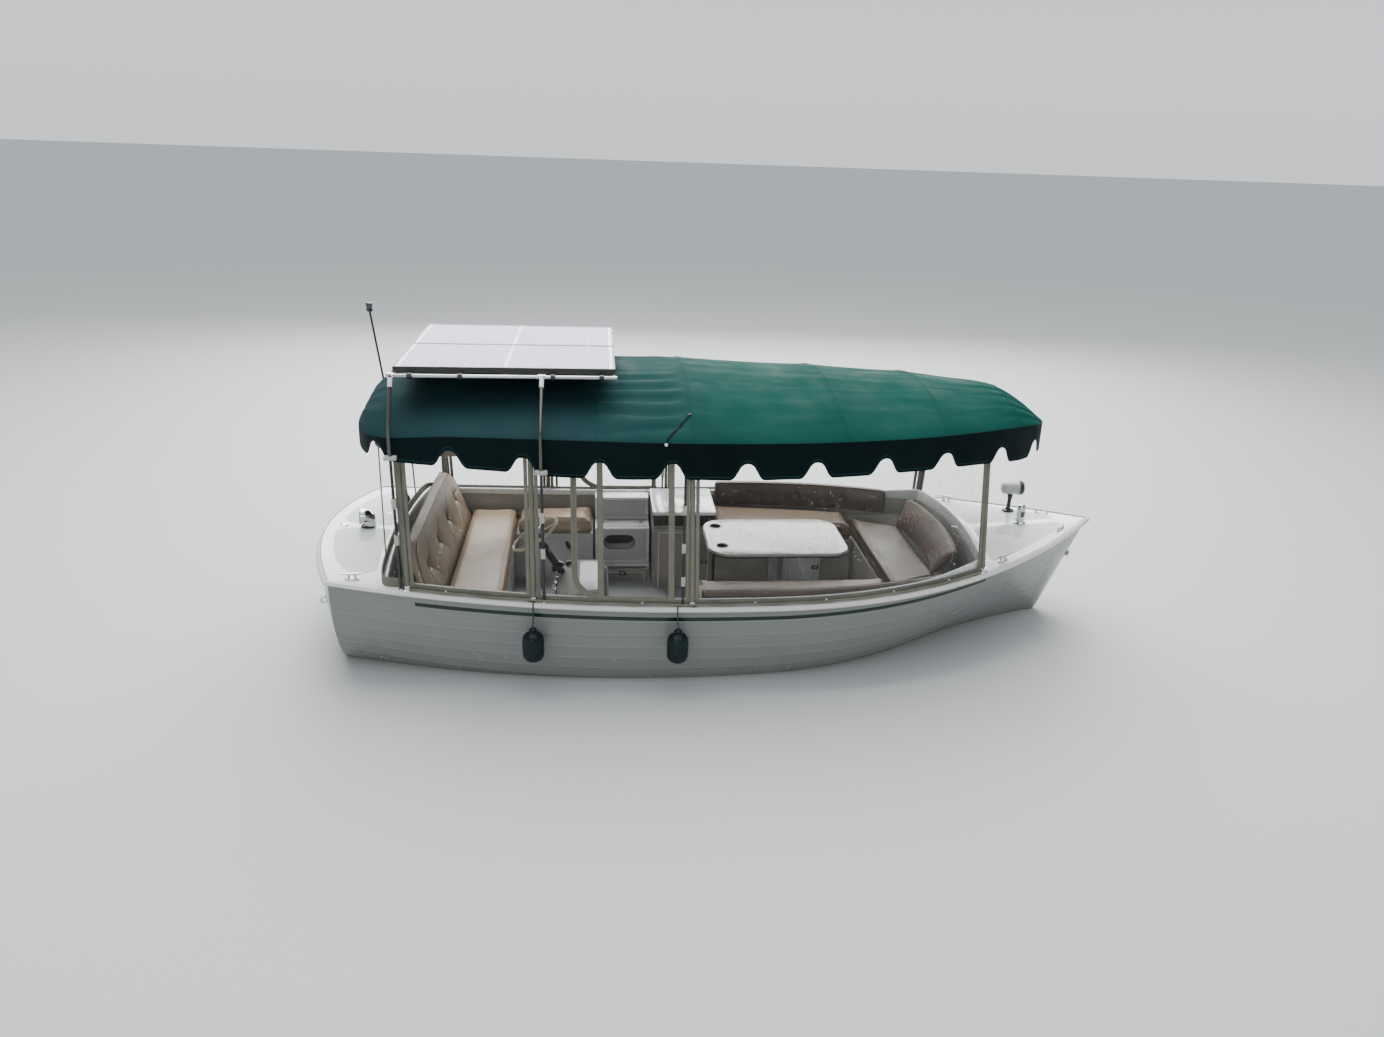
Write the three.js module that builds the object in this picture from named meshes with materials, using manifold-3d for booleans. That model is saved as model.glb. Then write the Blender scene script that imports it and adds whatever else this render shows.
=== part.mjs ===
// Covered electric launch of 5.49 m with seats, helm, fringed canopy and solar roof.
// Millimetres, +X to the bow, +Y to port, +Z up, origin amidships on the waterline.
import * as THREE from 'three';
import { mergeVertices } from 'three/addons/utils/BufferGeometryUtils.js';
import Module from 'manifold-3d';

const wasm = await Module();
wasm.setup();

// Hull outline and heights
const bowX = 2715;
const cornerX = -2510; // where the side meets the transom
const beamX = 200; // station of greatest beam
const halfBeam = 1040; // without the rub rail
const bowFullness = 2.27;
const sternTaper = 0.2;
const sternFullness = 2.4;
const transomBow = 261; // aft bulge of the transom in plan
const transomRake = 90; // how far the waterline lies ahead of the sheer at the stern
const rakePower = 2.5;
const lowSheerX = -220;
const lowSheer = 562;
const bowRise = 178;
const sternRise = 131;
const hullWall = 30;
const deckThick = 30;
const deckCrown = 45;
const plankLap = 6;
const hullLip = 4; // upright edge at the top of the side
const gap = 0.3; // between touching pieces

// Rub rail, coaming and cockpit
const railProud = 30;
const railHigh = 26;
const transomClear = 2; // extra room between the rail and the transom's facets
const openingInset = 55; // from the hull side to the cockpit opening
const openingAftX = -2215;
const openingFwdX = 1743;
const frontArc = 0.000141; // run of the opening's front edge over half breadth squared
const coamingWide = 18;
const coamingHigh = 42;
const coamingRise = 45; // extra height of the coaming ahead of the seats
const soleTop = -120;
const soleThick = 20;
const seatTop = 380; // top of the seat mouldings
const cushionThick = 110;
const padTop = seatTop + cushionThick + 0.3; // foot of the backrests
const wallThick = 18;

// Canopy and its hoops
const canopyMidX = -300;
const canopyFwdX = 2210;
const canopyAftX = -2368;
const canopyHalf = 960;
const canopyWall = 8;
const crownPower = 1.9;
const hoopRadius = 17;
const hoopInset = 25; // from the hull side to a post's centre
const windowThick = 5;
const hoopClear = canopyWall + hoopRadius + 12; // from the canopy's side to a hoop's centre

// Clear curtains
const curtainLift = 0.5; // foot over the deck's edge
const curtainHead = 80; // head under the canopy's fold
const screenTop = 1510;
const sternTop = 1545;

// Solar modules and their rack
const panelMidX = -1410;
const panelLong = 1290;
const panelWide = 656;
const panelTop = 1958;
const panelThick = 35;
const panelGap = 6;
const rackY = 690;
const rackTube = 12;
const solarLegX = [-2062, -1196];
const legOutset = 14; // of a leg's foot from the hoop's line
const legClear = 42; // from the canopy's side to a leg

// Drive
const shaftTilt = THREE.MathUtils.degToRad(8);
const propX = -1935;
const propZ = -395;
const propRadius = 140;
const rudderX = -2200;
const keelBottom = -600;

// Furniture: seats, steps, counter, table and helm
const aftSeatX = [-1990, -1510];
const wingEndX = -908; // fore end of the aft seat's port return
const foreSeatEndX = 1500;
const stepX = [-895, -470];
const stepFront = 560;
const counterX = [-455, 12];
const counterFront = 425;
const tableX = [-105, 890];
const tableHalf = 325;
const tableTop = 600;
const tableThick = 30;
const pedestalX = 400;
const consoleY = [-700, -170];
const wheelRadius = 172;
const wheelTilt = 58; // of its axis over the level
const wheelCentre = [-1290, -275, 735];
const frontThick = 14; // hinged fronts
const frontGap = 5;
const barrelRadius = 4.5;

// Deck fittings and fenders
const chockX = 2450;
const chockY = 160;
const chockTurn = 38; // towards the bow
const flushX = -2625;
const poleX = [-2262, -2418]; // foot and top
const poleY = 500;
const poleTopZ = 2070;
const ventX = -2440;
const bowLightX = 2210;
const searchX = 2228;
const searchY = 255;
const cleatInset = 62; // from the hull side
const fenderRadius = 66;
const fenderLong = 235;
const fenderTop = 470;

// Height of the keel line: x, z
const keelLine = [
  [-2745, -130], [-2200, -205], [-1600, -275], [-900, -325], [-200, -345], [500, -338],
  [1100, -300], [1600, -225], [1950, -150], [2200, -88], [2350, -42], [2440, 0], [2715, 712],
];
// Exponent of the section's superellipse: x, n
const fullness = [
  [-2745, 2.3], [-2000, 2.6], [-900, 2.8], [0, 2.5], [600, 2.1], [1100, 1.68],
  [1500, 1.38], [1900, 1.24], [2745, 1.14],
];
// Height of the fold between the canopy's top and its valance: x, z
const fold = [
  [-2368, 1545], [-2200, 1562], [-1800, 1600], [-1300, 1604], [-300, 1590], [1200, 1587], [1700, 1580],
  [2000, 1550], [2210, 1500],
];
// Height of the valance's foot: x, z
const valanceFoot = [
  [-2368, 1445], [-1990, 1440], [-1830, 1434], [-1508, 1416], [-1037, 1381], [220, 1372], [1088, 1380],
  [1600, 1375], [1870, 1345], [2030, 1340], [2210, 1330],
];
// Height of the canopy's ridge over its fold: x, rise
const ridge = [
  [-2368, 0], [-2280, 145], [-2100, 232], [-1800, 243], [-1300, 243], [-600, 257], [0, 248], [600, 218],
  [1200, 193], [1600, 168], [1850, 150], [2050, 80], [2210, 0],
];
// Stations of the notches along both sides of the valance
const notchX = [-2334.5, -2163, -1725, -1300, -859, -432, 10, 440, 875, 1297, 1718, 2050];
// Stations of the hull from the transom's corner to the bow
const stations = [
  cornerX, -2380, -2200, -1950, -1650, -1300, -900, -500, -100, 300, 700, 1050, 1350, 1600,
  1850, 2050, 2220, 2370, 2480, 2570, 2650, 2700,
];
// Lower edges of the hull's planks, as a share of its depth
const plankEdges = [0.18, 0.29, 0.4, 0.51, 0.62];
// The four canopy hoops: name, x at the foot, x at the top
const hoops = [
  ['aft', -2022, -2036], ['mid_aft', -1262, -1262], ['mid_fwd', -292, -310], ['fwd', 1668, 1640],
];
// Plan of the aft curtain's port half at its foot and its head: x, y
const sternFoot = [
  [-2030, 862], [-2110, 859], [-2166, 848], [-2197, 760], [-2214, 560], [-2226, 350], [-2231, 170],
  [-2232, 0],
];
const sternHead = [
  [-2045, 806], [-2105, 770], [-2160, 710], [-2195, 620], [-2216, 470], [-2228, 310], [-2235, 150],
  [-2237, 0],
];
// Cleats: name, x, side, turn in degrees
const cleats = [
  ['stbd_aft', -2370, -1, 8], ['port_aft', -2370, 1, -8],
  ['stbd_fwd', 1860, -1, 28], ['port_fwd', 1860, 1, -28],
];
// Fenders: name, x
const fenders = [['aft', -1262], ['fwd', -385]];

const paint = (color, roughness, metalness = 0) =>
  new THREE.MeshStandardMaterial({ color, roughness, metalness });
const finishes = {
  gelcoat: paint(0xb9beb6, 0.35),
  deckWhite: paint(0xd9dcda, 0.4),
  linerGrey: paint(0x8f9290, 0.6),
  soleBrown: paint(0x4a4440, 0.8),
  tan: paint(0xb59f80, 0.7),
  brown: paint(0x4f4038, 0.7),
  tableWhite: paint(0xd2ccc6, 0.35),
  canopyGreen: paint(0x1e6452, 0.85),
  khaki: paint(0x97957f, 0.8),
  vinyl: paint(0xcfd6d8, 0.1),
  chrome: paint(0xc8ccd0, 0.15, 1),
  steel: paint(0xa8adb0, 0.3, 1),
  panelBlue: paint(0xaab4c0, 0.2),
  black: paint(0x1b1c1e, 0.5),
  fenderGreen: paint(0x0f4a38, 0.25),
  rope: paint(0x1d1f22, 0.9),
  bronze: paint(0x9a7a45, 0.35, 1),
  bottomPaint: paint(0x1f2a2c, 0.8),
};

const boat = new THREE.Group();

// Adds a geometry or a solid as one named part.
function part(name, shape, material) {
  const geometry = shape.isBufferGeometry ? shape : meshOf(shape);
  const mesh = new THREE.Mesh(geometry, material);
  mesh.name = name;
  boat.add(mesh);
  return mesh;
}

// Closed geometry to solid.
function solid(geometry) {
  const bare = geometry.index ? geometry.clone() : geometry;
  for (const key of ['normal', 'uv']) bare.deleteAttribute(key);
  const merged = mergeVertices(bare, 1e-3);
  const vertProperties = new Float32Array(merged.attributes.position.array);
  const triVerts = new Uint32Array(merged.index.array);
  return new wasm.Manifold(new wasm.Mesh({ numProp: 3, vertProperties, triVerts }));
}

// Solid to geometry.
function meshOf(made) {
  const { vertProperties, triVerts } = made.getMesh();
  const geometry = new THREE.BufferGeometry();
  geometry.setAttribute('position', new THREE.BufferAttribute(vertProperties, 3));
  geometry.setIndex(new THREE.BufferAttribute(triVerts, 1));
  geometry.computeVertexNormals();
  return geometry;
}

const join = (first, ...rest) => rest.reduce((whole, piece) => whole.add(piece), first);
const largest = (made) => made.decompose().reduce((a, b) => (b.volume() > a.volume() ? b : a));

// Cuts a piece by the thing it stands on, so that it rests a hair above it.
const seated = (piece, carrier) => largest(piece.subtract(carrier.translate([0, 0, gap])));

// Solid box between two corners.
function block(x0, x1, y0, y1, z0, z1) {
  const geometry = new THREE.BoxGeometry(x1 - x0, y1 - y0, z1 - z0);
  return solid(geometry.translate((x0 + x1) / 2, (y0 + y1) / 2, (z0 + z1) / 2));
}

// Solid rod between two points.
function rod(a, b, radius, sides = 12) {
  const from = new THREE.Vector3(...a);
  const along = new THREE.Vector3(...b).sub(from);
  const geometry = new THREE.CylinderGeometry(radius, radius, along.length(), sides);
  const up = new THREE.Vector3(0, 1, 0);
  geometry.applyQuaternion(new THREE.Quaternion().setFromUnitVectors(up, along.clone().normalize()));
  return solid(geometry.translate(...from.addScaledVector(along, 0.5).toArray()));
}

// Lathe profile of [radius, height] rows, turned about +Z.
const turned = (profile, sides) =>
  new THREE.LatheGeometry(profile.map(([r, z]) => new THREE.Vector2(r, z)), sides).rotateX(Math.PI / 2);

// Plan outline of [x, y] rows, raised from z0 to z1.
function slab(outline, z0, z1, bevel = 0) {
  const shape = new THREE.Shape(outline.map(([x, y]) => new THREE.Vector2(x, y)));
  const geometry = new THREE.ExtrudeGeometry(shape, {
    depth: z1 - z0 - 2 * bevel,
    bevelEnabled: bevel > 0,
    bevelThickness: bevel,
    bevelSize: bevel,
    bevelOffset: -bevel,
    bevelSegments: 2,
  });
  return solid(geometry.translate(0, 0, z0 + bevel));
}

// Side outline of [x, z] rows, from y0 to y1.
function sideSlab(outline, y0, y1, bevel = 0) {
  const shape = new THREE.Shape(outline.map(([x, z]) => new THREE.Vector2(x, z)));
  const geometry = new THREE.ExtrudeGeometry(shape, {
    depth: y1 - y0 - 2 * bevel,
    bevelEnabled: bevel > 0,
    bevelThickness: bevel,
    bevelSize: bevel,
    bevelOffset: -bevel,
    bevelSegments: 2,
  });
  return solid(geometry.rotateX(Math.PI / 2).translate(0, y1 - bevel, 0));
}

// Tube of a many-sided section along points.
function tube(points, radius, sides, steps) {
  const section = new THREE.Shape();
  section.setFromPoints(
    Array.from({ length: sides }, (_, i) => {
      const a = (2 * Math.PI * i) / sides;
      return new THREE.Vector2(radius * Math.cos(a), radius * Math.sin(a));
    }),
  );
  const line = points.map((p) => new THREE.Vector3(...p));
  const extrudePath = new THREE.CatmullRomCurve3(line, false, 'centripetal');
  return new THREE.ExtrudeGeometry(section, { steps, extrudePath });
}

// Loft through closed rings that all have the same number of points; the ends are closed by
// strips that join a ring's first half to its second half.
function loft(rings, closedLoop = false) {
  const count = rings[0].length;
  const position = rings.flat(2);
  const index = [];
  const at = (r, p) => (r % rings.length) * count + (p % count);
  const spans = closedLoop ? rings.length : rings.length - 1;
  for (let r = 0; r < spans; r += 1) {
    for (let p = 0; p < count; p += 1) {
      index.push(at(r, p), at(r + 1, p), at(r, p + 1));
      index.push(at(r + 1, p), at(r + 1, p + 1), at(r, p + 1));
    }
  }
  const capEnd = (r, turn) => {
    for (let p = 0; p < count / 2 - 1; p += 1) {
      const low = [at(r, p), at(r, p + 1)];
      const high = [at(r, count - 1 - p), at(r, count - 2 - p)];
      const faces = [[low[0], low[1], high[0]], [low[1], high[1], high[0]]];
      for (const face of faces) if (new Set(face).size === 3) index.push(...(turn ? face : face.reverse()));
    }
  };
  if (!closedLoop) {
    capEnd(0, true);
    capEnd(rings.length - 1, false);
  }
  const geometry = new THREE.BufferGeometry();
  geometry.setAttribute('position', new THREE.Float32BufferAttribute(position, 3));
  geometry.setIndex(index);
  const made = solid(geometry);
  if (made.volume() > 0) return made;
  geometry.setIndex(index.reverse());
  return solid(geometry);
}

// Value of a two-column table at x, smoothed between its rows.
function along(table, x) {
  const last = table.length - 1;
  let i = 1;
  while (i < last && table[i][0] < x) i += 1;
  const [x0, v0] = table[i - 1];
  const [x1, v1] = table[i];
  const slopeAt = (k) => {
    const a = table[Math.max(k - 1, 0)];
    const b = table[Math.min(k + 1, last)];
    return (b[1] - a[1]) / (b[0] - a[0]);
  };
  const t = THREE.MathUtils.clamp((x - x0) / (x1 - x0), 0, 1);
  const span = x1 - x0;
  const m0 = slopeAt(i - 1) * span;
  const m1 = slopeAt(i) * span;
  return (
    (2 * t ** 3 - 3 * t ** 2 + 1) * v0 + (t ** 3 - 2 * t ** 2 + t) * m0 +
    (3 * t ** 2 - 2 * t ** 3) * v1 + (t ** 3 - t ** 2) * m1
  );
}

// Half breadth of the hull at its top edge.
function hullHalf(x) {
  if (x > beamX) return halfBeam * (1 - ((x - beamX) / (bowX - beamX)) ** bowFullness);
  return halfBeam * (1 - sternTaper * ((beamX - x) / (beamX - cornerX)) ** sternFullness);
}

// Height of the deck's edge.
function sheer(x) {
  const rise = x > lowSheerX ? bowRise : sternRise;
  const reach = x > lowSheerX ? 2965 : 2525;
  return lowSheer + rise * ((x - lowSheerX) / reach) ** 2;
}

const stemZ = (x) => (x > 2440 ? ((x - 2440) / (bowX - 2440)) * 712 : along(keelLine, x));

// Moves a point of a station near the stern aft, so that the transom bulges.
function bulge(x, y, inset = 0) {
  const share = THREE.MathUtils.smoothstep(-x, 1700, -cornerX);
  const corner = hullHalf(cornerX);
  const shift = transomBow * ((Math.abs(y) / 960) ** 1.9 - ((corner - inset) / 960) ** 1.9);
  return x + share * Math.min(shift, 0);
}

// Moves a point of a station near the stern ahead as it goes down, so that the transom rakes.
function rake(x, z) {
  const share = THREE.MathUtils.smoothstep(-x, 1700, -cornerX);
  return share * transomRake * (Math.max(sheer(x) - z, 0) / sheer(x)) ** rakePower;
}

// Half breadth at a share of the depth under the hull's top edge.
function sectionHalf(x, share, inset = 0) {
  const n = along(fullness, x);
  return Math.max(hullHalf(x) - inset, 1) * Math.max(1 - share ** n, 0) ** (1 / n);
}

// One ring of the hull: starboard edge, keel, port edge, then back across the top.
function hullRing(x, rows, inset, drop, topZ) {
  const top = sheer(x) - deckThick;
  const depth = top - hullLip - stemZ(x) - drop;
  const side = rows.map(([share, lap]) => {
    const lapHere = lap * Math.min(1, hullHalf(x) / 400);
    const half = sectionHalf(x, share, inset);
    return [half * (1 - lapHere / Math.max(hullHalf(x), 1)), top - hullLip - share * depth];
  });
  const starboard = side.map(([y, z]) => [-y, z]);
  const port = side.slice(0, -1).reverse();
  const lower = [...starboard, ...port];
  const upper = lower.map(([y]) => [y, top + topZ]).reverse();
  return [...lower, ...upper].map(([y, z]) => [bulge(x, y, inset) + rake(x, z), y, z]);
}

const plankRows = [[0, 0]];
for (const edge of plankEdges) plankRows.push([edge, 0], [edge + 0.0005, plankLap]);
plankRows.push([0.74, plankLap], [0.85, plankLap], [0.93, plankLap], [0.98, plankLap], [1, 0]);
const plainRows = [0, 0.2, 0.4, 0.58, 0.74, 0.86, 0.94, 0.985, 1].map((share) => [share, 0]);

const hullForm = loft(stations.map((x) => hullRing(x, plankRows, 0, 0, 0)));
const innerStations = stations.slice(0, -3).map((x, i) => (i ? x : cornerX + hullWall));
const innerForm = loft(innerStations.map((x) => hullRing(x, plainRows, hullWall, hullWall, 200)));
// What fits inside the hull with a hair to spare.
const insideForm = loft(innerStations.map((x) => hullRing(x, plainRows, hullWall + 1, hullWall + 1, -1)));

// Cockpit opening: sides along the hull, a bowed front and a bowed back.
function openingOutline(inset) {
  const x0 = openingAftX + inset;
  const x1 = openingFwdX - inset;
  const side = [x0 + 60, -1900, -1400, -900, -400, 100, 600, 1000, 1300, 1500, x1 - 75];
  const starboard = side.map((x) => [x, -(hullHalf(x) - openingInset - inset)]);
  const half = hullHalf(x1) - openingInset - inset;
  const across = [-0.96, -0.7, -0.35, 0, 0.35, 0.7, 0.96];
  const front = across.map((q) => [x1 - frontArc * (half * q) ** 2, half * q]);
  const port = starboard.map(([x, y]) => [x, -y]).reverse();
  const aftHalf = hullHalf(x0) - openingInset - inset;
  const back = [0.9, 0.45, 0, -0.45, -0.9].map((q) => [x0 + 45 * q * q, aftHalf * q]);
  return [...starboard, ...front, ...port, ...back];
}

// Height of the deck's top over a point.
function deckTopAt(x, y) {
  let station = x;
  for (let i = 0; i < 5; i += 1) station = Math.max(cornerX, station + x - bulge(station, y));
  const q = y / hullHalf(station);
  return sheer(station) + deckCrown * Math.min(1, hullHalf(station) / halfBeam) * (1 - q * q);
}

// Deck with its cockpit opening, the coaming around it, two chocks and a flush plate.
function deckSolid() {
  const shares = [1, 0.93, 0.8, 0.6, 0.4, 0.2, 0];
  const columns = [...shares.map((s) => -s), ...shares.slice(0, -1).reverse()];
  const ring = (x) => {
    const half = hullHalf(x);
    const rise = deckCrown * Math.min(1, half / halfBeam);
    const row = (q, lift) => {
      const y = q * half;
      return [bulge(x, y), y, sheer(x) + rise * (1 - q * q) + lift];
    };
    const bottom = columns.map((q) => row(q, gap - deckThick));
    const top = columns.map((q) => row(q, 0)).reverse();
    return [...bottom, ...top];
  };
  const plate = loft(stations.map(ring));
  const outer = slab(openingOutline(0), 300, 1000);
  const wall = outer.subtract(slab(openingOutline(coamingWide), 250, 1050));
  const capRing = (x) => {
    const fwd = THREE.MathUtils.smoothstep(x, 1200, 1700);
    const top = sheer(x) + coamingHigh + coamingRise * fwd;
    return [[-1100, 380], [1100, 380], [1100, top], [-1100, top]].map(([y, z]) => [x, y, z]);
  };
  const cap = loft([-2300, -2000, -1500, -1000, -500, 0, 500, 1000, 1250, 1450, 1600, 1800].map(capRing));
  const coaming = wall.intersect(cap).subtract(hullForm);
  const chocks = [-1, 1].map((side) => {
    const pad = block(-55, 55, -13, 13, -14, 26).rotate([0, 0, -side * chockTurn]);
    return pad.translate([chockX, side * chockY, deckTopAt(chockX, chockY)]);
  });
  const filler = rod([flushX, 0, deckTopAt(flushX, 0) - 12], [flushX, 0, deckTopAt(flushX, 0) + 3], 28, 16);
  const open = plate.subtract(slab(openingOutline(coamingWide), 200, 1100));
  return join(open, largest(coaming), ...chocks, filler);
}

// Rail around the sheer: a closed loop of the same section.
function railSolid() {
  const side = stations.map((x) => [bulge(x, hullHalf(x)), -hullHalf(x), sheer(x)]);
  const cornerHalf = hullHalf(cornerX);
  const across = [0.93, 0.8, 0.6, 0.4, 0.2, 0, -0.2, -0.4, -0.6, -0.8, -0.93].map((q) => {
    const y = q * cornerHalf;
    return [bulge(cornerX, y), y, sheer(cornerX)];
  });
  const port = side.map(([x, y, z]) => [x, -y, z]).reverse();
  const path = [...side, ...port, ...across];
  const count = path.length;
  const profile = [
    [gap, -railHigh + 3], [railProud - 8, -railHigh + 4], [railProud, -railHigh + 11],
    [railProud, -6], [railProud - 9, 4], [gap, 6],
  ];
  const rings = path.map(([x, y, z], i) => {
    const before = path[(i + count - 1) % count];
    const after = path[(i + 1) % count];
    const out = ([ax, ay], [bx, by]) => new THREE.Vector2(by - ay, ax - bx).normalize();
    const n0 = out(before, [x, y]);
    const n1 = out([x, y], after);
    const normal = n0.clone().add(n1).normalize();
    const stretch = 1 / Math.max(normal.dot(n0), 0.5);
    const clear = i >= side.length * 2 ? transomClear : 0;
    return profile.map(([u, v]) => {
      const reach = Math.max(u * stretch, gap + clear);
      return [x + normal.x * reach, y + normal.y * reach, z + v];
    });
  });
  return loft(rings, true);
}

// Skeg with the opening for the propeller and the shoe under the rudder.
function keelSolid() {
  const top = stations.filter((x) => x >= -1650 && x <= 1050).map((x) => [x, stemZ(x) - gap]);
  const outline = [
    [-2270, keelBottom], [-300, keelBottom + 40], [1050, stemZ(1050) - gap],
    ...top.reverse().slice(1), [-1790, stemZ(-1790) - 12], [-1810, -330], [-1810, -455],
    [-1790, keelBottom + 45], [-2270, keelBottom + 45],
  ];
  const plate = sideSlab(outline, -32, 32);
  const bore = rod(shaftPoint(-500), shaftPoint(400), 14.6, 16);
  const heel = rod([rudderX, 0, keelBottom - 10], [rudderX, 0, keelBottom + 60], 11.5, 16);
  return plate.subtract(bore).subtract(heel);
}

// Point on the propeller shaft, ahead of the propeller's middle.
const shaftPoint = (ahead) => [propX + ahead * Math.cos(shaftTilt), 0, propZ + ahead * Math.sin(shaftTilt)];

function propellerSolid() {
  const hub = solid(turned([[0, -70], [18, -64], [34, -30], [36, 30], [30, 45], [0, 45]], 20));
  const shaft = solid(new THREE.CylinderGeometry(14, 14, 200, 16).rotateX(Math.PI / 2).translate(0, 0, 130));
  const leaf = new THREE.Shape();
  leaf.moveTo(20, -16);
  leaf.bezierCurveTo(50, -62, propRadius - 15, -70, propRadius, -8);
  leaf.bezierCurveTo(propRadius + 2, 35, 60, 55, 20, 16);
  let wheel = join(hub, shaft);
  for (let i = 0; i < 3; i += 1) {
    const blade = new THREE.ExtrudeGeometry(leaf, { depth: 7, bevelEnabled: false, curveSegments: 6 });
    blade.translate(0, 0, -3.5).rotateX(THREE.MathUtils.degToRad(32));
    blade.rotateZ((2 * Math.PI * i) / 3);
    wheel = wheel.add(solid(blade));
  }
  const turn = 90 - THREE.MathUtils.radToDeg(shaftTilt);
  return wheel.rotate([0, turn, 0]).translate([propX, 0, propZ]);
}

function rudderSolid() {
  const blade = sideSlab(
    [[-2150, -520], [-2150, -262], [-2165, -240], [-2400, -240], [-2425, -262], [-2440, -480], [-2415, -520]],
    -14, 14, 5,
  );
  const stock = rod([rudderX, 0, -300], [rudderX, 0, 60], 15, 20);
  const pin = rod([rudderX, 0, -500], [rudderX, 0, keelBottom + 8], 11, 16);
  return join(blade, stock, pin);
}

function hullShell() {
  const stockBore = rod([rudderX, 0, -400], [rudderX, 0, 60], 15.5, 20);
  const eye = solid(new THREE.TorusGeometry(24, 6, 8, 16).rotateX(Math.PI / 2).translate(2652, 0, 470));
  return largest(hullForm.subtract(innerForm).subtract(stockBore).add(eye));
}

// Seat moulding raised from the sole between two x and y lines, kept inside the hull and
// hollow underneath; a wall stays at each x line and at the inboard y line.
function seatBox(x0, x1, yIn, yOut) {
  const side = Math.sign(yOut);
  const [y0, y1] = side > 0 ? [yIn, yOut] : [yOut, yIn];
  const body = block(x0, x1, y0, y1, soleTop + gap, seatTop);
  const hollowY = side > 0 ? [yIn + wallThick, yOut + 200] : [yOut - 200, yIn - wallThick];
  const hollow = block(x0 + wallThick, x1 - wallThick, ...hollowY, soleTop - 200, seatTop - wallThick);
  return { body, hollow };
}

// Rectangle with round corners, as [x, y] rows.
function roundRect(x0, x1, y0, y1, radius, steps = 3) {
  const corners = [[x1, y1, 0], [x0, y1, 1], [x0, y0, 2], [x1, y0, 3]];
  const rows = [];
  for (const [x, y, quarter] of corners) {
    const cx = x + (x === x1 ? -radius : radius);
    const cy = y + (y === y1 ? -radius : radius);
    for (let i = 0; i <= steps; i += 1) {
      const a = ((quarter + i / steps) * Math.PI) / 2;
      rows.push([cx + radius * Math.cos(a), cy + radius * Math.sin(a)]);
    }
  }
  return rows;
}

// Cushion on a seat between x lines, from the inboard line out to the hull.
function seatPad(x0, x1, yIn, side) {
  const outer = (x) => side * (hullHalf(x) - 120 - 0.05 * Math.max(x, 0));
  const xs = [x0, x0 + (x1 - x0) / 3, x0 + (2 * (x1 - x0)) / 3, x1];
  const inboard = xs.map((x) => [x, yIn]);
  const outboard = xs.map((x) => [x, outer(x)]).reverse();
  const outline = [...inboard, ...outboard];
  if (side < 0) outline.reverse();
  return slab(outline, seatTop + gap, seatTop + cushionThick, 18).intersect(insideForm);
}

// Upright pad that follows the hull's side between two x lines.
function sidePad(x0, x1, side, z0, z1, inset, thick) {
  const xs = [0, 0.2, 0.4, 0.6, 0.8, 1].map((t) => x0 + (x1 - x0) * t);
  const rings = xs.map((x) => {
    const foot = sectionHalf(x, shareAt(x, z0)) - hullWall - inset;
    const head = hullHalf(x) - openingInset - coamingWide - 12;
    const back = Math.min(foot, head);
    return [
      [x, side * (back - thick), z0], [x, side * back, z0],
      [x, side * head, z1], [x, side * (head - thick + 25), z1],
    ];
  });
  return loft(rings);
}

// Share of the hull's depth at a height.
function shareAt(x, z) {
  const top = sheer(x) - deckThick - hullLip;
  return THREE.MathUtils.clamp((top - z) / (top - stemZ(x)), 0, 1);
}

// Canopy: half width and height over a point.
function canopyWidth(x) {
  if (x > canopyMidX) {
    const t = Math.min((x - canopyMidX) / (canopyFwdX - canopyMidX), 1);
    return canopyHalf * (1 - t ** 2.25) ** 0.53;
  }
  const t = Math.min((canopyMidX - x) / (canopyMidX - canopyAftX), 1);
  return canopyHalf * (1 - 0.13 * t * t) * (1 - t ** 16) ** 0.5;
}
const canopySlope = (x) => (canopyWidth(x + 1) - canopyWidth(x - 1)) / 2;
const postLine = (x) => canopyWidth(x) - hoopClear * Math.hypot(1, canopySlope(x));
const crownAt = (x, q) => along(fold, x) + along(ridge, x) * (1 - Math.min(q, 1) ** crownPower) ** 0.8;
const canopyTop = (x, y) => crownAt(x, Math.abs(y) / canopyWidth(x));

// Rounded cut between two scallops, as [run, height] rows over the valance's foot.
const notchRows = [
  [-112, -30], [-104, 0], [-90, 6], [-75, 22], [-58, 52], [-42, 80], [-24, 96], [0, 101],
];
const notchOutline = [...notchRows, ...notchRows.slice(0, -1).map(([u, v]) => [-u, v]).reverse()];
const notchDeep = 90;

// Tool for one notch at a point of the canopy's outline, turned to run along it.
function notchTool(x, y, turn) {
  const foot = along(valanceFoot, x);
  const outline = notchOutline.map(([u, v]) => [u, foot + v]);
  return sideSlab(outline, -notchDeep, notchDeep).rotate([0, 0, turn]).translate([x, y, 0]);
}

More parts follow.
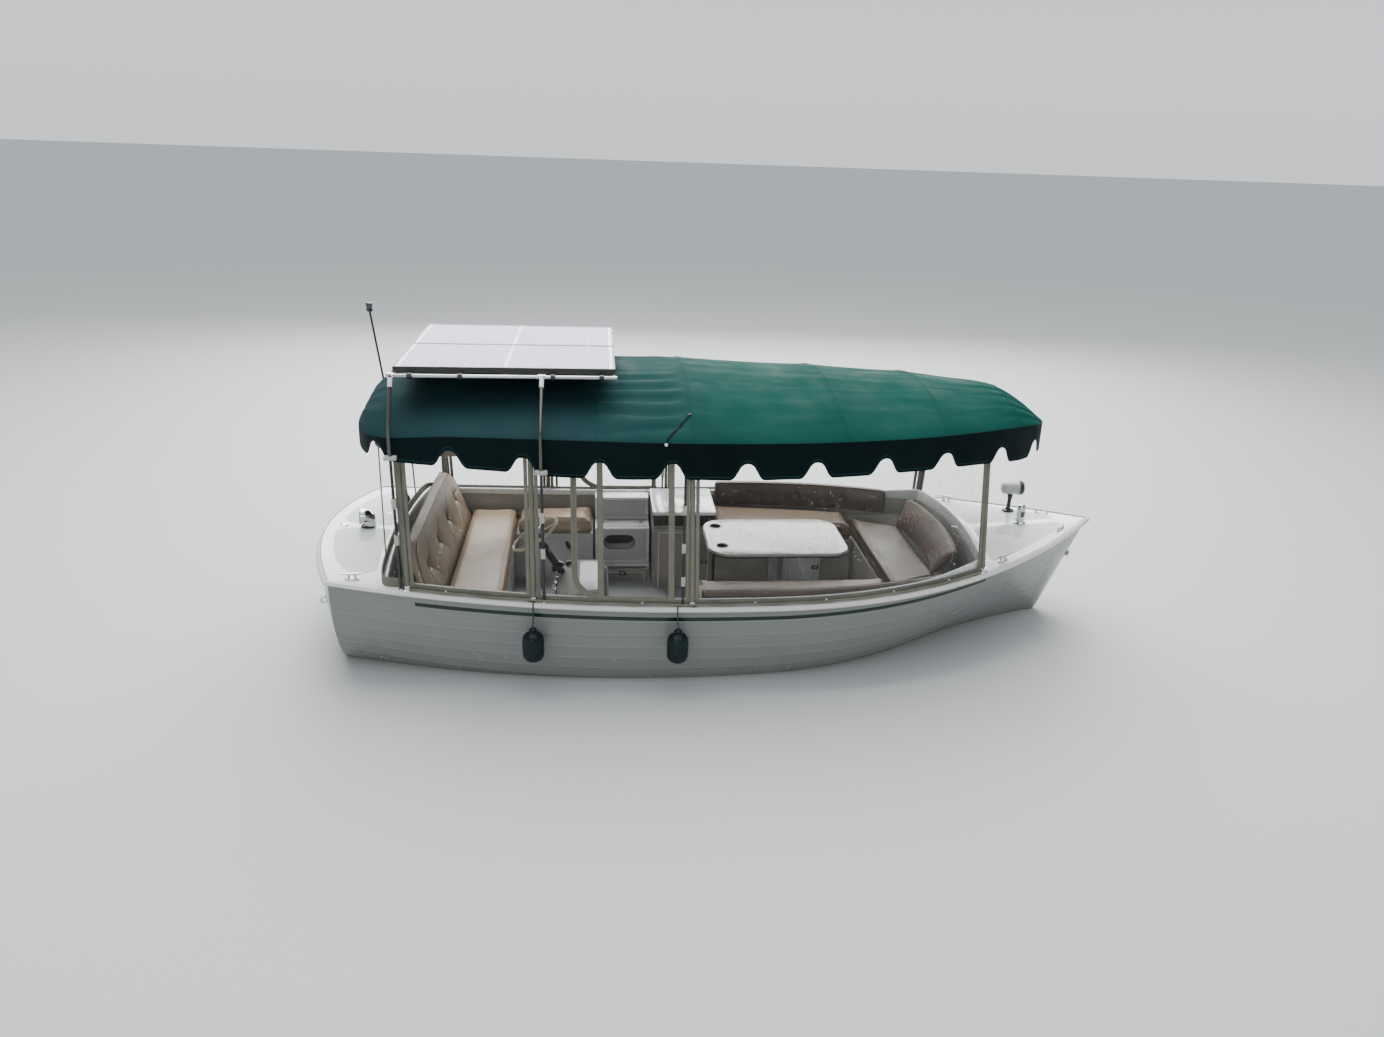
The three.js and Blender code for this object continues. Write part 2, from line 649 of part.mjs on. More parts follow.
function canopySolid() {
  const ends = (reach, count) => Array.from({ length: count }, (_, i) => reach * (1 - (1 - i / count) ** 2));
  const fwd = ends(canopyFwdX - canopyMidX - 4, 11);
  const aft = ends(canopyMidX - canopyAftX - 4, 11).slice(1);
  fwd.push(canopyFwdX - canopyMidX - 4);
  aft.push(canopyMidX - canopyAftX - 4);
  const xs = [...aft.map((d) => canopyMidX - d).reverse(), ...fwd.map((d) => canopyMidX + d)];
  const columns = [-1, -0.97, -0.88, -0.72, -0.5, -0.26, 0, 0.26, 0.5, 0.72, 0.88, 0.97, 1];
  const ring = (x, wall, low) => {
    const inner = canopyMidX + (x - canopyMidX) * (1 - wall / 2200);
    const width = Math.max(canopyWidth(x) - wall, 6);
    const bottom = columns.map((q) => [inner, q * width, along(valanceFoot, x) - low]);
    const top = columns.map((q) => [inner, q * width, crownAt(x, Math.abs(q)) - wall]).reverse();
    return [...bottom, ...top];
  };
  let shell = loft(xs.map((x) => ring(x, 0, 0))).subtract(loft(xs.map((x) => ring(x, canopyWall, 50))));
  for (const x of notchX) {
    const y = canopyWidth(x);
    const turn = THREE.MathUtils.radToDeg(Math.atan(canopySlope(x)));
    for (const side of [-1, 1]) shell = shell.subtract(notchTool(x, side * y, side * turn));
  }
  for (const x of [canopyAftX, canopyFwdX]) shell = shell.subtract(notchTool(x, 0, 90));
  return largest(shell);
}

// One hoop: post, bow under the canopy, post.
function hoopTube(xFoot, xTop, radius) {
  const footY = hullHalf(xFoot) - hoopInset;
  const width = postLine(xTop);
  const bowZ = (y) => crownAt(xTop, y / (width + 14)) - 34;
  const half = [
    [xFoot, footY, sheer(xFoot) - 40],
    [THREE.MathUtils.lerp(xFoot, xTop, 0.5), THREE.MathUtils.lerp(footY, width, 0.52), 1010],
    [THREE.MathUtils.lerp(xFoot, xTop, 0.95), width, along(fold, xTop) - 165],
    [xTop, width - 14, along(fold, xTop) - 62],
    [xTop, width * 0.9, bowZ(width * 0.9)],
    [xTop, width * 0.66, bowZ(width * 0.66)],
    [xTop, width * 0.33, bowZ(width * 0.33)],
    [xTop, 0, bowZ(0)],
  ];
  const mirror = half.slice(0, -1).map(([x, y, z]) => [x, -y, z]).reverse();
  return solid(tube([...half, ...mirror], radius, 8, 28));
}

// Cuts a curtain by the hoops and the deck that it meets.
function betweenHoops(sheet, rows) {
  const cut = rows.map(([, foot, top]) => hoopTube(foot, top, hoopRadius + gap));
  return seated(cut.reduce((rest, tool) => rest.subtract(tool), sheet), deck);
}

// Sheet of even thickness over a grid of points; each column of points has its own sideways
// offset [x, y], which moves one face out and the other in.
function sheetSolid(columns, offsets) {
  const rows = columns[0].length;
  const position = [];
  for (const sign of [1, -1]) {
    columns.forEach((column, i) => {
      for (const [x, y, z] of column) position.push(x + sign * offsets[i][0], y + sign * offsets[i][1], z);
    });
  }
  const at = (face, i, j) => face * columns.length * rows + i * rows + j;
  const index = [];
  const quad = (a, b, c, d) => index.push(a, b, c, a, c, d);
  for (let i = 0; i + 1 < columns.length; i += 1) {
    for (let j = 0; j + 1 < rows; j += 1) {
      quad(at(0, i, j), at(0, i + 1, j), at(0, i + 1, j + 1), at(0, i, j + 1));
      index.push(at(1, i, j), at(1, i + 1, j + 1), at(1, i + 1, j));
      index.push(at(1, i, j), at(1, i, j + 1), at(1, i + 1, j + 1));
    }
    quad(at(1, i, 0), at(1, i + 1, 0), at(0, i + 1, 0), at(0, i, 0));
    quad(at(0, i, rows - 1), at(0, i + 1, rows - 1), at(1, i + 1, rows - 1), at(1, i, rows - 1));
  }
  const end = columns.length - 1;
  for (let j = 0; j + 1 < rows; j += 1) {
    quad(at(1, 0, j), at(0, 0, j), at(0, 0, j + 1), at(1, 0, j + 1));
    quad(at(0, end, j), at(1, end, j), at(1, end, j + 1), at(0, end, j + 1));
  }
  const geometry = new THREE.BufferGeometry();
  geometry.setAttribute('position', new THREE.Float32BufferAttribute(position, 3));
  geometry.setIndex(index);
  const made = solid(geometry);
  if (made.volume() > 0) return made;
  geometry.setIndex(index.reverse());
  return solid(geometry);
}

// Curtain between two posts on one side of the boat.
function curtain(x0Foot, x1Foot, x0Top, x1Top, side) {
  const steps = Math.max(2, Math.ceil((x1Foot - x0Foot) / 330));
  const columns = Array.from({ length: steps + 1 }, (_, i) => {
    const foot = THREE.MathUtils.lerp(x0Foot, x1Foot, i / steps);
    const head = THREE.MathUtils.lerp(x0Top, x1Top, i / steps);
    const low = [foot, side * (hullHalf(foot) - hoopInset), sheer(foot) + curtainLift];
    const high = [head, side * postLine(head), along(fold, head) - curtainHead];
    const rise = (t) => low.map((v, k) => THREE.MathUtils.lerp(v, high[k], t));
    return [0, 0.33, 0.67, 1].map(rise);
  });
  return sheetSolid(columns, columns.map(() => [0, windowThick / 2]));
}

// Curtain across the boat, from plan points at its foot and its head, port side first.
function crossCurtain(foot, head, footZ, headZ) {
  const columns = foot.map(([x, y], i) => {
    const low = [x, y, footZ(x, y)];
    const high = [...head[i], headZ];
    return [0, 0.33, 0.67, 1].map((t) => low.map((v, k) => THREE.MathUtils.lerp(v, high[k], t)));
  });
  const offsets = foot.map((_, i) => {
    const a = foot[Math.max(i - 1, 0)];
    const b = foot[Math.min(i + 1, foot.length - 1)];
    const out = new THREE.Vector2(b[1] - a[1], a[0] - b[0]).setLength(windowThick / 2);
    return out.toArray();
  });
  return sheetSolid(columns, offsets);
}
const bothSides = (half) => [...half, ...half.slice(0, -1).map(([x, y]) => [x, -y]).reverse()];

// Solar frame: two rails under the modules, three cross bars and four legs to the deck.
function solarFrame() {
  const z = panelTop - panelThick - rackTube - gap;
  const x0 = panelMidX - panelLong / 2;
  const x1 = panelMidX + panelLong / 2;
  const bars = [x0 + 15, panelMidX, x1 - 15].map((x) => rod([x, -rackY, z], [x, rackY, z], rackTube, 8));
  const rails = [-rackY, rackY].map((y) => rod([x0 - 10, y, z], [x1 + 10, y, z], rackTube, 8));
  const legs = [];
  for (const x of solarLegX) {
    for (const side of [-1, 1]) {
      const elbowY = side * (canopyWidth(x) + legClear);
      const footY = side * (hullHalf(x) - hoopInset + legOutset);
      const points = [
        [x, side * rackY, z], [x, side * (Math.abs(elbowY) - 20), along(fold, x) + 60],
        [x, elbowY, along(fold, x) - 120], [x, elbowY, along(fold, x) - 200],
      ];
      legs.push(solid(tube(points, 11, 8, 10)));
      legs.push(rod([x, elbowY, along(fold, x) - 195], [x, footY, sheer(x) - 15], 8, 8));
      legs.push(block(x - 22, x + 22, elbowY - 20, elbowY + 20, along(fold, x) - 225, along(fold, x) - 180));
    }
  }
  return join(...bars, ...rails, ...legs);
}

// Teardrop fender hung on its eye.
function fender(x, y, top) {
  const profile = [
    [0, -fenderLong], [28, -fenderLong], [56, -fenderLong + 24], [fenderRadius, -fenderLong + 60],
    [fenderRadius, -92], [54, -52], [27, -34], [20, -6], [14, 0], [0, 0],
  ];
  return turned(profile, 20).translate(x, y, top);
}

function cleatSolid(x, y, turn) {
  const base = block(-42, 42, -14, 14, -30, 6);
  const legs = [-18, 18].map((u) => rod([u, 0, 0], [u, 0, 34], 7, 10));
  const horn = block(-78, 78, -8, 8, 28, 42);
  const made = join(base, ...legs, horn);
  return seated(made.rotate([0, 0, turn]).translate([x, y, deckTopAt(x, y) + 2]), deck);
}

function steeringWheel() {
  const rim = solid(new THREE.TorusGeometry(wheelRadius, 9, 8, 32));
  const hub = rod([0, 0, -26], [0, 0, 16], 34, 20);
  const spokes = [0, 1, 2, 3, 4].map((i) => {
    const a = (2 * Math.PI * i) / 5;
    return rod([0, 0, -4], [wheelRadius * Math.cos(a), wheelRadius * Math.sin(a), 0], 7, 8);
  });
  const made = join(rim, hub, ...spokes);
  return made.rotate([0, wheelTilt - 90, 0]).translate(wheelCentre);
}

function helmConsole() {
  const outline = [
    [-1180, soleTop + gap], [-1180, 330], [-1125, 450], [-1000, 505], [-860, 505], [-800, 440],
    [-800, soleTop + gap],
  ];
  const body = sideSlab(outline, consoleY[0], consoleY[1]);
  const a = THREE.MathUtils.degToRad(wheelTilt);
  const axis = [-Math.cos(a), 0, Math.sin(a)];
  const root = axis.map((v, i) => wheelCentre[i] - v * 330);
  const tip = axis.map((v, i) => wheelCentre[i] - v * 27);
  return body.add(rod(root, tip, 24, 16));
}

// Hinged front: plate with a hinge barrel on its aft edge.
function hingedFront(x0, x1, y, z0, z1) {
  const plate = block(x0, x1, y - frontThick, y, z0, z1);
  const barrel = rod([x0, y, z0], [x0, y, z1], barrelRadius, 12);
  const knob = rod([x1 - 40, y - 2, (z0 + z1) / 2], [x1 - 40, y - frontThick - 18, (z0 + z1) / 2], 10, 12);
  return join(plate, barrel, knob);
}

const hull = hullShell();
const deck = deckSolid();
const rail = railSolid();

part('hull_shell', hull, finishes.gelcoat);
part('deck', deck, finishes.deckWhite);
part('rub_rail', rail, finishes.gelcoat);
part('keel_skeg', keelSolid(), finishes.bottomPaint);
part('propeller', propellerSolid(), finishes.bronze);
part('rudder', rudderSolid(), finishes.bronze);

const solePlate = block(-2150, 1520, -1000, 1000, soleTop - soleThick, soleTop);
part('cockpit_sole', solePlate.intersect(insideForm), finishes.soleBrown);

// Aft seat: a bench across the boat and a return along the port side.
function aftSeatBase() {
  const [x0, x1] = aftSeatX;
  const bench = block(x0, x1, -1000, 1000, soleTop + gap, seatTop);
  const benchHollow = block(x0 + wallThick, x1 - wallThick, -1000, 1000, soleTop - 50, seatTop - wallThick);
  const wing = seatBox(x1 - wallThick, wingEndX, 580, 1000);
  return largest(bench.subtract(benchHollow).add(wing.body.subtract(wing.hollow)).intersect(insideForm));
}

// Forward seat: a U around the table.
function forwardSeatBase() {
  const port = seatBox(30, 1120, 450, 1000);
  const starboard = seatBox(-240, 1120, -450, -1000);
  const x1 = foreSeatEndX;
  const bow = block(1100, x1, -1000, 1000, soleTop + gap, seatTop);
  const bowHollow = block(1100 + wallThick, x1 - wallThick, -1000, 1000, soleTop - 50, seatTop - wallThick);
  const sides = port.body.subtract(port.hollow).add(starboard.body.subtract(starboard.hollow));
  const hatch = block(580, 840, 400, 500, soleTop + 80, 310);
  return largest(sides.add(bow.subtract(bowHollow)).intersect(insideForm).subtract(hatch));
}

function stepModule() {
  const [x0, x1] = stepX;
  const lower = block(x0, x1, stepFront, 1000, soleTop + gap, 130);
  const upper = block(x0, x1, stepFront + 40, 1000, 100, 415);
  const riser = block(x0, x1, 800, 925, 400, 515);
  const shelf = block(x0, x1, 800, 930, 500, 590);
  const store = block(x0 + 20, x1 - 20, stepFront + 62, 780, 150, 393);
  const locker = block(x0 + 20, x1 - 20, stepFront - 20, 740, soleTop - 1, 112);
  const holeX = [x0 + 125, x1 - 170];
  const [aftEnd, fwdEnd] = holeX.map((x) => rod([x, stepFront, 300], [x, stepFront + 80, 300], 58, 20));
  const middle = block(...holeX, stepFront, stepFront + 80, 242, 358);
  const body = join(lower, upper, riser).intersect(insideForm).add(shelf);
  return largest(body.subtract(store).subtract(locker).subtract(aftEnd).subtract(fwdEnd).subtract(middle));
}

function counterCabinet() {
  const [x0, x1] = counterX;
  const lower = block(x0, x1, counterFront, 1000, soleTop + gap, 515).intersect(insideForm);
  const upper = block(x0, x1, counterFront - 20, 912, 500, 604);
  const top = slab(roundRect(x0 - 7, x1 + 8, counterFront - 33, 920, 14), 600, 630, 4);
  const store = block(x0 + 18, x1 - 18, counterFront - 25, 760, soleTop + 25, 482);
  return largest(join(lower, upper, top).subtract(store));
}

part('aft_seat_base', aftSeatBase(), finishes.linerGrey);
part('forward_seat_base', forwardSeatBase(), finishes.linerGrey);
part('step_module', stepModule(), finishes.linerGrey);
const stepDoor = hingedFront(stepX[0] + 10, stepX[1] - 10, stepFront - frontGap, soleTop + 25, 100);
part('step_door', stepDoor, finishes.linerGrey);
part('counter_cabinet', counterCabinet(), finishes.brown);
const doorX = [counterX[0] + 12, counterX[1] - 12];
const counterDoor = hingedFront(...doorX, counterFront - frontGap, soleTop + 25, 490);
part('counter_door', counterDoor, finishes.brown);
part('locker_door', hingedFront(560, 860, 450 - frontGap, soleTop + 60, 330), finishes.linerGrey);
part('helm_console', helmConsole(), finishes.linerGrey);
part('steering_wheel', steeringWheel(), finishes.khaki);

part('motor_block', block(-1960, -1790, -120, 120, soleTop + gap, 100), finishes.black);
part('battery_block', block(-1770, -1570, -520, 520, soleTop + gap, 160), finishes.black);

const benchOutline = [[-1860, -860], [-1455, -860], [-1490, 860], [-1860, 860]];
const benchPad = slab(benchOutline, seatTop + gap, seatTop + cushionThick, 18);
part('aft_seat_cushion', benchPad.intersect(insideForm), finishes.tan);
part('port_aft_cushion', seatPad(-1480, -915, 585, 1), finishes.tan);
part('port_seat_cushion', seatPad(35, 1095, 455, 1), finishes.tan);
part('stbd_seat_cushion', seatPad(-235, 1095, -455, -1), finishes.tan);
const bowOutline = [[1100, -640], [1490, -480], [1490, 480], [1100, 640]];
const bowPad = slab(bowOutline, seatTop + gap, seatTop + cushionThick, 18);
part('bow_seat_cushion', bowPad.intersect(insideForm), finishes.tan);

// Aft backrest: a pad leaning aft, with an arched top and round upper corners.
function aftBackrest() {
  const rings = [-1, -0.985, -0.94, -0.85, -0.6, 0, 0.6, 0.85, 0.94, 0.985, 1].map((q) => {
    const y = 850 * q;
    const top = padTop + 14 + 374 * (1 - Math.abs(q) ** 11) ** 0.5;
    const face = (z) => -1864 - (z - 490) * 0.33;
    return [
      [face(400) - 78, y, 392], [face(400) + 4, y, 392], [face(top), y, top - 18], [face(top) - 72, y, top],
    ];
  });
  return largest(loft(rings).subtract(benchPad.translate([-gap, 0, 0])));
}
part('aft_backrest', aftBackrest(), finishes.tan);
part('port_backrest', sidePad(60, 1420, 1, padTop, 690, 12, 80), finishes.brown);
part('stbd_backrest', sidePad(-230, 1420, -1, padTop, 640, 12, 80), finishes.brown);

function bowBackrest() {
  const rings = [-1, -0.8, -0.4, 0, 0.4, 0.8, 1].map((q) => {
    const y0 = 430 * q;
    const y1 = 520 * q;
    const x0 = 1560 - 60 * q * q;
    const x1 = 1640 - 70 * q * q;
    return [[x0 - 90, y0, padTop], [x0, y0, padTop], [x1, y1, 700], [x1 - 60, y1, 700]];
  });
  return loft(rings);
}
part('bow_backrest', bowBackrest(), finishes.brown);

const tableFoot = tableTop - tableThick;
const tableOutline = roundRect(...tableX, -tableHalf, tableHalf, 150, 5);
part('table_top', slab(tableOutline, tableFoot, tableTop, 6), finishes.tableWhite);
const flange = rod([pedestalX, 0, soleTop + gap], [pedestalX, 0, soleTop + 14], 130, 24);
const column = rod([pedestalX, 0, soleTop + 5], [pedestalX, 0, tableFoot - gap], 36, 20);
part('table_pedestal', flange.add(column), finishes.steel);

part('canopy', canopySolid(), finishes.canopyGreen);
for (const [name, foot, top] of hoops) {
  part(`canopy_hoop_${name}`, seated(hoopTube(foot, top, hoopRadius), deck), finishes.khaki);
}

const bays = [['aft', 0, 1], ['mid', 1, 2], ['fwd', 2, 3]];
for (const [name, a, b] of bays) {
  const posts = [hoops[a], hoops[b]];
  for (const [sideName, side] of [['stbd', -1], ['port', 1]]) {
    const strip = curtain(hoops[a][1], hoops[b][1], hoops[a][2], hoops[b][2], side);
    part(`window_${sideName}_${name}`, betweenHoops(strip, posts), finishes.vinyl);
  }
}
const bowed = (midX, sag, ys) => bothSides(ys.map((y) => [midX - sag * y * y, y * 1000]));
const screenFoot = bowed(1755, 148, [0.707, 0.55, 0.4, 0.25, 0.12, 0]);
const screenHead = bowed(1715, 205, [0.565, 0.46, 0.34, 0.21, 0.1, 0]);
const onDeck = (x, y) => deckTopAt(x, y) - 2;
const screenSheet = crossCurtain(screenFoot, screenHead, onDeck, screenTop);
part('windscreen', betweenHoops(screenSheet, [hoops[3]]), finishes.vinyl);
const aftSheet = crossCurtain(bothSides(sternFoot), bothSides(sternHead), onDeck, sternTop);
part('aft_curtain', betweenHoops(aftSheet, [hoops[0]]), finishes.vinyl);

part('solar_frame', seated(solarFrame(), deck), finishes.steel);
for (const [name, side] of [['stbd', -1], ['port', 1]]) {
  const y = side * (panelWide / 2 + panelGap / 2);
  const x0 = panelMidX - panelLong / 2;
  const wide = [y - panelWide / 2, y + panelWide / 2];
  const module = block(x0, x0 + panelLong, ...wide, panelTop - panelThick, panelTop);
  part(`solar_module_${name}`, module, finishes.panelBlue);
}

const poleFoot = [poleX[0], poleY, deckTopAt(poleX[0], poleY) - 10];
const poleTop = [poleX[1], poleY, poleTopZ];
const pole = join(
  rod(poleFoot, poleTop, 9, 10),
  rod(poleFoot, [poleFoot[0] - 6, poleFoot[1], poleFoot[2] + 40], 24, 14),
  rod(poleTop, [poleTop[0] - 7, poleTop[1], poleTop[2] + 55], 24, 14),
);
part('stern_light_pole', seated(pole, deck), finishes.black);

const ventPipe = solid(turned([[0, -20], [50, -20], [50, 6], [40, 12], [40, 55], [0, 55]], 20));
const ventHood = solid(new THREE.SphereGeometry(60, 16, 10).translate(-12, 0, 72));
const ventMouth = rod([-100, 0, 74], [-34, 0, 74], 46, 16);
const vent = join(ventPipe, ventHood).subtract(ventMouth).translate([ventX, 0, deckTopAt(ventX, 0)]);
part('cowl_vent', seated(vent, deck), finishes.chrome);

const bowLamp = solid(turned([[0, -20], [44, -20], [44, 8], [30, 14], [30, 130], [24, 142], [0, 142]], 20));
part('bow_light', seated(bowLamp.translate([bowLightX, 0, deckTopAt(bowLightX, 0)]), deck), finishes.chrome);

const lampZ = deckTopAt(searchX, searchY);
const onLamp = (ahead, up) => [searchX + ahead, searchY, lampZ + up];
const lampFoot = join(rod(onLamp(0, -20), onLamp(0, 10), 45, 16), rod(onLamp(0, 0), onLamp(0, 118), 14, 12));
part('searchlight_base', seated(lampFoot, deck), finishes.black);
const barrel = rod(onLamp(-80, 185), onLamp(85, 185), 52, 20);
part('searchlight_head', barrel.add(rod(onLamp(0, 118.6), onLamp(0, 160), 20, 12)), finishes.chrome);

for (const [name, x, side, turn] of cleats) {
  part(`cleat_${name}`, cleatSolid(x, side * (hullHalf(x) - cleatInset), turn), finishes.chrome);
}

for (const [name, x] of fenders) {
  const half = hullHalf(x);
  const y = half + railProud + fenderRadius + 2;
  part(`fender_${name}`, fender(x, -y, fenderTop), finishes.fenderGreen);
  const over = half + railProud + 3.4;
  const route = [
    [x, -y, fenderTop + 0.5], [x, -y, fenderTop + 16], [x, -over - 14, 505], [x, -over - 2, sheer(x) - 42],
    [x, -over, sheer(x) - 12], [x, -over + 12, sheer(x) + 11], [x, -half - 8, sheer(x) + 13],
    [x, -half + 7, sheer(x) + 12],
  ];
  const line = solid(tube(route, 4, 8, 18)).subtract(rail.translate([0, -0.4, 0.4]));
  part(`fender_line_${name}`, largest(line.subtract(deck.translate([0, 0, 0.4]))), finishes.rope);
}

export default boat;
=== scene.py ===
import math

import bmesh
import bpy
from mathutils import Matrix, Vector, noise
from mathutils.kdtree import KDTree


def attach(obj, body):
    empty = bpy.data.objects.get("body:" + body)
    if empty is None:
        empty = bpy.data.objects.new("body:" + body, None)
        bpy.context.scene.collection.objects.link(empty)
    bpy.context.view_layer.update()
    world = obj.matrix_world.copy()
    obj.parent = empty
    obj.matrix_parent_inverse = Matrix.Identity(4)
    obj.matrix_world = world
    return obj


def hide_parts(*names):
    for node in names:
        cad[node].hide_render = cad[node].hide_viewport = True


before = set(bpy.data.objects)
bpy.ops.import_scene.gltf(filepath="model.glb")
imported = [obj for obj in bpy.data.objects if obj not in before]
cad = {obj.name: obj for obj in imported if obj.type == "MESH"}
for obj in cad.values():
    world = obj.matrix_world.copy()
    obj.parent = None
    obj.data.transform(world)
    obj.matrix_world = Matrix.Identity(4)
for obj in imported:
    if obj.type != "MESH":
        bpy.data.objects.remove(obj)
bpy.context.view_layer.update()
scene = bpy.context.scene


# Camera, from the sight lines of the rail, coaming, hoops and canopy
view = {"place": (-0.867, -6.263, 3.264), "yaw": 6.022, "down": 21.861, "roll": 2.1245, "focal": 957.26,
    "width": 1384}


def makeCamera():
    yaw, down, roll = (math.radians(view[k]) for k in ("yaw", "down", "roll"))
    ahead = Vector((math.sin(yaw) * math.cos(down), math.cos(yaw) * math.cos(down), -math.sin(down)))
    side = Vector((math.cos(yaw), -math.sin(yaw), 0))
    up = side.cross(ahead)
    right = side * math.cos(roll) + up * math.sin(roll)
    top = up * math.cos(roll) - side * math.sin(roll)
    data = bpy.data.cameras.new("camera")
    data.sensor_width = 36
    data.lens = 36 * view["focal"] / view["width"]
    data.clip_end = 300
    camera = bpy.data.objects.new("camera", data)
    scene.collection.objects.link(camera)
    turn = Matrix((right, top, -ahead)).transposed().to_4x4()
    camera.matrix_world = Matrix.Translation(view["place"]) @ turn
    scene.camera = camera


makeCamera()


# Lines of the boat, in metres, as in the part
hullLines = {"bowX": 2.715, "tipX": 2.7135, "cornerX": -2.51, "beamX": 0.2, "halfBeam": 1.04,
    "bowFullness": 2.27, "sternTaper": 0.2, "sternFullness": 2.4, "transomBow": 0.261, "wall": 0.03,
    "crown": 0.045, "lap": 0.006, "lip": 0.0245, "liningThick": 0.006,
    "plankEdges": (0.088, 0.195, 0.30, 0.40, 0.50, 0.60), "rake": 0.09, "rakePower": 2.5}
keelLine = [
    (-2.745, -0.13), (-2.2, -0.205), (-1.6, -0.275), (-0.9, -0.325), (-0.2, -0.345), (0.5, -0.338),
    (1.1, -0.3), (1.6, -0.225), (1.95, -0.15), (2.2, -0.088), (2.35, -0.042), (2.44, 0), (2.715, 0.712),
]
fullness = [(-2.745, 2.3), (-2.0, 2.6), (-0.9, 2.8), (0, 2.5), (0.6, 2.1), (1.1, 1.68), (1.5, 1.38),
    (1.9, 1.24), (2.745, 1.14)]
opening = {"aft": -2.215, "fwd": 1.743, "inset": 0.055, "arc": 0.141, "wide": 0.018, "high": 0.042,
    "rise": 0.045}
canopyLines = {"mid": -0.3, "fwd": 2.21, "aft": -2.368, "half": 0.96, "crownPower": 1.9}
foldLine = [
    (-2.368, 1.545), (-2.2, 1.562), (-1.8, 1.6), (-1.3, 1.604), (-0.3, 1.59), (1.2, 1.587), (1.7, 1.58),
    (2.0, 1.55), (2.21, 1.5),
]
valanceFoot = [(-2.368, 1.445), (-1.99, 1.44), (-1.83, 1.434), (-1.508, 1.416), (-1.037, 1.381),
    (0.22, 1.372), (1.088, 1.38), (1.6, 1.375), (1.87, 1.345), (2.03, 1.34), (2.21, 1.33)]
ridgeRise = [(-2.368, 0), (-2.28, 0.145), (-2.1, 0.232), (-1.8, 0.243), (-1.3, 0.243), (-0.6, 0.257),
    (0, 0.248), (0.6, 0.218), (1.2, 0.193), (1.6, 0.168), (1.85, 0.15), (2.05, 0.08), (2.21, 0)]
notchX = (-2.3345, -2.163, -1.725, -1.3, -0.859, -0.432, 0.01, 0.44, 0.875, 1.297, 1.718, 2.05)
bothSides = ((-1, "stbd"), (1, "port"))
hoopLines = {"aft": (-2.022, -2.036), "mid_aft": (-1.262, -1.262), "mid_fwd": (-0.292, -0.31),
    "fwd": (1.668, 1.64)}


def clamp(v, low=0.0, high=1.0):
    return min(max(v, low), high)


def smoothStep(a, b, v):
    t = clamp((v - a) / (b - a))
    return t * t * (3 - 2 * t)


def lerp(a, b, t):
    return a + (b - a) * t


def along(table, x):
    last = len(table) - 1
    i = 1
    while i < last and table[i][0] < x:
        i += 1
    (x0, v0), (x1, v1) = table[i - 1], table[i]

    def slopeAt(k):
        a, b = table[max(k - 1, 0)], table[min(k + 1, last)]
        return (b[1] - a[1]) / (b[0] - a[0])

    t = clamp((x - x0) / (x1 - x0))
    m0, m1 = slopeAt(i - 1) * (x1 - x0), slopeAt(i) * (x1 - x0)
    return ((2 * t**3 - 3 * t**2 + 1) * v0 + (t**3 - 2 * t**2 + t) * m0 + (3 * t**2 - 2 * t**3) * v1
        + (t**3 - t**2) * m1)


def hullHalf(x):
    h = hullLines
    if x > h["beamX"]:
        return h["halfBeam"] * max(1 - ((x - h["beamX"]) / (h["bowX"] - h["beamX"])) ** h["bowFullness"], 0)
    back = (h["beamX"] - x) / (h["beamX"] - h["cornerX"])
    return h["halfBeam"] * (1 - h["sternTaper"] * back ** h["sternFullness"])


def sheer(x):
    rise, reach = (0.178, 2.965) if x > -0.22 else (0.131, 2.525)
    return 0.562 + rise * ((x + 0.22) / reach) ** 2


def stemZ(x):
    return (x - 2.44) / 0.275 * 0.712 if x > 2.44 else along(keelLine, x)


def bulge(x, y, inset=0.0):
    corner = hullHalf(hullLines["cornerX"])
    shift = hullLines["transomBow"] * ((abs(y) / 0.96) ** 1.9 - ((corner - inset) / 0.96) ** 1.9)
    return x + smoothStep(1.7, 2.51, -x) * min(shift, 0)


def rake(x, z):
    # The stern runs ahead as it goes down
    depth = max(sheer(x) - z, 0) / sheer(x)
    return smoothStep(1.7, 2.51, -x) * hullLines["rake"] * depth ** hullLines["rakePower"]


def sectionHalf(x, share, inset=0.0):
    n = along(fullness, x)
    return max(hullHalf(x) - inset, 0.001) * max(1 - share**n, 0) ** (1 / n)


def stationAt(x, y):
    # The station whose bowed line passes through the point
    station = x
    for _ in range(5):
        station = max(hullLines["cornerX"], station + x - bulge(station, y))
    return station


def deckTop(x, y):
    station = stationAt(x, y)
    half = max(hullHalf(station), 0.001)
    share = min(1, half / hullLines["halfBeam"])
    return sheer(station) + hullLines["crown"] * share * (1 - min(1, (y / half) ** 2))


def canopyHalf(x):
    c = canopyLines
    if x > c["mid"]:
        t = clamp((x - c["mid"]) / (c["fwd"] - c["mid"]))
        return c["half"] * (1 - t**2.25) ** 0.53
    t = clamp((c["mid"] - x) / (c["mid"] - c["aft"]))
    return c["half"] * (1 - 0.13 * t * t) * (1 - t**16) ** 0.5


def crownAt(x, q):
    rise = max(1 - min(abs(q), 1) ** canopyLines["crownPower"], 0) ** 0.8
    return along(foldLine, x) + along(ridgeRise, x) * rise


def postLine(x):
    slope = (canopyHalf(x + 0.001) - canopyHalf(x - 0.001)) / 0.002
    return canopyHalf(x) - 0.037 * math.hypot(1, slope)


# Small tools that every piece uses
def deselect():
    bpy.ops.object.select_all(action="DESELECT")


def pick(piece):
    deselect()
    piece.select_set(True)
    bpy.context.view_layer.objects.active = piece


def applyModifiers(piece):
    pick(piece)
    for modifier in list(piece.modifiers):
        bpy.ops.object.modifier_apply(modifier=modifier.name)


def thicken(piece, thickness, offset=-1):
    skin = piece.modifiers.new("skin", "SOLIDIFY")
    skin.thickness = thickness
    skin.offset = offset
    applyModifiers(piece)


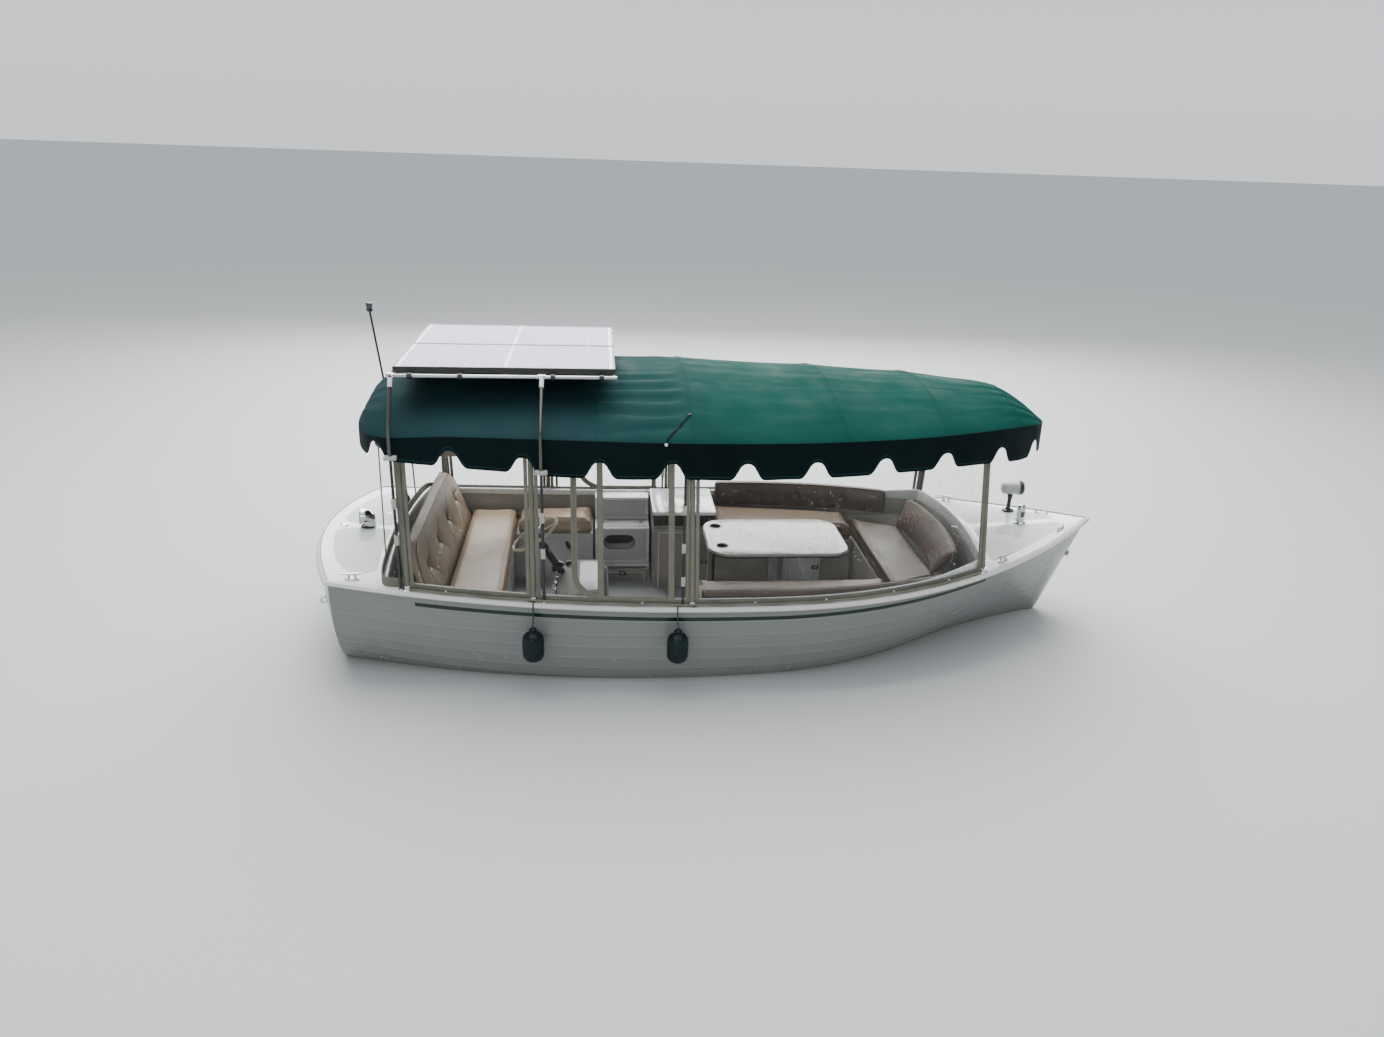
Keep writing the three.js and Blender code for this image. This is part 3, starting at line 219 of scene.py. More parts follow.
def bevelEdges(piece, width, segments=3, degrees=30):
    cut = piece.modifiers.new("edges", "BEVEL")
    cut.width = width
    cut.segments = segments
    cut.limit_method = "ANGLE"
    cut.angle_limit = math.radians(degrees)


def smoothByAngle(piece, degrees):
    pick(piece)
    bpy.ops.object.shade_smooth_by_angle(angle=math.radians(degrees))


def cleanMesh(piece, distance=1e-5, degrees=None):
    # Merges points, turns the faces out and, when degrees are given, smooths below that angle
    mesh = bmesh.new()
    mesh.from_mesh(piece.data)
    bmesh.ops.remove_doubles(mesh, verts=mesh.verts, dist=distance)
    bmesh.ops.dissolve_degenerate(mesh, edges=mesh.edges, dist=distance)
    bmesh.ops.recalc_face_normals(mesh, faces=mesh.faces)
    mesh.to_mesh(piece.data)
    mesh.free()
    piece.data.update()
    if degrees:
        smoothByAngle(piece, degrees)


def meshPiece(name, points, faces):
    mesh = bpy.data.meshes.new(name)
    mesh.from_pydata([tuple(p) for p in points], [], faces)
    mesh.update()
    piece = bpy.data.objects.new(name, mesh)
    scene.collection.objects.link(piece)
    return piece


def gridPiece(name, rows, loopRows=False, loopColumns=False, caps=False, uv=None):
    count, width = len(rows), len(rows[0])
    points = [p for row in rows for p in row]
    faces = []
    for i in range(count if loopRows else count - 1):
        for j in range(width if loopColumns else width - 1):
            i2, j2 = (i + 1) % count, (j + 1) % width
            faces.append((i * width + j, i * width + j2, i2 * width + j2, i2 * width + j))
    if caps:
        faces.append(tuple(range(width)))
        faces.append(tuple((count - 1) * width + j for j in reversed(range(width))))
    piece = meshPiece(name, points, faces)
    if uv:
        layer = piece.data.uv_layers.new(name="UVMap")
        for loop in piece.data.loops:
            i, j = divmod(loop.vertex_index, width)
            layer.data[loop.index].uv = uv[i][j]
    return piece


def loopNormals(path):
    # Outward in plan, at each point of a closed path
    ends = zip(path[-1:] + path[:-1], path[1:] + path[:1])
    return [Vector((b[1] - a[1], a[0] - b[0])).normalized() for a, b in ends]


def ringPiece(name, path, profiles, degrees):
    # Each point's profile holds (outward, up) rows
    rows = [[(x + out.x * u, y + out.y * u, z + v) for u, v in profile]
        for (x, y, z), out, profile in zip(path, loopNormals(path), profiles)]
    piece = gridPiece(name, rows, loopRows=True, loopColumns=True)
    cleanMesh(piece, degrees=degrees)
    return piece


def surfaceOut(surface, u, t):
    step = 0.01
    return (surface(u + step, t) - surface(u - step, t)).cross(surface(u, t + step) - surface(u, t - step))


def smoothLine(points, steps):
    # Catmull-Rom line through the points
    line = []
    last = len(points) - 1
    for i in range(last):
        p0, p1, p2, p3 = (Vector(points[k]) for k in (max(i - 1, 0), i, i + 1, min(i + 2, last)))
        for k in range(steps):
            t = k / steps
            line.append(0.5 * (2 * p1 + (p2 - p0) * t + (2 * p0 - 5 * p1 + 4 * p2 - p3) * t * t
                + (3 * p1 - p0 - 3 * p2 + p3) * t**3))
    line.append(Vector(points[-1]))
    return line


def pipePiece(name, points, radius, sides=12, smooth=0, closed=False):
    line = smoothLine(points, smooth) if smooth else [Vector(p) for p in points]
    rows = []
    count = len(line)
    guide = None
    for i, point in enumerate(line):
        ahead = line[(i + 1) % count] if closed else line[min(i + 1, count - 1)]
        behind = line[i - 1] if closed else line[max(i - 1, 0)]
        run = (ahead - behind).normalized()
        if guide is None:
            guide = run.orthogonal().normalized()
        guide = (guide - run * guide.dot(run)).normalized()
        other = run.cross(guide)
        size = radius[i] if isinstance(radius, (list, tuple)) else radius
        rows.append([point + (guide * math.cos(a) + other * math.sin(a)) * size
            for a in (2 * math.pi * k / sides for k in range(sides))])
    piece = gridPiece(name, rows, loopRows=closed, loopColumns=True, caps=not closed)
    cleanMesh(piece, degrees=50)
    return piece


def turnedPiece(name, profile, place, axis=(0, 0, 1), steps=32, angle=35):
    # Profile rows are (radius, height); the outline is spun about the axis through the place
    deselect()
    bpy.ops.mesh.primitive_plane_add(size=0.01, location=(0, 0, 0))
    piece = bpy.context.object
    piece.name = name
    bpy.ops.object.mode_set(mode="EDIT")
    mesh = bmesh.from_edit_mesh(piece.data)
    bmesh.ops.delete(mesh, geom=list(mesh.verts), context="VERTS")
    line = [mesh.verts.new((r, 0, z)) for r, z in profile]
    for a, b in zip(line, line[1:]):
        mesh.edges.new((a, b))
    bmesh.update_edit_mesh(piece.data)
    bpy.ops.mesh.select_all(action="SELECT")
    bpy.ops.mesh.spin(steps=steps, angle=2 * math.pi, center=(0, 0, 0), axis=(0, 0, 1))
    bpy.ops.mesh.select_all(action="SELECT")
    bpy.ops.mesh.remove_doubles(threshold=1e-5)
    bpy.ops.mesh.normals_make_consistent(inside=False)
    bpy.ops.object.mode_set(mode="OBJECT")
    turn = Vector((0, 0, 1)).rotation_difference(Vector(axis)).to_matrix().to_4x4()
    piece.data.transform(Matrix.Translation(place) @ turn)
    cleanMesh(piece)
    smoothByAngle(piece, angle)
    return piece


def blockPiece(name, low, high, bevel, segments=3):
    deselect()
    size = [b - a for a, b in zip(low, high)]
    bpy.ops.mesh.primitive_cube_add(size=1, location=[(a + b) / 2 for a, b in zip(low, high)], scale=size)
    piece = bpy.context.object
    piece.name = name
    bpy.ops.object.transform_apply(location=True, rotation=True, scale=True)
    bevelEdges(piece, bevel, segments)
    applyModifiers(piece)
    smoothByAngle(piece, 40)
    return piece


def slabPiece(name, outline, low, high, bevel, segments=3, side=False):
    # Outline rows are (x, y), or (x, z) when side is set and low and high are y
    count = len(outline)
    points = []
    for level in (low, high):
        points += [(u, level, v) if side else (u, v, level) for u, v in outline]
    faces = [tuple(range(count))[::-1], tuple(range(count, 2 * count))]
    faces += [(i, (i + 1) % count, count + (i + 1) % count, count + i) for i in range(count)]
    piece = meshPiece(name, points, faces)
    cleanMesh(piece)
    if bevel:
        bevelEdges(piece, bevel, segments, 40)
        applyModifiers(piece)
    smoothByAngle(piece, 40)
    return piece


def roundRect(x0, x1, y0, y1, radius, steps=6):
    rows = []
    for cx, cy, quarter in ((x1 - radius, y1 - radius, 0), (x0 + radius, y1 - radius, 1),
        (x0 + radius, y0 + radius, 2), (x1 - radius, y0 + radius, 3)):
        for i in range(steps + 1):
            a = (quarter + i / steps) * math.pi / 2
            rows.append((cx + radius * math.cos(a), cy + radius * math.sin(a)))
    return rows


def joinPieces(name, pieces):
    deselect()
    for piece in pieces:
        piece.select_set(True)
    bpy.context.view_layer.objects.active = pieces[0]
    bpy.ops.object.join()
    pieces[0].name = name
    return pieces[0]


def dress(piece, look, body="boat"):
    piece.data.materials.clear()
    piece.data.materials.append(finish[look])
    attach(piece, body)
    return piece


# Materials
class Shader:
    def __init__(self, name, roughness, metallic=0.0, coat=0.0, gloss=0.5):
        self.material = bpy.data.materials.new(name)
        self.material.use_nodes = True
        self.tree = self.material.node_tree
        self.main = self.tree.nodes["Principled BSDF"]
        self.main.inputs["Roughness"].default_value = roughness
        self.main.inputs["Metallic"].default_value = metallic
        self.main.inputs["Coat Weight"].default_value = coat
        self.main.inputs["Specular IOR Level"].default_value = gloss
        self.place = None

    def node(self, kind, inputs=None, **options):
        made = self.tree.nodes.new(kind)
        for key, value in options.items():
            setattr(made, key, value)
        for key, value in (inputs or {}).items():
            self.feed(made, key, value)
        return made

    def feed(self, node, key, value):
        if isinstance(value, bpy.types.NodeSocket):
            self.tree.links.new(value, node.inputs[key])
        else:
            node.inputs[key].default_value = value

    def spot(self, stretch=(1, 1, 1), turn=(0, 0, 0)):
        if self.place is None:
            self.place = self.node("ShaderNodeTexCoord").outputs["Object"]
        return self.node("ShaderNodeMapping", {"Vector": self.place, "Scale": stretch,
            "Rotation": turn}).outputs[0]

    def uv(self):
        return self.node("ShaderNodeUVMap", uv_map="UVMap").outputs[0]

    def noise(self, scale, detail=3.0, rough=0.5, vector=None):
        return self.node("ShaderNodeTexNoise", {"Vector": vector or self.spot(), "Scale": scale,
            "Detail": detail, "Roughness": rough}).outputs["Fac"]

    def math(self, kind, a, b=0.0):
        return self.node("ShaderNodeMath", {0: a, 1: b}, operation=kind).outputs[0]

    def add(self, a, b):
        return self.math("ADD", a, b)

    def less(self, a, b):
        return self.math("SUBTRACT", a, b)

    def times(self, a, b):
        return self.math("MULTIPLY", a, b)

    def above(self, a, b):
        return self.math("GREATER_THAN", a, b)

    def below(self, a, b):
        return self.math("LESS_THAN", a, b)

    def size(self, a):
        return self.math("ABSOLUTE", a)

    def split(self, vector):
        return self.node("ShaderNodeSeparateXYZ", {0: vector}).outputs

    def attribute(self, name):
        return self.node("ShaderNodeAttribute", attribute_name=name).outputs["Fac"]

    def cells(self, scale, stretch=(1, 1, 1)):
        return self.node("ShaderNodeTexVoronoi", {"Vector": self.spot(stretch),
            "Scale": scale}).outputs["Distance"]

    def drops(self, scale, reach, patches, share, stretch=(1, 1, 1)):
        # Water drops in patches: reach holds the distances of a drop's full height and its edge
        return self.times(self.range(self.cells(scale, stretch), *reach, 1.0, 0.0),
            self.above(self.noise(*patches), share))

    def range(self, value, low, high, toLow=0.0, toHigh=1.0):
        return self.node("ShaderNodeMapRange", {"Value": value, "From Min": low, "From Max": high,
            "To Min": toLow, "To Max": toHigh}).outputs[0]

    def mix(self, factor, a, b):
        made = self.node("ShaderNodeMix", data_type="RGBA")
        for socket, value in ((made.inputs[0], factor), (made.inputs[6], a), (made.inputs[7], b)):
            if isinstance(value, bpy.types.NodeSocket):
                self.tree.links.new(value, socket)
            elif isinstance(value, (int, float)):
                socket.default_value = value
            else:
                socket.default_value = (*value, 1)
        return made.outputs[2]

    def bump(self, height, strength, distance, under=None):
        made = self.node("ShaderNodeBump", {"Strength": strength, "Distance": distance, "Height": height})
        if under is not None:
            self.tree.links.new(under, made.inputs["Normal"])
        return made.outputs[0]

    def done(self, colour=None, roughness=None, normal=None, alpha=None):
        for key, value in (("Base Color", colour), ("Roughness", roughness), ("Normal", normal),
            ("Alpha", alpha)):
            if value is None:
                continue
            if isinstance(value, (tuple, list)):
                value = (*value, 1)
            self.feed(self.main, key, value)
        return self.material


def gelcoatMaterial(name, light, dark, roughness=0.22):
    s = Shader(name, roughness, coat=0.35)
    stain = s.range(s.noise(1.7, 5, 0.6), 0.35, 0.7)
    streak = s.range(s.noise(9, 4, 0.6, s.spot((1.6, 1.6, 0.25))), 0.45, 0.75)
    colour = s.mix(s.times(s.add(stain, streak), 0.5), light, dark)
    rough = s.range(s.noise(30, 4), 0.3, 0.7, roughness - 0.05, roughness + 0.12)
    return s.done(colour, rough, s.bump(s.noise(55, 2), 0.06, 0.0006))


def hullMaterial():
    # UV u runs along the boat and v is the drop below the sheer
    s = Shader("hullGelcoat", 0.24, coat=0.12, gloss=0.35)
    split = s.split(s.uv())
    u, v = split[0], split[1]
    off = s.size(s.less(v, s.range(u, 0.3, 1.6, 0.079, 0.058)))
    band = s.below(off, 0.0125)
    band = s.times(band, s.above(u, -1.982))
    band = s.times(band, s.below(u, 1.70))
    stain = s.range(s.noise(1.5, 3, 0.5), 0.25, 0.75)
    streak = s.range(s.noise(8, 2, 0.4, s.spot((1.2, 1.2, 0.22))), 0.2, 0.8)
    # Painted shade: the hull's white gelcoat gets a mid grey body colour that stands for the shade on its
    # sides; stain and streak only vary it
    body = s.mix(s.times(s.add(stain, streak), 0.5), (0.20, 0.212, 0.208), (0.182, 0.194, 0.19))
    # Painted reflection: over the last few centimetres above the waterline the hull is mixed towards a dark
    # green, standing for green reflected in its low sides
    height = s.split(s.spot())[2]
    wet = s.add(height, s.times(s.noise(3, 4), -0.05))
    lowGreenReflection = s.range(wet, -0.02, 0.05, 1.0, 0.0)
    body = s.mix(s.times(lowGreenReflection, 0.6), body, (0.17, 0.19, 0.13))
    body = s.mix(s.below(height, -0.012), body, (0.030, 0.045, 0.05))
    # Painted shadow and highlight at the plank laps: the lap steps (seam 1) are darkened as the shadow under
    # each lap, and the row above them (seam -1) is lightened as the plank's lit lower edge
    seam = s.attribute("seam")
    body = s.mix(s.range(seam, 0, 1, 0.0, 0.8), body, (0.05, 0.055, 0.052))
    body = s.mix(s.range(seam, -1, 0, 0.7, 0.0), body, (0.42, 0.43, 0.41))
    colour = s.mix(band, body, (0.0012, 0.015, 0.011))
    rough = s.range(s.noise(6, 4), 0.3, 0.7, 0.2, 0.28)
    return s.done(colour, rough, s.bump(s.noise(40, 2), 0.03, 0.0004))


def deckMaterial():
    # The attribute grip is the distance inside a non-skid panel, in metres
    s = Shader("deckGelcoat", 0.3, coat=0.25)
    grip = s.attribute("grip")
    panel = s.range(grip, -0.0008, 0.0008)
    stain = s.range(s.noise(2.4, 5, 0.6), 0.35, 0.7)
    white = s.mix(stain, (0.80, 0.82, 0.82), (0.70, 0.72, 0.71))
    grey = s.mix(stain, (0.60, 0.63, 0.64), (0.50, 0.53, 0.54))
    studs = s.cells(210)
    bumps = s.times(s.range(studs, 0.1, 0.55, 1.0, 0.0), panel)
    drops = s.drops(60, (0.08, 0.2), (14, 2), 0.56)
    height = s.add(s.times(panel, 1.2), s.add(bumps, s.times(drops, 0.8)))
    rough = s.range(panel, 0, 1, 0.24, 0.62)
    edge = s.below(s.size(s.add(grip, 0.001)), 0.0022)
    colour = s.mix(s.times(edge, 0.6), s.mix(panel, white, grey), (0.20, 0.21, 0.215))
    return s.done(colour, rough, s.bump(height, 0.5, 0.0009))


def weaveHeight(s, vector, scale):
    split = s.split(vector)
    a = s.math("SINE", s.times(split[0], scale))
    b = s.math("SINE", s.times(split[1], scale))
    return s.times(s.add(a, b), 0.5)


def canvasMaterial(name, light, dark, fade=None, hem=False, wet=0.0, shade=None):
    # UV in metres; on the valance v is the height over the lower edge
    s = Shader(name, 0.75, gloss=0.03)
    weave = weaveHeight(s, s.uv(), 3900.0)
    patch = s.range(s.noise(1.3, 5, 0.6), 0.3, 0.72)
    fine = s.range(s.noise(60, 5, 0.7, s.spot((1, 0.35, 1))), 0.3, 0.7)
    colour = s.mix(s.add(s.times(patch, 0.75), s.times(fine, 0.25)), light, dark)
    if fade:
        faded = s.range(s.noise(0.9, 4, 0.6, s.spot((0.5, 1.2, 1))), 0.5, 0.75)
        colour = s.mix(s.times(faded, 0.35), colour, fade)
    height = s.times(weave, 0.25)
    # Painted shade: towards the stern, under the solar modules, the cloth is mixed towards the darker
    # grey-blue shade colour
    if shade:
        x = s.split(s.spot())[0]
        x = s.add(x, s.times(s.noise(2.2, 4, 0.6), 0.35))
        colour = s.mix(s.times(s.range(x, -0.85, 0.15, 1.0, 0.0), 0.72), colour, shade)
    if hem:
        v = s.split(s.uv())[1]
        u = s.split(s.uv())[0]
        line = s.below(s.size(s.less(v, 0.016)), 0.0008)
        stitch = s.times(line, s.above(s.math("SINE", s.times(u, 1600.0)), -0.3))
        colour = s.mix(stitch, colour, (0.06, 0.16, 0.13))
        height = s.add(height, s.times(s.range(v, 0.017, 0.020, 1.0, 0.0), 1.5))
        height = s.less(height, s.times(stitch, 0.8))
    soft = s.bump(s.noise(11, 4, 0.6, s.spot((0.5, 1.6, 1.6))), 0.35, 0.006)
    normal = s.bump(height, 0.35, 0.0006, soft)
    rough = s.range(s.noise(5, 4), 0.35, 0.7, 0.62 - wet, 0.85 - wet)
    return s.done(colour, rough, normal)


def webbingMaterial():
    s = Shader("khakiCanvas", 0.8, gloss=0.3)
    split = s.split(s.spot())
    a = s.math("SINE", s.times(s.add(split[0], split[1]), 2600.0))
    b = s.math("SINE", s.times(split[2], 2600.0))
    patch = s.range(s.noise(6, 5, 0.65), 0.3, 0.72)
    speck = s.range(s.noise(160, 3, 0.6), 0.55, 0.72)
    colour = s.mix(patch, (0.185, 0.185, 0.148), (0.125, 0.127, 0.10))
    colour = s.mix(s.times(speck, 0.35), colour, (0.12, 0.115, 0.085))
    soft = s.bump(s.noise(26, 4, 0.6, s.spot((1, 1, 0.4))), 0.35, 0.003)
    return s.done(colour, s.range(patch, 0, 1, 0.7, 0.88), s.bump(s.times(a, b), 0.3, 0.0006, soft))


def vinylMaterial():
    s = Shader("clearVinyl", 0.06, coat=0.3)
    s.main.inputs["IOR"].default_value = 1.38
    cells = s.node("ShaderNodeTexVoronoi", {"Vector": s.spot((1, 1, 0.8)), "Scale": 70.0})
    drop = s.range(cells.outputs["Distance"], 0.11, 0.24, 1.0, 0.0)
    where = s.above(s.noise(7, 3), 0.5)
    x = s.split(s.spot())[0]
    dry = s.range(x, 0.2, 1.3, 0.70, 0.30)
    lucky = s.above(s.node("ShaderNodeSeparateColor", {0: cells.outputs["Color"]}).outputs[0], dry)
    drop = s.times(drop, s.times(where, lucky))
    run = s.range(s.noise(5, 4, 0.6, s.spot((6, 6, 0.7))), 0.55, 0.8)
    haze = s.add(s.range(x, 0.3, 1.5, 0.008, 0.03), s.times(run, 0.025))
    alpha = s.math("MINIMUM", s.add(haze, s.times(drop, 0.6)), 1.0)
    wave = s.bump(s.noise(3.2, 2), 0.5, 0.01)
    return s.done((0.62, 0.65, 0.66), s.range(drop, 0, 1, 0.05, 0.12), s.bump(drop, 0.8, 0.0012, wave), alpha)


def upholsteryMaterial(name, light, dark, wear, shine=0.42):
    s = Shader(name, shine, gloss=0.3)
    cells = s.node("ShaderNodeTexVoronoi", {"Vector": s.spot(), "Scale": 420.0},
        feature="DISTANCE_TO_EDGE").outputs[0]
    grain = s.math("MINIMUM", s.times(cells, 6.0), 1.0)
    patch = s.range(s.noise(3.5, 5, 0.6), 0.3, 0.75)
    fine = s.range(s.noise(45, 5, 0.65), 0.35, 0.7)
    colour = s.mix(s.add(s.times(patch, 0.7), s.times(fine, 0.3)), light, dark)
    up = s.node("ShaderNodeNewGeometry").outputs["Pointiness"]
    colour = s.mix(s.times(s.range(up, 0.52, 0.6), 0.5), colour, wear)
    drops = s.drops(110, (0.08, 0.2), (9, 3), 0.60)
    height = s.add(s.times(grain, 0.5), s.times(drops, 1.2))
    soft = s.bump(s.noise(14, 3), 0.15, 0.004)
    rough = s.range(patch, 0, 1, shine - 0.08, shine + 0.1)
    rough = s.less(rough, s.times(drops, 0.25))
    return s.done(colour, rough, s.bump(height, 0.3, 0.0005, soft))


def plasticMaterial(name, light, dark, roughness, grain, strength, coat=0.0, gloss=0.5):
    s = Shader(name, roughness, coat=coat, gloss=gloss)
    patch = s.range(s.noise(4, 5, 0.6), 0.3, 0.72)
    pebble = s.cells(grain)
    scuff = s.range(s.noise(22, 6, 0.75), 0.58, 0.75)
    colour = s.mix(patch, light, dark)
    colour = s.mix(s.times(scuff, 0.25), colour, [min(c * 1.6, 1) for c in light])
    rough = s.range(s.noise(30, 3), 0.3, 0.7, max(roughness - 0.08, 0.03), roughness + 0.1)
    return s.done(colour, rough, s.bump(pebble, strength, 0.0005))


def metalMaterial(name, colour, roughness, brushed=0.0, tint=None):
    s = Shader(name, roughness, 1.0)
    smudge = s.range(s.noise(9, 5, 0.65), 0.35, 0.75)
    lines = s.noise(60, 3, 0.6, s.spot((8, 8, 1)))
    rough = s.range(smudge, 0, 1, roughness, roughness + 0.15)
    shade = s.mix(smudge, colour, tint or [c * 0.82 for c in colour])
    return s.done(shade, rough, s.bump(lines, 0.05 + brushed, 0.0004))


def cellMaterial():
    # Cells under glass with drops on it, pale strips at the middle and ends
    # UV in metres from the module's middle
    s = Shader("solarCells", 0.12, coat=0.04, gloss=0.16)
    split = s.split(s.uv())
    gaps = []
    for axis in (0, 1):
        f = s.math("FRACT", s.math("DIVIDE", s.add(split[axis], 20 * 0.159), 0.159))
        gaps.append(s.below(s.math("MINIMUM", f, s.less(1.0, f)), 0.010))
    gap = s.math("MAXIMUM", gaps[0], gaps[1])
    bus = s.below(s.math("FRACT", s.math("DIVIDE", s.add(split[1], 3.18), 0.053)), 0.035)
    patch = s.range(s.noise(9, 3), 0.35, 0.7)
    # Painted reflection: the cells' pale lavender grey stands for sky reflected on the glass
    cell = s.mix(patch, (0.285, 0.30, 0.43), (0.245, 0.26, 0.38))
    cell = s.mix(s.times(bus, 0.25), cell, (0.6, 0.62, 0.66))
    cell = s.mix(s.times(gap, 0.45), cell, (0.62, 0.64, 0.68))
    middle = s.below(s.size(split[0]), 0.011)
    ends = s.above(s.size(split[0]), 0.612)
    cell = s.mix(s.math("MAXIMUM", middle, ends), cell, (0.74, 0.75, 0.76))
    drop = s.drops(30, (0.13, 0.28), (22, 3), 0.44, (0.5, 1.1, 1))
    cell = s.mix(s.times(drop, 0.9), cell, (0.030, 0.034, 0.055))
    return s.done(cell, s.range(drop, 0, 1, 0.34, 0.22), s.bump(drop, 0.4, 0.0012))


def ropeMaterial():
    s = Shader("braidedLine", 0.85)
    split = s.split(s.spot((1, 1, 1), (0, 0.6, 0.4)))
    a = s.math("SINE", s.times(split[2], 2200.0))
    b = s.math("SINE", s.times(s.add(split[0], split[1]), 2600.0))
    twist = s.times(a, b)
    colour = s.mix(s.range(twist, -1, 1), (0.012, 0.014, 0.016), (0.05, 0.055, 0.06))
    return s.done(colour, s.range(s.noise(50, 3), 0.3, 0.7, 0.75, 0.92), s.bump(twist, 0.5, 0.0008))


def buildMaterials():
    return {
        "hull": hullMaterial(),
        "deck": deckMaterial(),
        "coaming": gelcoatMaterial("whiteGelcoat", (0.76, 0.78, 0.77), (0.62, 0.645, 0.63)),
        "rail": gelcoatMaterial("railGelcoat", (0.62, 0.63, 0.59), (0.52, 0.53, 0.50), 0.38),
        "liner": plasticMaterial("linerGrey", (0.50, 0.51, 0.50), (0.40, 0.41, 0.40), 0.42, 260.0, 0.18),
        "sideLiner": plasticMaterial("linerTaupe", (0.30, 0.285, 0.255), (0.22, 0.21, 0.19), 0.6, 200.0,
            0.3),
        "sole": plasticMaterial("nonSkidSole", (0.17, 0.155, 0.14), (0.10, 0.09, 0.08), 0.75, 130.0, 0.9),
        "tan": upholsteryMaterial("tanVinyl", (0.39, 0.285, 0.185), (0.30, 0.218, 0.142),
            (0.46, 0.345, 0.235)),
        # Darker copies of the tan vinyl, as painted shade: on the forward cushions, on the aft backrest and,
        # darkest, on the bow seat
        "tanForeShaded": upholsteryMaterial("tanVinylForeShaded", (0.235, 0.172, 0.118), (0.165, 0.122, 0.084),
            (0.31, 0.235, 0.165)),
        "tanBackShaded": upholsteryMaterial("tanVinylBackShaded", (0.26, 0.195, 0.134), (0.19, 0.143, 0.099),
            (0.34, 0.262, 0.186)),
        "tanBowShaded": upholsteryMaterial("tanVinylBowShaded", (0.10, 0.072, 0.048), (0.066, 0.048, 0.032),
            (0.15, 0.11, 0.077)),
        "tanWelt": upholsteryMaterial("tanPiping", (0.035, 0.028, 0.022), (0.022, 0.018, 0.015),
            (0.06, 0.05, 0.04), 0.5),
        "moduleEdge": plasticMaterial("moduleEdge", (0.72, 0.73, 0.73), (0.60, 0.61, 0.61), 0.35, 260.0,
            0.1),
        "modulePanel": plasticMaterial("modulePanel", (0.50, 0.505, 0.50), (0.40, 0.405, 0.40), 0.5, 230.0,
            0.25),
        "bracket": plasticMaterial("bracketGrey", (0.42, 0.43, 0.40), (0.32, 0.33, 0.30), 0.4, 240.0, 0.12),
        "lampBody": plasticMaterial("lampGrey", (0.46, 0.47, 0.45), (0.34, 0.35, 0.34), 0.3, 260.0, 0.1,
            0.3),
        "lens": plasticMaterial("smokedLens", (0.05, 0.055, 0.06), (0.03, 0.034, 0.038), 0.06, 300.0, 0.02,
            0.8),
        # The side backrests' brown is a darker, greyer copy of the tan vinyl: painted shade
        "brown": upholsteryMaterial("brownVinylShaded", (0.115, 0.085, 0.068), (0.07, 0.052, 0.042),
            (0.2, 0.15, 0.12), 0.36),
        # The bow backrest's gold brown is a darkened copy of the brown vinyl: painted shade, and its strong
        # light and dark mottling is a painted reflection
        "amber": upholsteryMaterial("goldBrownVinylShaded", (0.085, 0.040, 0.014), (0.032, 0.015, 0.007),
            (0.14, 0.075, 0.03), 0.55),
        "cabinet": plasticMaterial("cabinetPanel", (0.34, 0.305, 0.28), (0.25, 0.225, 0.205), 0.45, 220.0,
            0.15),
        "darkBand": plasticMaterial("cabinetBand", (0.05, 0.034, 0.031), (0.03, 0.021, 0.019), 0.4, 200.0,
            0.15),
        "top": plasticMaterial("counterTop", (0.86, 0.87, 0.88), (0.78, 0.79, 0.80), 0.16, 90.0, 0.03, 0.4),
        "table": tableMaterial(),
        # The canopy's shade colour is painted shade under the solar modules
        "canopy": canvasMaterial("canopyGreen", (0.0032, 0.052, 0.042), (0.0022, 0.038, 0.032),
            (0.008, 0.060, 0.051), shade=(0.0145, 0.027, 0.037)),
        # The valance is a far darker green than the canopy top: partly a deeper tone of its own, partly
        # painted shade on the hanging side
        "valance": canvasMaterial("valanceGreenShaded", (0.0046, 0.0120, 0.0140), (0.0031, 0.0080, 0.0098),
            hem=True, wet=0.12),
        "khaki": webbingMaterial(),
        "vinyl": vinylMaterial(),
        "chrome": metalMaterial("chromePlate", (0.66, 0.67, 0.68), 0.07),
        "frame": metalMaterial("frameAlloy", (0.60, 0.61, 0.60), 0.28, 0.12),
        "cells": cellMaterial(),
        "black": plasticMaterial("satinBlack", (0.018, 0.019, 0.021), (0.010, 0.011, 0.012), 0.35, 300.0,
            0.15),
        # Painted reflection: the rack legs' near-black metal colour stands for polished tube reflecting dark
        # surroundings
        "legAlloyDarkReflection": metalMaterial("legAlloyDarkReflection", (0.115, 0.112, 0.10), 0.26, 0.12),
        "white": plasticMaterial("whitePlastic", (0.72, 0.73, 0.72), (0.60, 0.61, 0.60), 0.35, 250.0, 0.1),
        "fender": plasticMaterial("fenderGreen", (0.0008, 0.014, 0.0115), (0.0006, 0.009, 0.0075), 0.30,
            60.0, 0.08, gloss=0.22),
        "rope": ropeMaterial(),
        "bronze": metalMaterial("castBronze", (0.46, 0.31, 0.14), 0.32, 0.1, (0.22, 0.20, 0.11)),
        "bottom": plasticMaterial("bottomPaint", (0.03, 0.042, 0.047), (0.018, 0.026, 0.03), 0.7, 120.0,
            0.25),
        "rim": upholsteryMaterial("wheelRim", (0.52, 0.47, 0.36), (0.42, 0.37, 0.28), (0.6, 0.55, 0.44),
            0.35),
    }


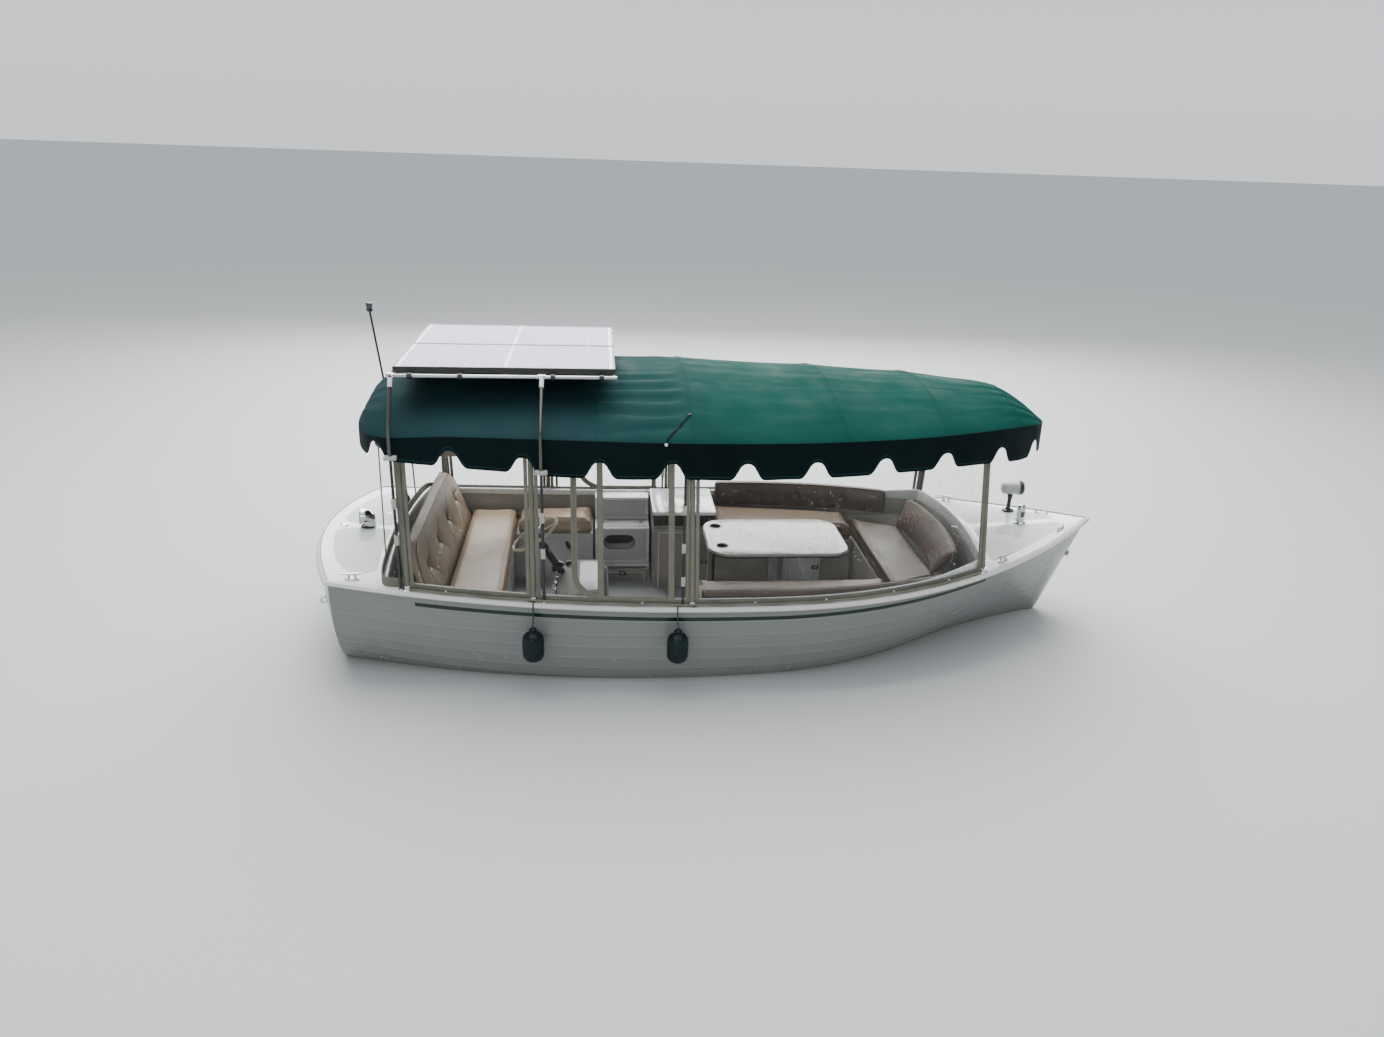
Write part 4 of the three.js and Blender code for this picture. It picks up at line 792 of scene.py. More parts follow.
def tableMaterial():
    s = Shader("tableSolid", 0.28, coat=0.3)
    speck = s.range(s.noise(230, 2, 0.5), 0.60, 0.66)
    dark = s.range(s.noise(150, 2, 0.5, s.spot((1, 1, 1), (0.4, 0.2, 0.1))), 0.66, 0.70)
    colour = s.mix(s.range(s.noise(3, 4), 0.3, 0.7), (0.40, 0.375, 0.355), (0.35, 0.328, 0.312))
    colour = s.mix(s.times(speck, 0.5), colour, (0.80, 0.77, 0.74))
    colour = s.mix(s.times(dark, 0.7), colour, (0.22, 0.19, 0.17))
    drops = s.drops(95, (0.08, 0.22), (12, 3), 0.58)
    return s.done(colour, s.range(s.noise(20, 4), 0.3, 0.7, 0.2, 0.34), s.bump(drops, 0.6, 0.001))


finish = buildMaterials()
print("materials ready")


# Floor at the water's level, world and lights
studio = {"sky": 3.0, "horizon": 0.34, "low": 0.11, "zenith": 0.85,
    "lamps": (("overhead", (-0.5, 3.2, 9), (11, 8), 1950), ("behind", (0.5, 9, 4.8), (13, 4), 1350),
    ("front", (-3.5, -11, 5.5), (6, 3), 230))}


def makeStudio():
    bpy.ops.mesh.primitive_plane_add(size=240, location=(0, 0, 0))
    floor = bpy.context.object
    floor.name = "floor"
    s = Shader("floorPale", 0.7)
    floor.data.materials.append(s.done((0.47, 0.482, 0.486)))
    world = bpy.data.worlds.new("studio")
    scene.world = world
    world.use_nodes = True
    # Overcast sky: brightest overhead, dim towards the sides, pale again at the horizon
    tree = world.node_tree
    back = tree.nodes["Background"]
    split = tree.nodes.new("ShaderNodeSeparateXYZ")
    ramp = tree.nodes.new("ShaderNodeFloatCurve")
    curve = ramp.mapping.curves[0]
    curve.points[0].location = (0, studio["horizon"])
    curve.points[1].location = (1, studio["zenith"])
    curve.points.new(0.13, studio["horizon"])
    curve.points.new(0.3, studio["low"])
    ramp.mapping.update()
    gain = tree.nodes.new("ShaderNodeMath")
    gain.operation = "MULTIPLY"
    gain.inputs[1].default_value = studio["sky"]
    tree.links.new(tree.nodes.new("ShaderNodeTexCoord").outputs["Generated"], split.inputs[0])
    tree.links.new(split.outputs[2], ramp.inputs["Value"])
    tree.links.new(ramp.outputs[0], gain.inputs[0])
    tree.links.new(gain.outputs[0], back.inputs["Strength"])
    back.inputs["Color"].default_value = (0.93, 0.965, 1.0, 1)
    for name, place, size, power in studio["lamps"]:
        data = bpy.data.lights.new(name, "AREA")
        data.shape = "RECTANGLE"
        data.size, data.size_y = size
        data.energy = power
        data.color = (1.0, 0.99, 0.97)
        lamp = bpy.data.objects.new(name, data)
        lamp.location = place
        lamp.rotation_euler = (Vector(place) - Vector((0, 0, 0.8))).to_track_quat("Z", "Y").to_euler()
        scene.collection.objects.link(lamp)


makeStudio()


# Fender lines: over the rail from the coaming down to the fender's eye
fenderLine = {"radius": 0.004, "fenderTop": 0.47, "railProud": 0.03, "fenderRadius": 0.066, "gap": 0.002,
    "fenderLong": 0.235, "places": {"aft": -1.262, "fwd": -0.385}}


def makeFenderLines():
    f = fenderLine
    for name, x in f["places"].items():
        half = hullHalf(x)
        y = half + f["railProud"] + f["fenderRadius"] + f["gap"]
        over = half + f["railProud"] + 0.0034
        top = sheer(x)
        route = [
            (x, -y, f["fenderTop"] + 0.0005), (x, -y, f["fenderTop"] + 0.016), (x, -over - 0.014, 0.505),
            (x, -over - 0.002, top - 0.042), (x, -over, top - 0.012), (x, -over + 0.012, top + 0.011),
            (x, -half - 0.008, top + 0.013), (x, -half + 0.007, top + 0.012),
        ]
        line = smoothLine(route, 6)
        curve = bpy.data.curves.new("fenderCord_" + name, "CURVE")
        curve.dimensions = "3D"
        curve.bevel_depth = f["radius"]
        curve.bevel_resolution = 4
        curve.use_fill_caps = True
        spline = curve.splines.new("POLY")
        spline.points.add(len(line) - 1)
        for point, spot in zip(spline.points, line):
            point.co = (*spot, 1)
        cord = bpy.data.objects.new("fenderCord_" + name, curve)
        scene.collection.objects.link(cord)
        curve.materials.append(finish["rope"])
        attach(cord, "boat")
        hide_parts("fender_line_" + name)


makeFenderLines()
print("camera, studio and cords ready")


# Hull: clinker planks, a rounded top edge, inner skin and a bowed transom
def stationList(count):
    low, high = hullLines["cornerX"], hullLines["tipX"]
    return [low + (high - low) * (1 - (1 - i / count) ** 1.35) for i in range(count + 1)]


def plankRows():
    rows = [(0.0, 0.0)]
    edges = hullLines["plankEdges"]
    start = 0.0
    for k, edge in enumerate(edges):
        first = 0.0 if k == 0 else 1.0
        for t in (0.25, 0.5, 0.75, 0.93):
            rows.append((lerp(start, edge, t), first * (1 - t)))
        rows += [(edge - 0.0055, 0.0), (edge - 0.0015, 0.0), (edge, 0.06), (edge + 0.0016, 0.9),
            (edge + 0.0026, 1.0)]
        start = edge + 0.0026
    for share in (0.66, 0.70, 0.74, 0.78, 0.82, 0.86, 0.89, 0.92, 0.945, 0.965, 0.98, 0.99, 0.996):
        rows.append((share, 1.0))
    return rows + [(1.0, 0.0)]


def makeHull():
    rows, lip = plankRows(), hullLines["lip"]
    stations = stationList(90)

    def half(x, share, lap):
        reach = max(hullHalf(x), 0.0005)
        step = lap * hullLines["lap"] * min(1, reach / 0.4)
        return max(sectionHalf(x, share) * (1 - step / reach), 0)

    outer, outerUv = [], []
    for x in stations:
        top = sheer(x) - lip
        depth = top - stemZ(x)
        drop = 0.05 * smoothStep(0.2, 2.3, -x)
        shares = [share + drop * smoothStep(0, 0.08, share) * (1 - share) for share, _ in rows]
        ring = [(half(x, share, lap), top - share * depth) for share, (_, lap) in zip(shares, rows)]
        whole = [(-y, z) for y, z in ring] + ring[-2::-1]
        outer.append([(bulge(x, y) + rake(x, z), y, z) for y, z in whole])
        outerUv.append([(x, sheer(x) - z) for y, z in whole])
    skin = gridPiece("hullSkin", outer, uv=outerUv)
    # The seam attribute carries painted light: 1 on each lap step for a painted shadow, -1 on the row above
    # it for a painted highlight
    lapLightRows = [1.0 if lap in (0.06, 0.9) else 0.0 for _, lap in rows]
    for i, (_, lap) in enumerate(rows):
        if lap == 0.06:
            lapLightRows[i - 1] = -1.0
    mirrored = lapLightRows + lapLightRows[-2::-1]
    seam = skin.data.attributes.new("seam", "FLOAT", "POINT")
    for i in range(len(skin.data.vertices)):
        seam.data[i].value = mirrored[i % len(mirrored)]
    corner = hullLines["cornerX"]
    ring = outer[0]
    middle = len(ring) // 2
    transom, transomUv = [], []
    for k in range(middle + 1):
        left, right = ring[k], ring[len(ring) - 1 - k]
        line = [lerp(left[1], right[1], 0.5 - 0.5 * math.cos(math.pi * i / 40)) for i in range(41)]
        transom.append([(bulge(corner, y) + rake(corner, left[2]), y, left[2]) for y in line])
        transomUv.append([(-2.2 - 0.1 * i, sheer(corner) - left[2]) for i in range(41)])
    stern = gridPiece("hullTransom", transom, uv=transomUv)
    seam = stern.data.attributes.new("seam", "FLOAT", "POINT")
    for i in range(len(stern.data.vertices)):
        seam.data[i].value = lapLightRows[i // 41]
    inset = hullLines["wall"]
    inner = []
    shares = [0, 0.1, 0.2, 0.3, 0.4, 0.5, 0.6, 0.7, 0.8, 0.88, 0.94, 0.98, 1]
    for x in [corner + inset] + stations[1:-9]:
        top = sheer(x) - lip
        depth = top - stemZ(x) - inset
        ring = [(sectionHalf(x, share, inset), top - share * depth) for share in shares]
        whole = [(-y, z) for y, z in ring] + ring[-2::-1]
        inner.append([(bulge(x, y, inset) + rake(x, z), y, z) for y, z in whole])
    lining = gridPiece("hullLining", inner)
    lining.data.uv_layers.new(name="UVMap")
    hull = joinPieces("hull", [skin, stern])
    cleanMesh(hull, 2e-5)
    smoothByAngle(hull, 28)
    thicken(lining, hullLines["liningThick"], 1)
    cleanMesh(lining, degrees=40)
    dress(hull, "hull")
    dress(lining, "sideLiner")
    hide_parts("hull_shell")
    # Lifting eyes: one on the stem, one on each quarter of the transom
    eye = {"ring": 0.020, "wire": 0.005, "plate": 0.019}
    for name, start, aim in (("bowEye", (3.2, 0, 0.455), (-1, 0, 0)),
        ("sternEyeStbd", (-3.4, -0.55, 0.405), (1, 0, 0)),
        ("sternEyePort", (-3.4, 0.55, 0.405), (1, 0, 0))):
        _, spot, out, _ = hull.ray_cast(Vector(start), Vector(aim))
        middle = spot + out * (eye["ring"] * 0.75)
        bpy.ops.mesh.primitive_torus_add(location=middle,
            rotation=(math.pi / 2, 0, math.atan2(out.y, out.x)), major_radius=eye["ring"],
            minor_radius=eye["wire"], major_segments=36, minor_segments=12)
        ring = bpy.context.object
        ring.name = name
        bpy.ops.object.transform_apply(location=True, rotation=True, scale=True)
        cup = turnedPiece(name + "Plate", [(0, 0.005), (eye["plate"] * 0.7, 0.0045), (eye["plate"], 0.0015),
            (eye["plate"], -0.004), (0, -0.004)], spot, out, steps=32)
        both = joinPieces(name, [ring, cup])
        smoothByAngle(both, 50)
        dress(both, "chrome")


makeHull()
print("hull ready")


# Deck loops: the rim and the cockpit opening, half a loop each, from the stern to the bow
def halfLoops():
    o = opening
    corner = hullLines["cornerX"]
    x0, x1 = o["aft"], o["fwd"]
    cornerHalf = hullHalf(corner)
    rim, edge = [], []
    aftHalf = hullHalf(x0) - o["inset"]
    for i in range(26):
        q = i / 26
        y = q * cornerHalf
        rim.append((bulge(corner, y), y))
        q2 = 0.9 * q
        edge.append((x0 + 0.045 * q2 * q2, aftHalf * q2))
    sideX0, sideX1 = x0 + 0.06, x1 - 0.075
    sideY0 = hullHalf(sideX0) - o["inset"]
    for i in range(6):
        t = i / 6
        a, b = Vector((x0 + 0.045 * 0.81, aftHalf * 0.9)), Vector((x0 + 0.045, aftHalf))
        c = Vector((sideX0, sideY0))
        spot = a * (1 - t) ** 2 + b * 2 * t * (1 - t) + c * t * t
        edge.append(tuple(spot))
        x = lerp(corner, corner + 0.04, t)
        rim.append((bulge(x, hullHalf(x)), hullHalf(x)))
    for i in range(150):
        t = i / 150
        x = lerp(sideX0, sideX1, t)
        edge.append((x, hullHalf(x) - o["inset"]))
        x = lerp(corner + 0.04, 1.70, t)
        rim.append((bulge(x, hullHalf(x)), hullHalf(x)))
    frontHalf = hullHalf(x1) - o["inset"]
    yEnd = hullHalf(sideX1) - o["inset"]
    for i in range(61):
        t = i / 60
        y = yEnd * (1 - t)
        blendIn = smoothStep(0, 0.14, t)
        front = x1 - o["arc"] * min(y, frontHalf) ** 2
        edge.append((lerp(sideX1 + (front - sideX1) * min(1, t * 6), front, blendIn), y))
        x = lerp(1.70, hullLines["tipX"], 1 - (1 - t) ** 1.4)
        rim.append((x, hullHalf(x)))
    return rim, edge


def fullLoop(half):
    # Closed: starboard from the stern to the bow, then back along port
    starboard = [(x, -y) for x, y in half]
    port = [(x, y) for x, y in half[::-1]]
    if abs(half[-1][1]) < 1e-4:
        port = port[1:]
    if abs(half[0][1]) < 1e-4:
        port = port[:-1]
    return starboard + port


def loopDistance(point, loop):
    # Distance to a closed loop, positive inside
    best, inside = 9.0, False
    px, py = point
    x0, y0 = loop[-1]
    for x1, y1 in loop:
        dx, dy = x1 - x0, y1 - y0
        t = clamp(((px - x0) * dx + (py - y0) * dy) / max(dx * dx + dy * dy, 1e-12))
        best = min(best, math.hypot(px - x0 - dx * t, py - y0 - dy * t))
        if (y0 > py) != (y1 > py) and px < x0 + (py - y0) / (y1 - y0) * dx:
            inside = not inside
        x0, y0 = x1, y1
    return best if inside else -best


def roundedLoop(points, radius):
    # Closed loop of (x, y) corners, each rounded by a short curve
    loop = []
    count = len(points)
    for i, point in enumerate(points):
        p = Vector(point)
        a, b = Vector(points[i - 1]), Vector(points[(i + 1) % count])
        ra = min(radius, (a - p).length * 0.45)
        rb = min(radius, (b - p).length * 0.45)
        start, end = p + (a - p).normalized() * ra, p + (b - p).normalized() * rb
        for k in range(7):
            t = k / 6
            spot = start * (1 - t) ** 2 + p * 2 * t * (1 - t) + end * t * t
            loop.append((spot.x, spot.y))
    return loop


def gripPanels():
    # Non-skid panels: the halves of the foredeck and of the aft deck
    panels = []
    for side in (1, -1):
        fore = [(1.84, 0.035), (2.50, 0.035)]
        fore += [(x, max(hullHalf(x) - 0.095, 0.036)) for x in (2.44, 2.36, 2.26, 2.14, 2.0, 1.88, 1.78)]
        fore += [(1.80, 0.42), (1.83, 0.2)]
        panels.append(roundedLoop([(x, side * y) for x, y in fore], 0.05))
        aft = [(-2.275, 0.035), (-2.275, 0.40), (-2.25, 0.66), (-2.29, 0.705), (-2.42, 0.70), (-2.52, 0.56),
            (-2.585, 0.36), (-2.62, 0.16), (-2.625, 0.10), (-2.55, 0.035)]
        panels.append(roundedLoop([(x, side * y) for x, y in aft], 0.04))
    return panels


def makeDeck():
    rim, edge = halfLoops()
    rimLoop, edgeLoop = fullLoop(rim), fullLoop(edge)
    panels = gripPanels()
    levels = 30
    rows = []
    for (x0, y0), (x1, y1) in zip(edgeLoop, rimLoop):
        row = []
        for k in range(levels + 1):
            t = k / levels
            x, y = lerp(x0, x1, t), lerp(y0, y1, t)
            row.append((x, y, deckTop(x, y)))
        rows.append(row)
    deck = gridPiece("deckPlate", rows, loopRows=True)
    cleanMesh(deck)
    if sum(f.normal.z for f in deck.data.polygons) < 0:
        deck.data.flip_normals()
    thicken(deck, 0.024)
    grip = deck.data.attributes.new("grip", "FLOAT", "POINT")
    for i, vertex in enumerate(deck.data.vertices):
        x, y = vertex.co.x, vertex.co.y
        if -2.2 < x < 1.7:
            grip.data[i].value = -0.1
            continue
        grip.data[i].value = max(loopDistance((x, y), loop) for loop in panels)
    dress(deck, "deck")
    smoothByAngle(deck, 40)
    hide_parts("deck")
    o = opening
    path = [(x, y, deckTop(x, y)) for x, y in edgeLoop]

    def coamingProfile(x):
        top = o["high"] - 0.012 + o["rise"] * smoothStep(1.2, 1.7, x)
        return [(0.006, -0.02), (0.006, 0.0), (0.001, 0.006), (0.0, top - 0.007), (-0.002, top - 0.002),
            (-0.007, top), (-0.012, top - 0.001), (-0.0165, top - 0.005), (-0.018, top - 0.012),
            (-0.018, 0.0), (-0.0165, -0.014), (-0.004, -0.016)]

    dress(ringPiece("coaming", path, [coamingProfile(x) for x, _, _ in path], 40), "coaming")
    # Side panels hang from the coaming down to the seats
    profile = [(-0.006, -0.016), (-0.0145, -0.0165), (-0.0160, -0.019), (-0.0160, -0.175),
        (-0.0145, -0.178), (-0.010, -0.178), (-0.006, -0.17)]
    dress(ringPiece("sidePanels", path, [profile] * len(path), 35), "sideLiner")


makeDeck()
print("deck ready")


# Rub rail: a rounded band with a raised bead, right round the sheer
railLines = {"high": 0.026, "proud": 0.030}


def makeRail():
    rim, _ = halfLoops()
    loop = fullLoop(rim)
    high, proud = railLines["high"], railLines["proud"]
    profile = [(0.0003, -high + 0.003), (proud * 0.5, -high + 0.0015), (proud * 0.7, -high + 0.003),
        (proud * 0.8, -high + 0.0065), (proud * 0.83, -high + 0.009), (proud * 0.94, -high + 0.0105),
        (proud, -high + 0.014), (proud * 0.94, -high + 0.0175), (proud * 0.83, -high + 0.019),
        (proud * 0.8, -0.003), (proud * 0.68, 0.0022), (proud * 0.5, 0.0045), (0.0003, 0.006)]
    path = [(x, y, sheer(stationAt(x, y))) for x, y in loop]
    rail = ringPiece("rubRail", path, [profile] * len(path), 40)
    dress(rail, "rail")
    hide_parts("rub_rail")
    line = [(x * (1 - 0.003 / 2.7), y * (1 - 0.004 / max(abs(y), 0.3)), deckTop(x, y) + 0.0006)
        for x, y in loop]
    dress(pipePiece("railJoint", line, 0.0026, sides=8, closed=True), "black")


makeRail()


# Canopy: a crowned sheet over the hoops, a scalloped valance and its bound edge
canopyCloth = {"thick": 0.0016, "valanceThick": 0.002, "rows": 300, "halfColumns": 46, "skirtColumns": 760,
    "skirtRows": 12, "sag": 0.015, "bows": (-2.036, -1.262, -0.31, 0.62, 1.29, 1.87),
    "seams": (-0.93, -0.31, 0.62, 1.29, 1.87), "notch": ((0.0, 0.101), (0.024, 0.096), (0.042, 0.08),
    (0.058, 0.052), (0.075, 0.022), (0.09, 0.006), (0.104, 0.0))}


def perimeterHalf(count):
    # Fold line of one side from the stern to the bow, evenly spaced
    c = canopyLines
    fine = []
    for i in range(4001):
        t = math.pi * i / 4000
        x = lerp(c["aft"], c["fwd"], 0.5 - 0.5 * math.cos(t))
        fine.append((x, canopyHalf(x)))
    run = [0.0]
    for a, b in zip(fine, fine[1:]):
        run.append(run[-1] + math.hypot(b[0] - a[0], b[1] - a[1]))
    line, k = [], 0
    for i in range(count + 1):
        want = run[-1] * i / count
        while k < len(run) - 2 and run[k + 1] < want:
            k += 1
        t = clamp((want - run[k]) / max(run[k + 1] - run[k], 1e-9))
        line.append((lerp(fine[k][0], fine[k + 1][0], t), lerp(fine[k][1], fine[k + 1][1], t), want))
    return line


def clothLift(x, q):
    # Bows hold the cloth up, it hangs a little between them, and long creases run from bow to bow
    bows = canopyCloth["bows"]
    lift = 0.0
    for a, b in zip(bows, bows[1:]):
        if a <= x <= b:
            t = (x - a) / (b - a)
            lift = -canopyCloth["sag"] * (b - a) * 4 * t * (1 - t)
    near = min(abs(x - bow) for bow in bows)
    fade = 1 - abs(q) ** 6
    crease = noise.noise(Vector((x * 1.1, q * 9.0, 3.1))) * 0.0055
    crease += noise.noise(Vector((x * 2.6, q * 19.0, 8.4))) * 0.0022
    tight = smoothStep(-1.02, -0.78, x) * (1 - smoothStep(-0.46, -0.31, x))
    fan = abs(math.sin(q * 21 + 1.1 * (x + 0.3) * q + 1.6 * noise.noise(Vector((x * 1.6, q * 4, 1)))))
    crease += tight * 0.026 * (fan - 0.7) * smoothStep(0.1, 0.3, abs(q))
    fold = (abs(q) - 0.30 - 0.04 * math.sin(x * 2.3)) / 0.022
    crease -= 0.0045 * math.exp(-fold * fold) * smoothStep(-0.3, 0.1, x)
    ends = smoothStep(1.55, 2.0, x) + smoothStep(1.95, 2.25, -x)
    crease += ends * 0.004 * math.sin(q * 30 + x * 6)
    return lift * fade + crease * fade + 0.0035 * math.exp(-(near / 0.02) ** 2) * fade


def makeCanopy():
    half, last = perimeterHalf(canopyCloth["rows"]), canopyCloth["halfColumns"]
    columns = [math.sin(0.5 * math.pi * k / last) for k in range(-last, last + 1)]
    rows, uv = [], []
    for x, w, run in half:
        row, uvRow = [], []
        for q in columns:
            z = crownAt(x, q) + (clothLift(x, q) if w > 0.02 else 0)
            row.append((x, q * w, z))
            uvRow.append((x, q * w * 1.08))
        rows.append(row)
        uv.append(uvRow)
    top = gridPiece("canopyTop", rows, uv=uv)
    cleanMesh(top)
    if sum(f.normal.z for f in top.data.polygons) < 0:
        top.data.flip_normals()
    thicken(top, canopyCloth["thick"])
    smoothByAngle(top, 60)
    dress(top, "canopy")
    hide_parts("canopy")

    # Valance columns follow the whole perimeter
    fine = perimeterHalf(canopyCloth["skirtColumns"])
    ring = [(x, -w) for x, w, _ in fine] + [(x, w) for x, w, _ in fine[-2:0:-1]]
    count = len(ring)
    run = [0.0]
    for a, b in zip(ring, ring[1:] + ring[:1]):
        run.append(run[-1] + math.hypot(b[0] - a[0], b[1] - a[1]))
    total = run.pop() if len(run) > count else run[-1]
    marks = []
    for mark in notchX:
        for side in (-1, 1):
            k = min(range(count), key=lambda i: (ring[i][0] - mark) ** 2
                + (ring[i][1] - side * canopyHalf(mark)) ** 2)
            marks.append(run[k])
    marks += [0.0, run[min(range(count), key=lambda i: -ring[i][0])]]
    notch = canopyCloth["notch"]

    def notchRise(s):
        best = min(min(abs(s - m), total - abs(s - m)) for m in marks)
        if best >= notch[-1][0]:
            return 0.0
        for (a, va), (b, vb) in zip(notch, notch[1:]):
            if best <= b:
                t = (best - a) / (b - a)
                return lerp(va, vb, t * t * (3 - 2 * t) * 0.35 + t * 0.65)
        return 0.0

    steps = canopyCloth["skirtRows"]
    rows, uv, lip = [], [], []
    for i, (x, y) in enumerate(ring):
        before, after = ring[i - 1], ring[(i + 1) % count]
        normal = Vector((after[1] - before[1], before[0] - after[0])).normalized()
        high = along(foldLine, x) - 0.001
        low = along(valanceFoot, x) + notchRise(run[i])
        wave = noise.noise(Vector((run[i] * 2.1, 0.3, 5.0))) * 0.016
        wave += noise.noise(Vector((run[i] * 6.0, 4.3, 1.0))) * 0.005
        row, uvRow = [], []
        for k in range(steps + 1):
            t = k / steps
            z = lerp(high, low, t)
            deep = (high - z) / 0.2
            out = 0.0012 + 0.004 * math.sin(min(deep, 1) * math.pi * 0.6) + deep * deep * wave
            row.append((x + normal.x * out, y + normal.y * out, z))
            uvRow.append((run[i], z - low))
        rows.append(row)
        uv.append(uvRow)
        lip.append(row[-1])
    valance = gridPiece("canopyValance", rows, loopRows=True, uv=uv)
    cleanMesh(valance)
    thicken(valance, canopyCloth["valanceThick"], 0)
    smoothByAngle(valance, 60)
    dress(valance, "valance")
    binding = pipePiece("valanceBinding", lip, 0.0026, sides=8, closed=True)
    dress(binding, "valance")
    welt = pipePiece("canopyWelt", [(x, y, along(foldLine, x) + 0.0005) for x, y in ring], 0.0036, sides=8,
        closed=True)
    dress(welt, "valance")
    for mark in canopyCloth["seams"]:
        for shift in ((-0.048, 0.048) if mark == -0.93 else (-0.009, 0.009)):
            line = []
            for q in columns[1:-1]:
                x = mark + shift
                line.append((x, q * canopyHalf(x), crownAt(x, q) + clothLift(x, q) + 0.0004))
            dress(pipePiece(f"canopySeam_{mark}_{shift}", line, 0.0011, sides=6), "canopy")


makeCanopy()
print("canopy ready")


# Hoops, side curtains and their bound edges
postLines = {"radius": 0.0165, "inset": 0.025, "border": 0.042, "stripWide": 0.036, "proud": 0.0045,
    "headDrop": 0.08, "edgeIn": 0.030, "sheetIn": 0.012}


def hoopPath(name):
    xFoot, xTop = hoopLines[name]
    footY = hullHalf(xFoot) - postLines["inset"]
    width = postLine(xTop)

    def bowZ(y):
        return crownAt(xTop, y / (width + 0.014)) - 0.034

    half = [(xFoot, footY, sheer(xFoot) + 0.004), (lerp(xFoot, xTop, 0.5), lerp(footY, width, 0.52), 1.01),
        (lerp(xFoot, xTop, 0.95), width, along(foldLine, xTop) - 0.165),
        (xTop, width - 0.014, along(foldLine, xTop) - 0.062), (xTop, width * 0.9, bowZ(width * 0.9)),
        (xTop, width * 0.66, bowZ(width * 0.66)), (xTop, width * 0.33, bowZ(width * 0.33)),
        (xTop, 0, bowZ(0))]
    return half + [(x, -y, z) for x, y, z in half[-2::-1]]


def makeHoops():
    for name in hoopLines:
        hoop = pipePiece("hoopSleeve_" + name, hoopPath(name), postLines["radius"], sides=16, smooth=8)
        dress(hoop, "khaki")
        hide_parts("canopy_hoop_" + name)
        xFoot = hoopLines[name][0]
        for side in (-1, 1):
            y = side * (hullHalf(xFoot) - postLines["inset"])
            dress(turnedPiece(f"hoopFoot_{name}_{side}",
                [(0.0, 0.034), (0.021, 0.034), (0.0225, 0.030), (0.0225, 0.010), (0.034, 0.006),
                (0.036, 0.003), (0.036, 0.0), (0.0, 0.0)], (xFoot, y, deckTop(xFoot, y) - 0.001), steps=24),
                "chrome")


def curtainPoint(x, side, t):
    # A point of the side curtain: x at its foot line, t from the foot to the head
    names = list(hoopLines)
    posts = [hoopLines[n] for n in names]
    k = max(i for i in range(3) if x >= posts[i][0] or i == 0)
    a, b = posts[k], posts[k + 1]
    share = (x - a[0]) / (b[0] - a[0])
    xHead = lerp(a[1], b[1], share)
    low = Vector((x, side * (hullHalf(x) - postLines["inset"]), sheer(x) + 0.0005))
    high = Vector((xHead, side * postLine(xHead), along(foldLine, xHead) - postLines["headDrop"]))
    return low.lerp(high, t)


def stripPiece(name, path, across, half, proud):
    # Flat band along a path; across gives the band's sideways direction at each point
    rows = []
    for point, side, out in zip(path, across, proud):
        a, b = point - side * half, point + side * half
        rows.append([a + out * 0.6, a + out, b + out, b + out * 0.6, b - out * 0.6, b - out, a - out,
            a - out * 0.6])
    piece = gridPiece(name, rows, loopColumns=True, caps=True)
    cleanMesh(piece, degrees=40)
    dress(piece, "khaki")
    return piece


def surfaceBand(name, surface, points, half, proud=None):
    # A flat band through the places (u, t) of the surface
    proud = proud or postLines["proud"]
    path = [surface(u, t) for u, t in points]
    across, outs = [], []
    for i, (u, t) in enumerate(points):
        run = (path[min(i + 1, len(path) - 1)] - path[max(i - 1, 0)]).normalized()
        cross = run.cross(surfaceOut(surface, u, t)).normalized()
        across.append(cross)
        outs.append(cross.cross(run).normalized() * proud)
    return stripPiece(name, path, across, half, outs)


def clearSheet(node, surface, us, seed, size):
    # Clear vinyl between its bands, a little rippled
    rows = []
    for u in us:
        row = []
        for k in range(25):
            t = k / 24
            out = surfaceOut(surface, u, t).normalized()
            wave = noise.noise(Vector((u * 3.1, t * 1.2, seed)))
            wave += 0.4 * noise.noise(Vector((u * 8, t * 2.4, seed + 3)))
            row.append(surface(u, t) + out * wave * size * (1 - (2 * t - 1) ** 8))
        rows.append(row)
    sheet = gridPiece(node + "_sheet", rows)
    thicken(sheet, 0.0009, 0)
    cleanMesh(sheet, degrees=60)
    dress(sheet, "vinyl")
    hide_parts(node)


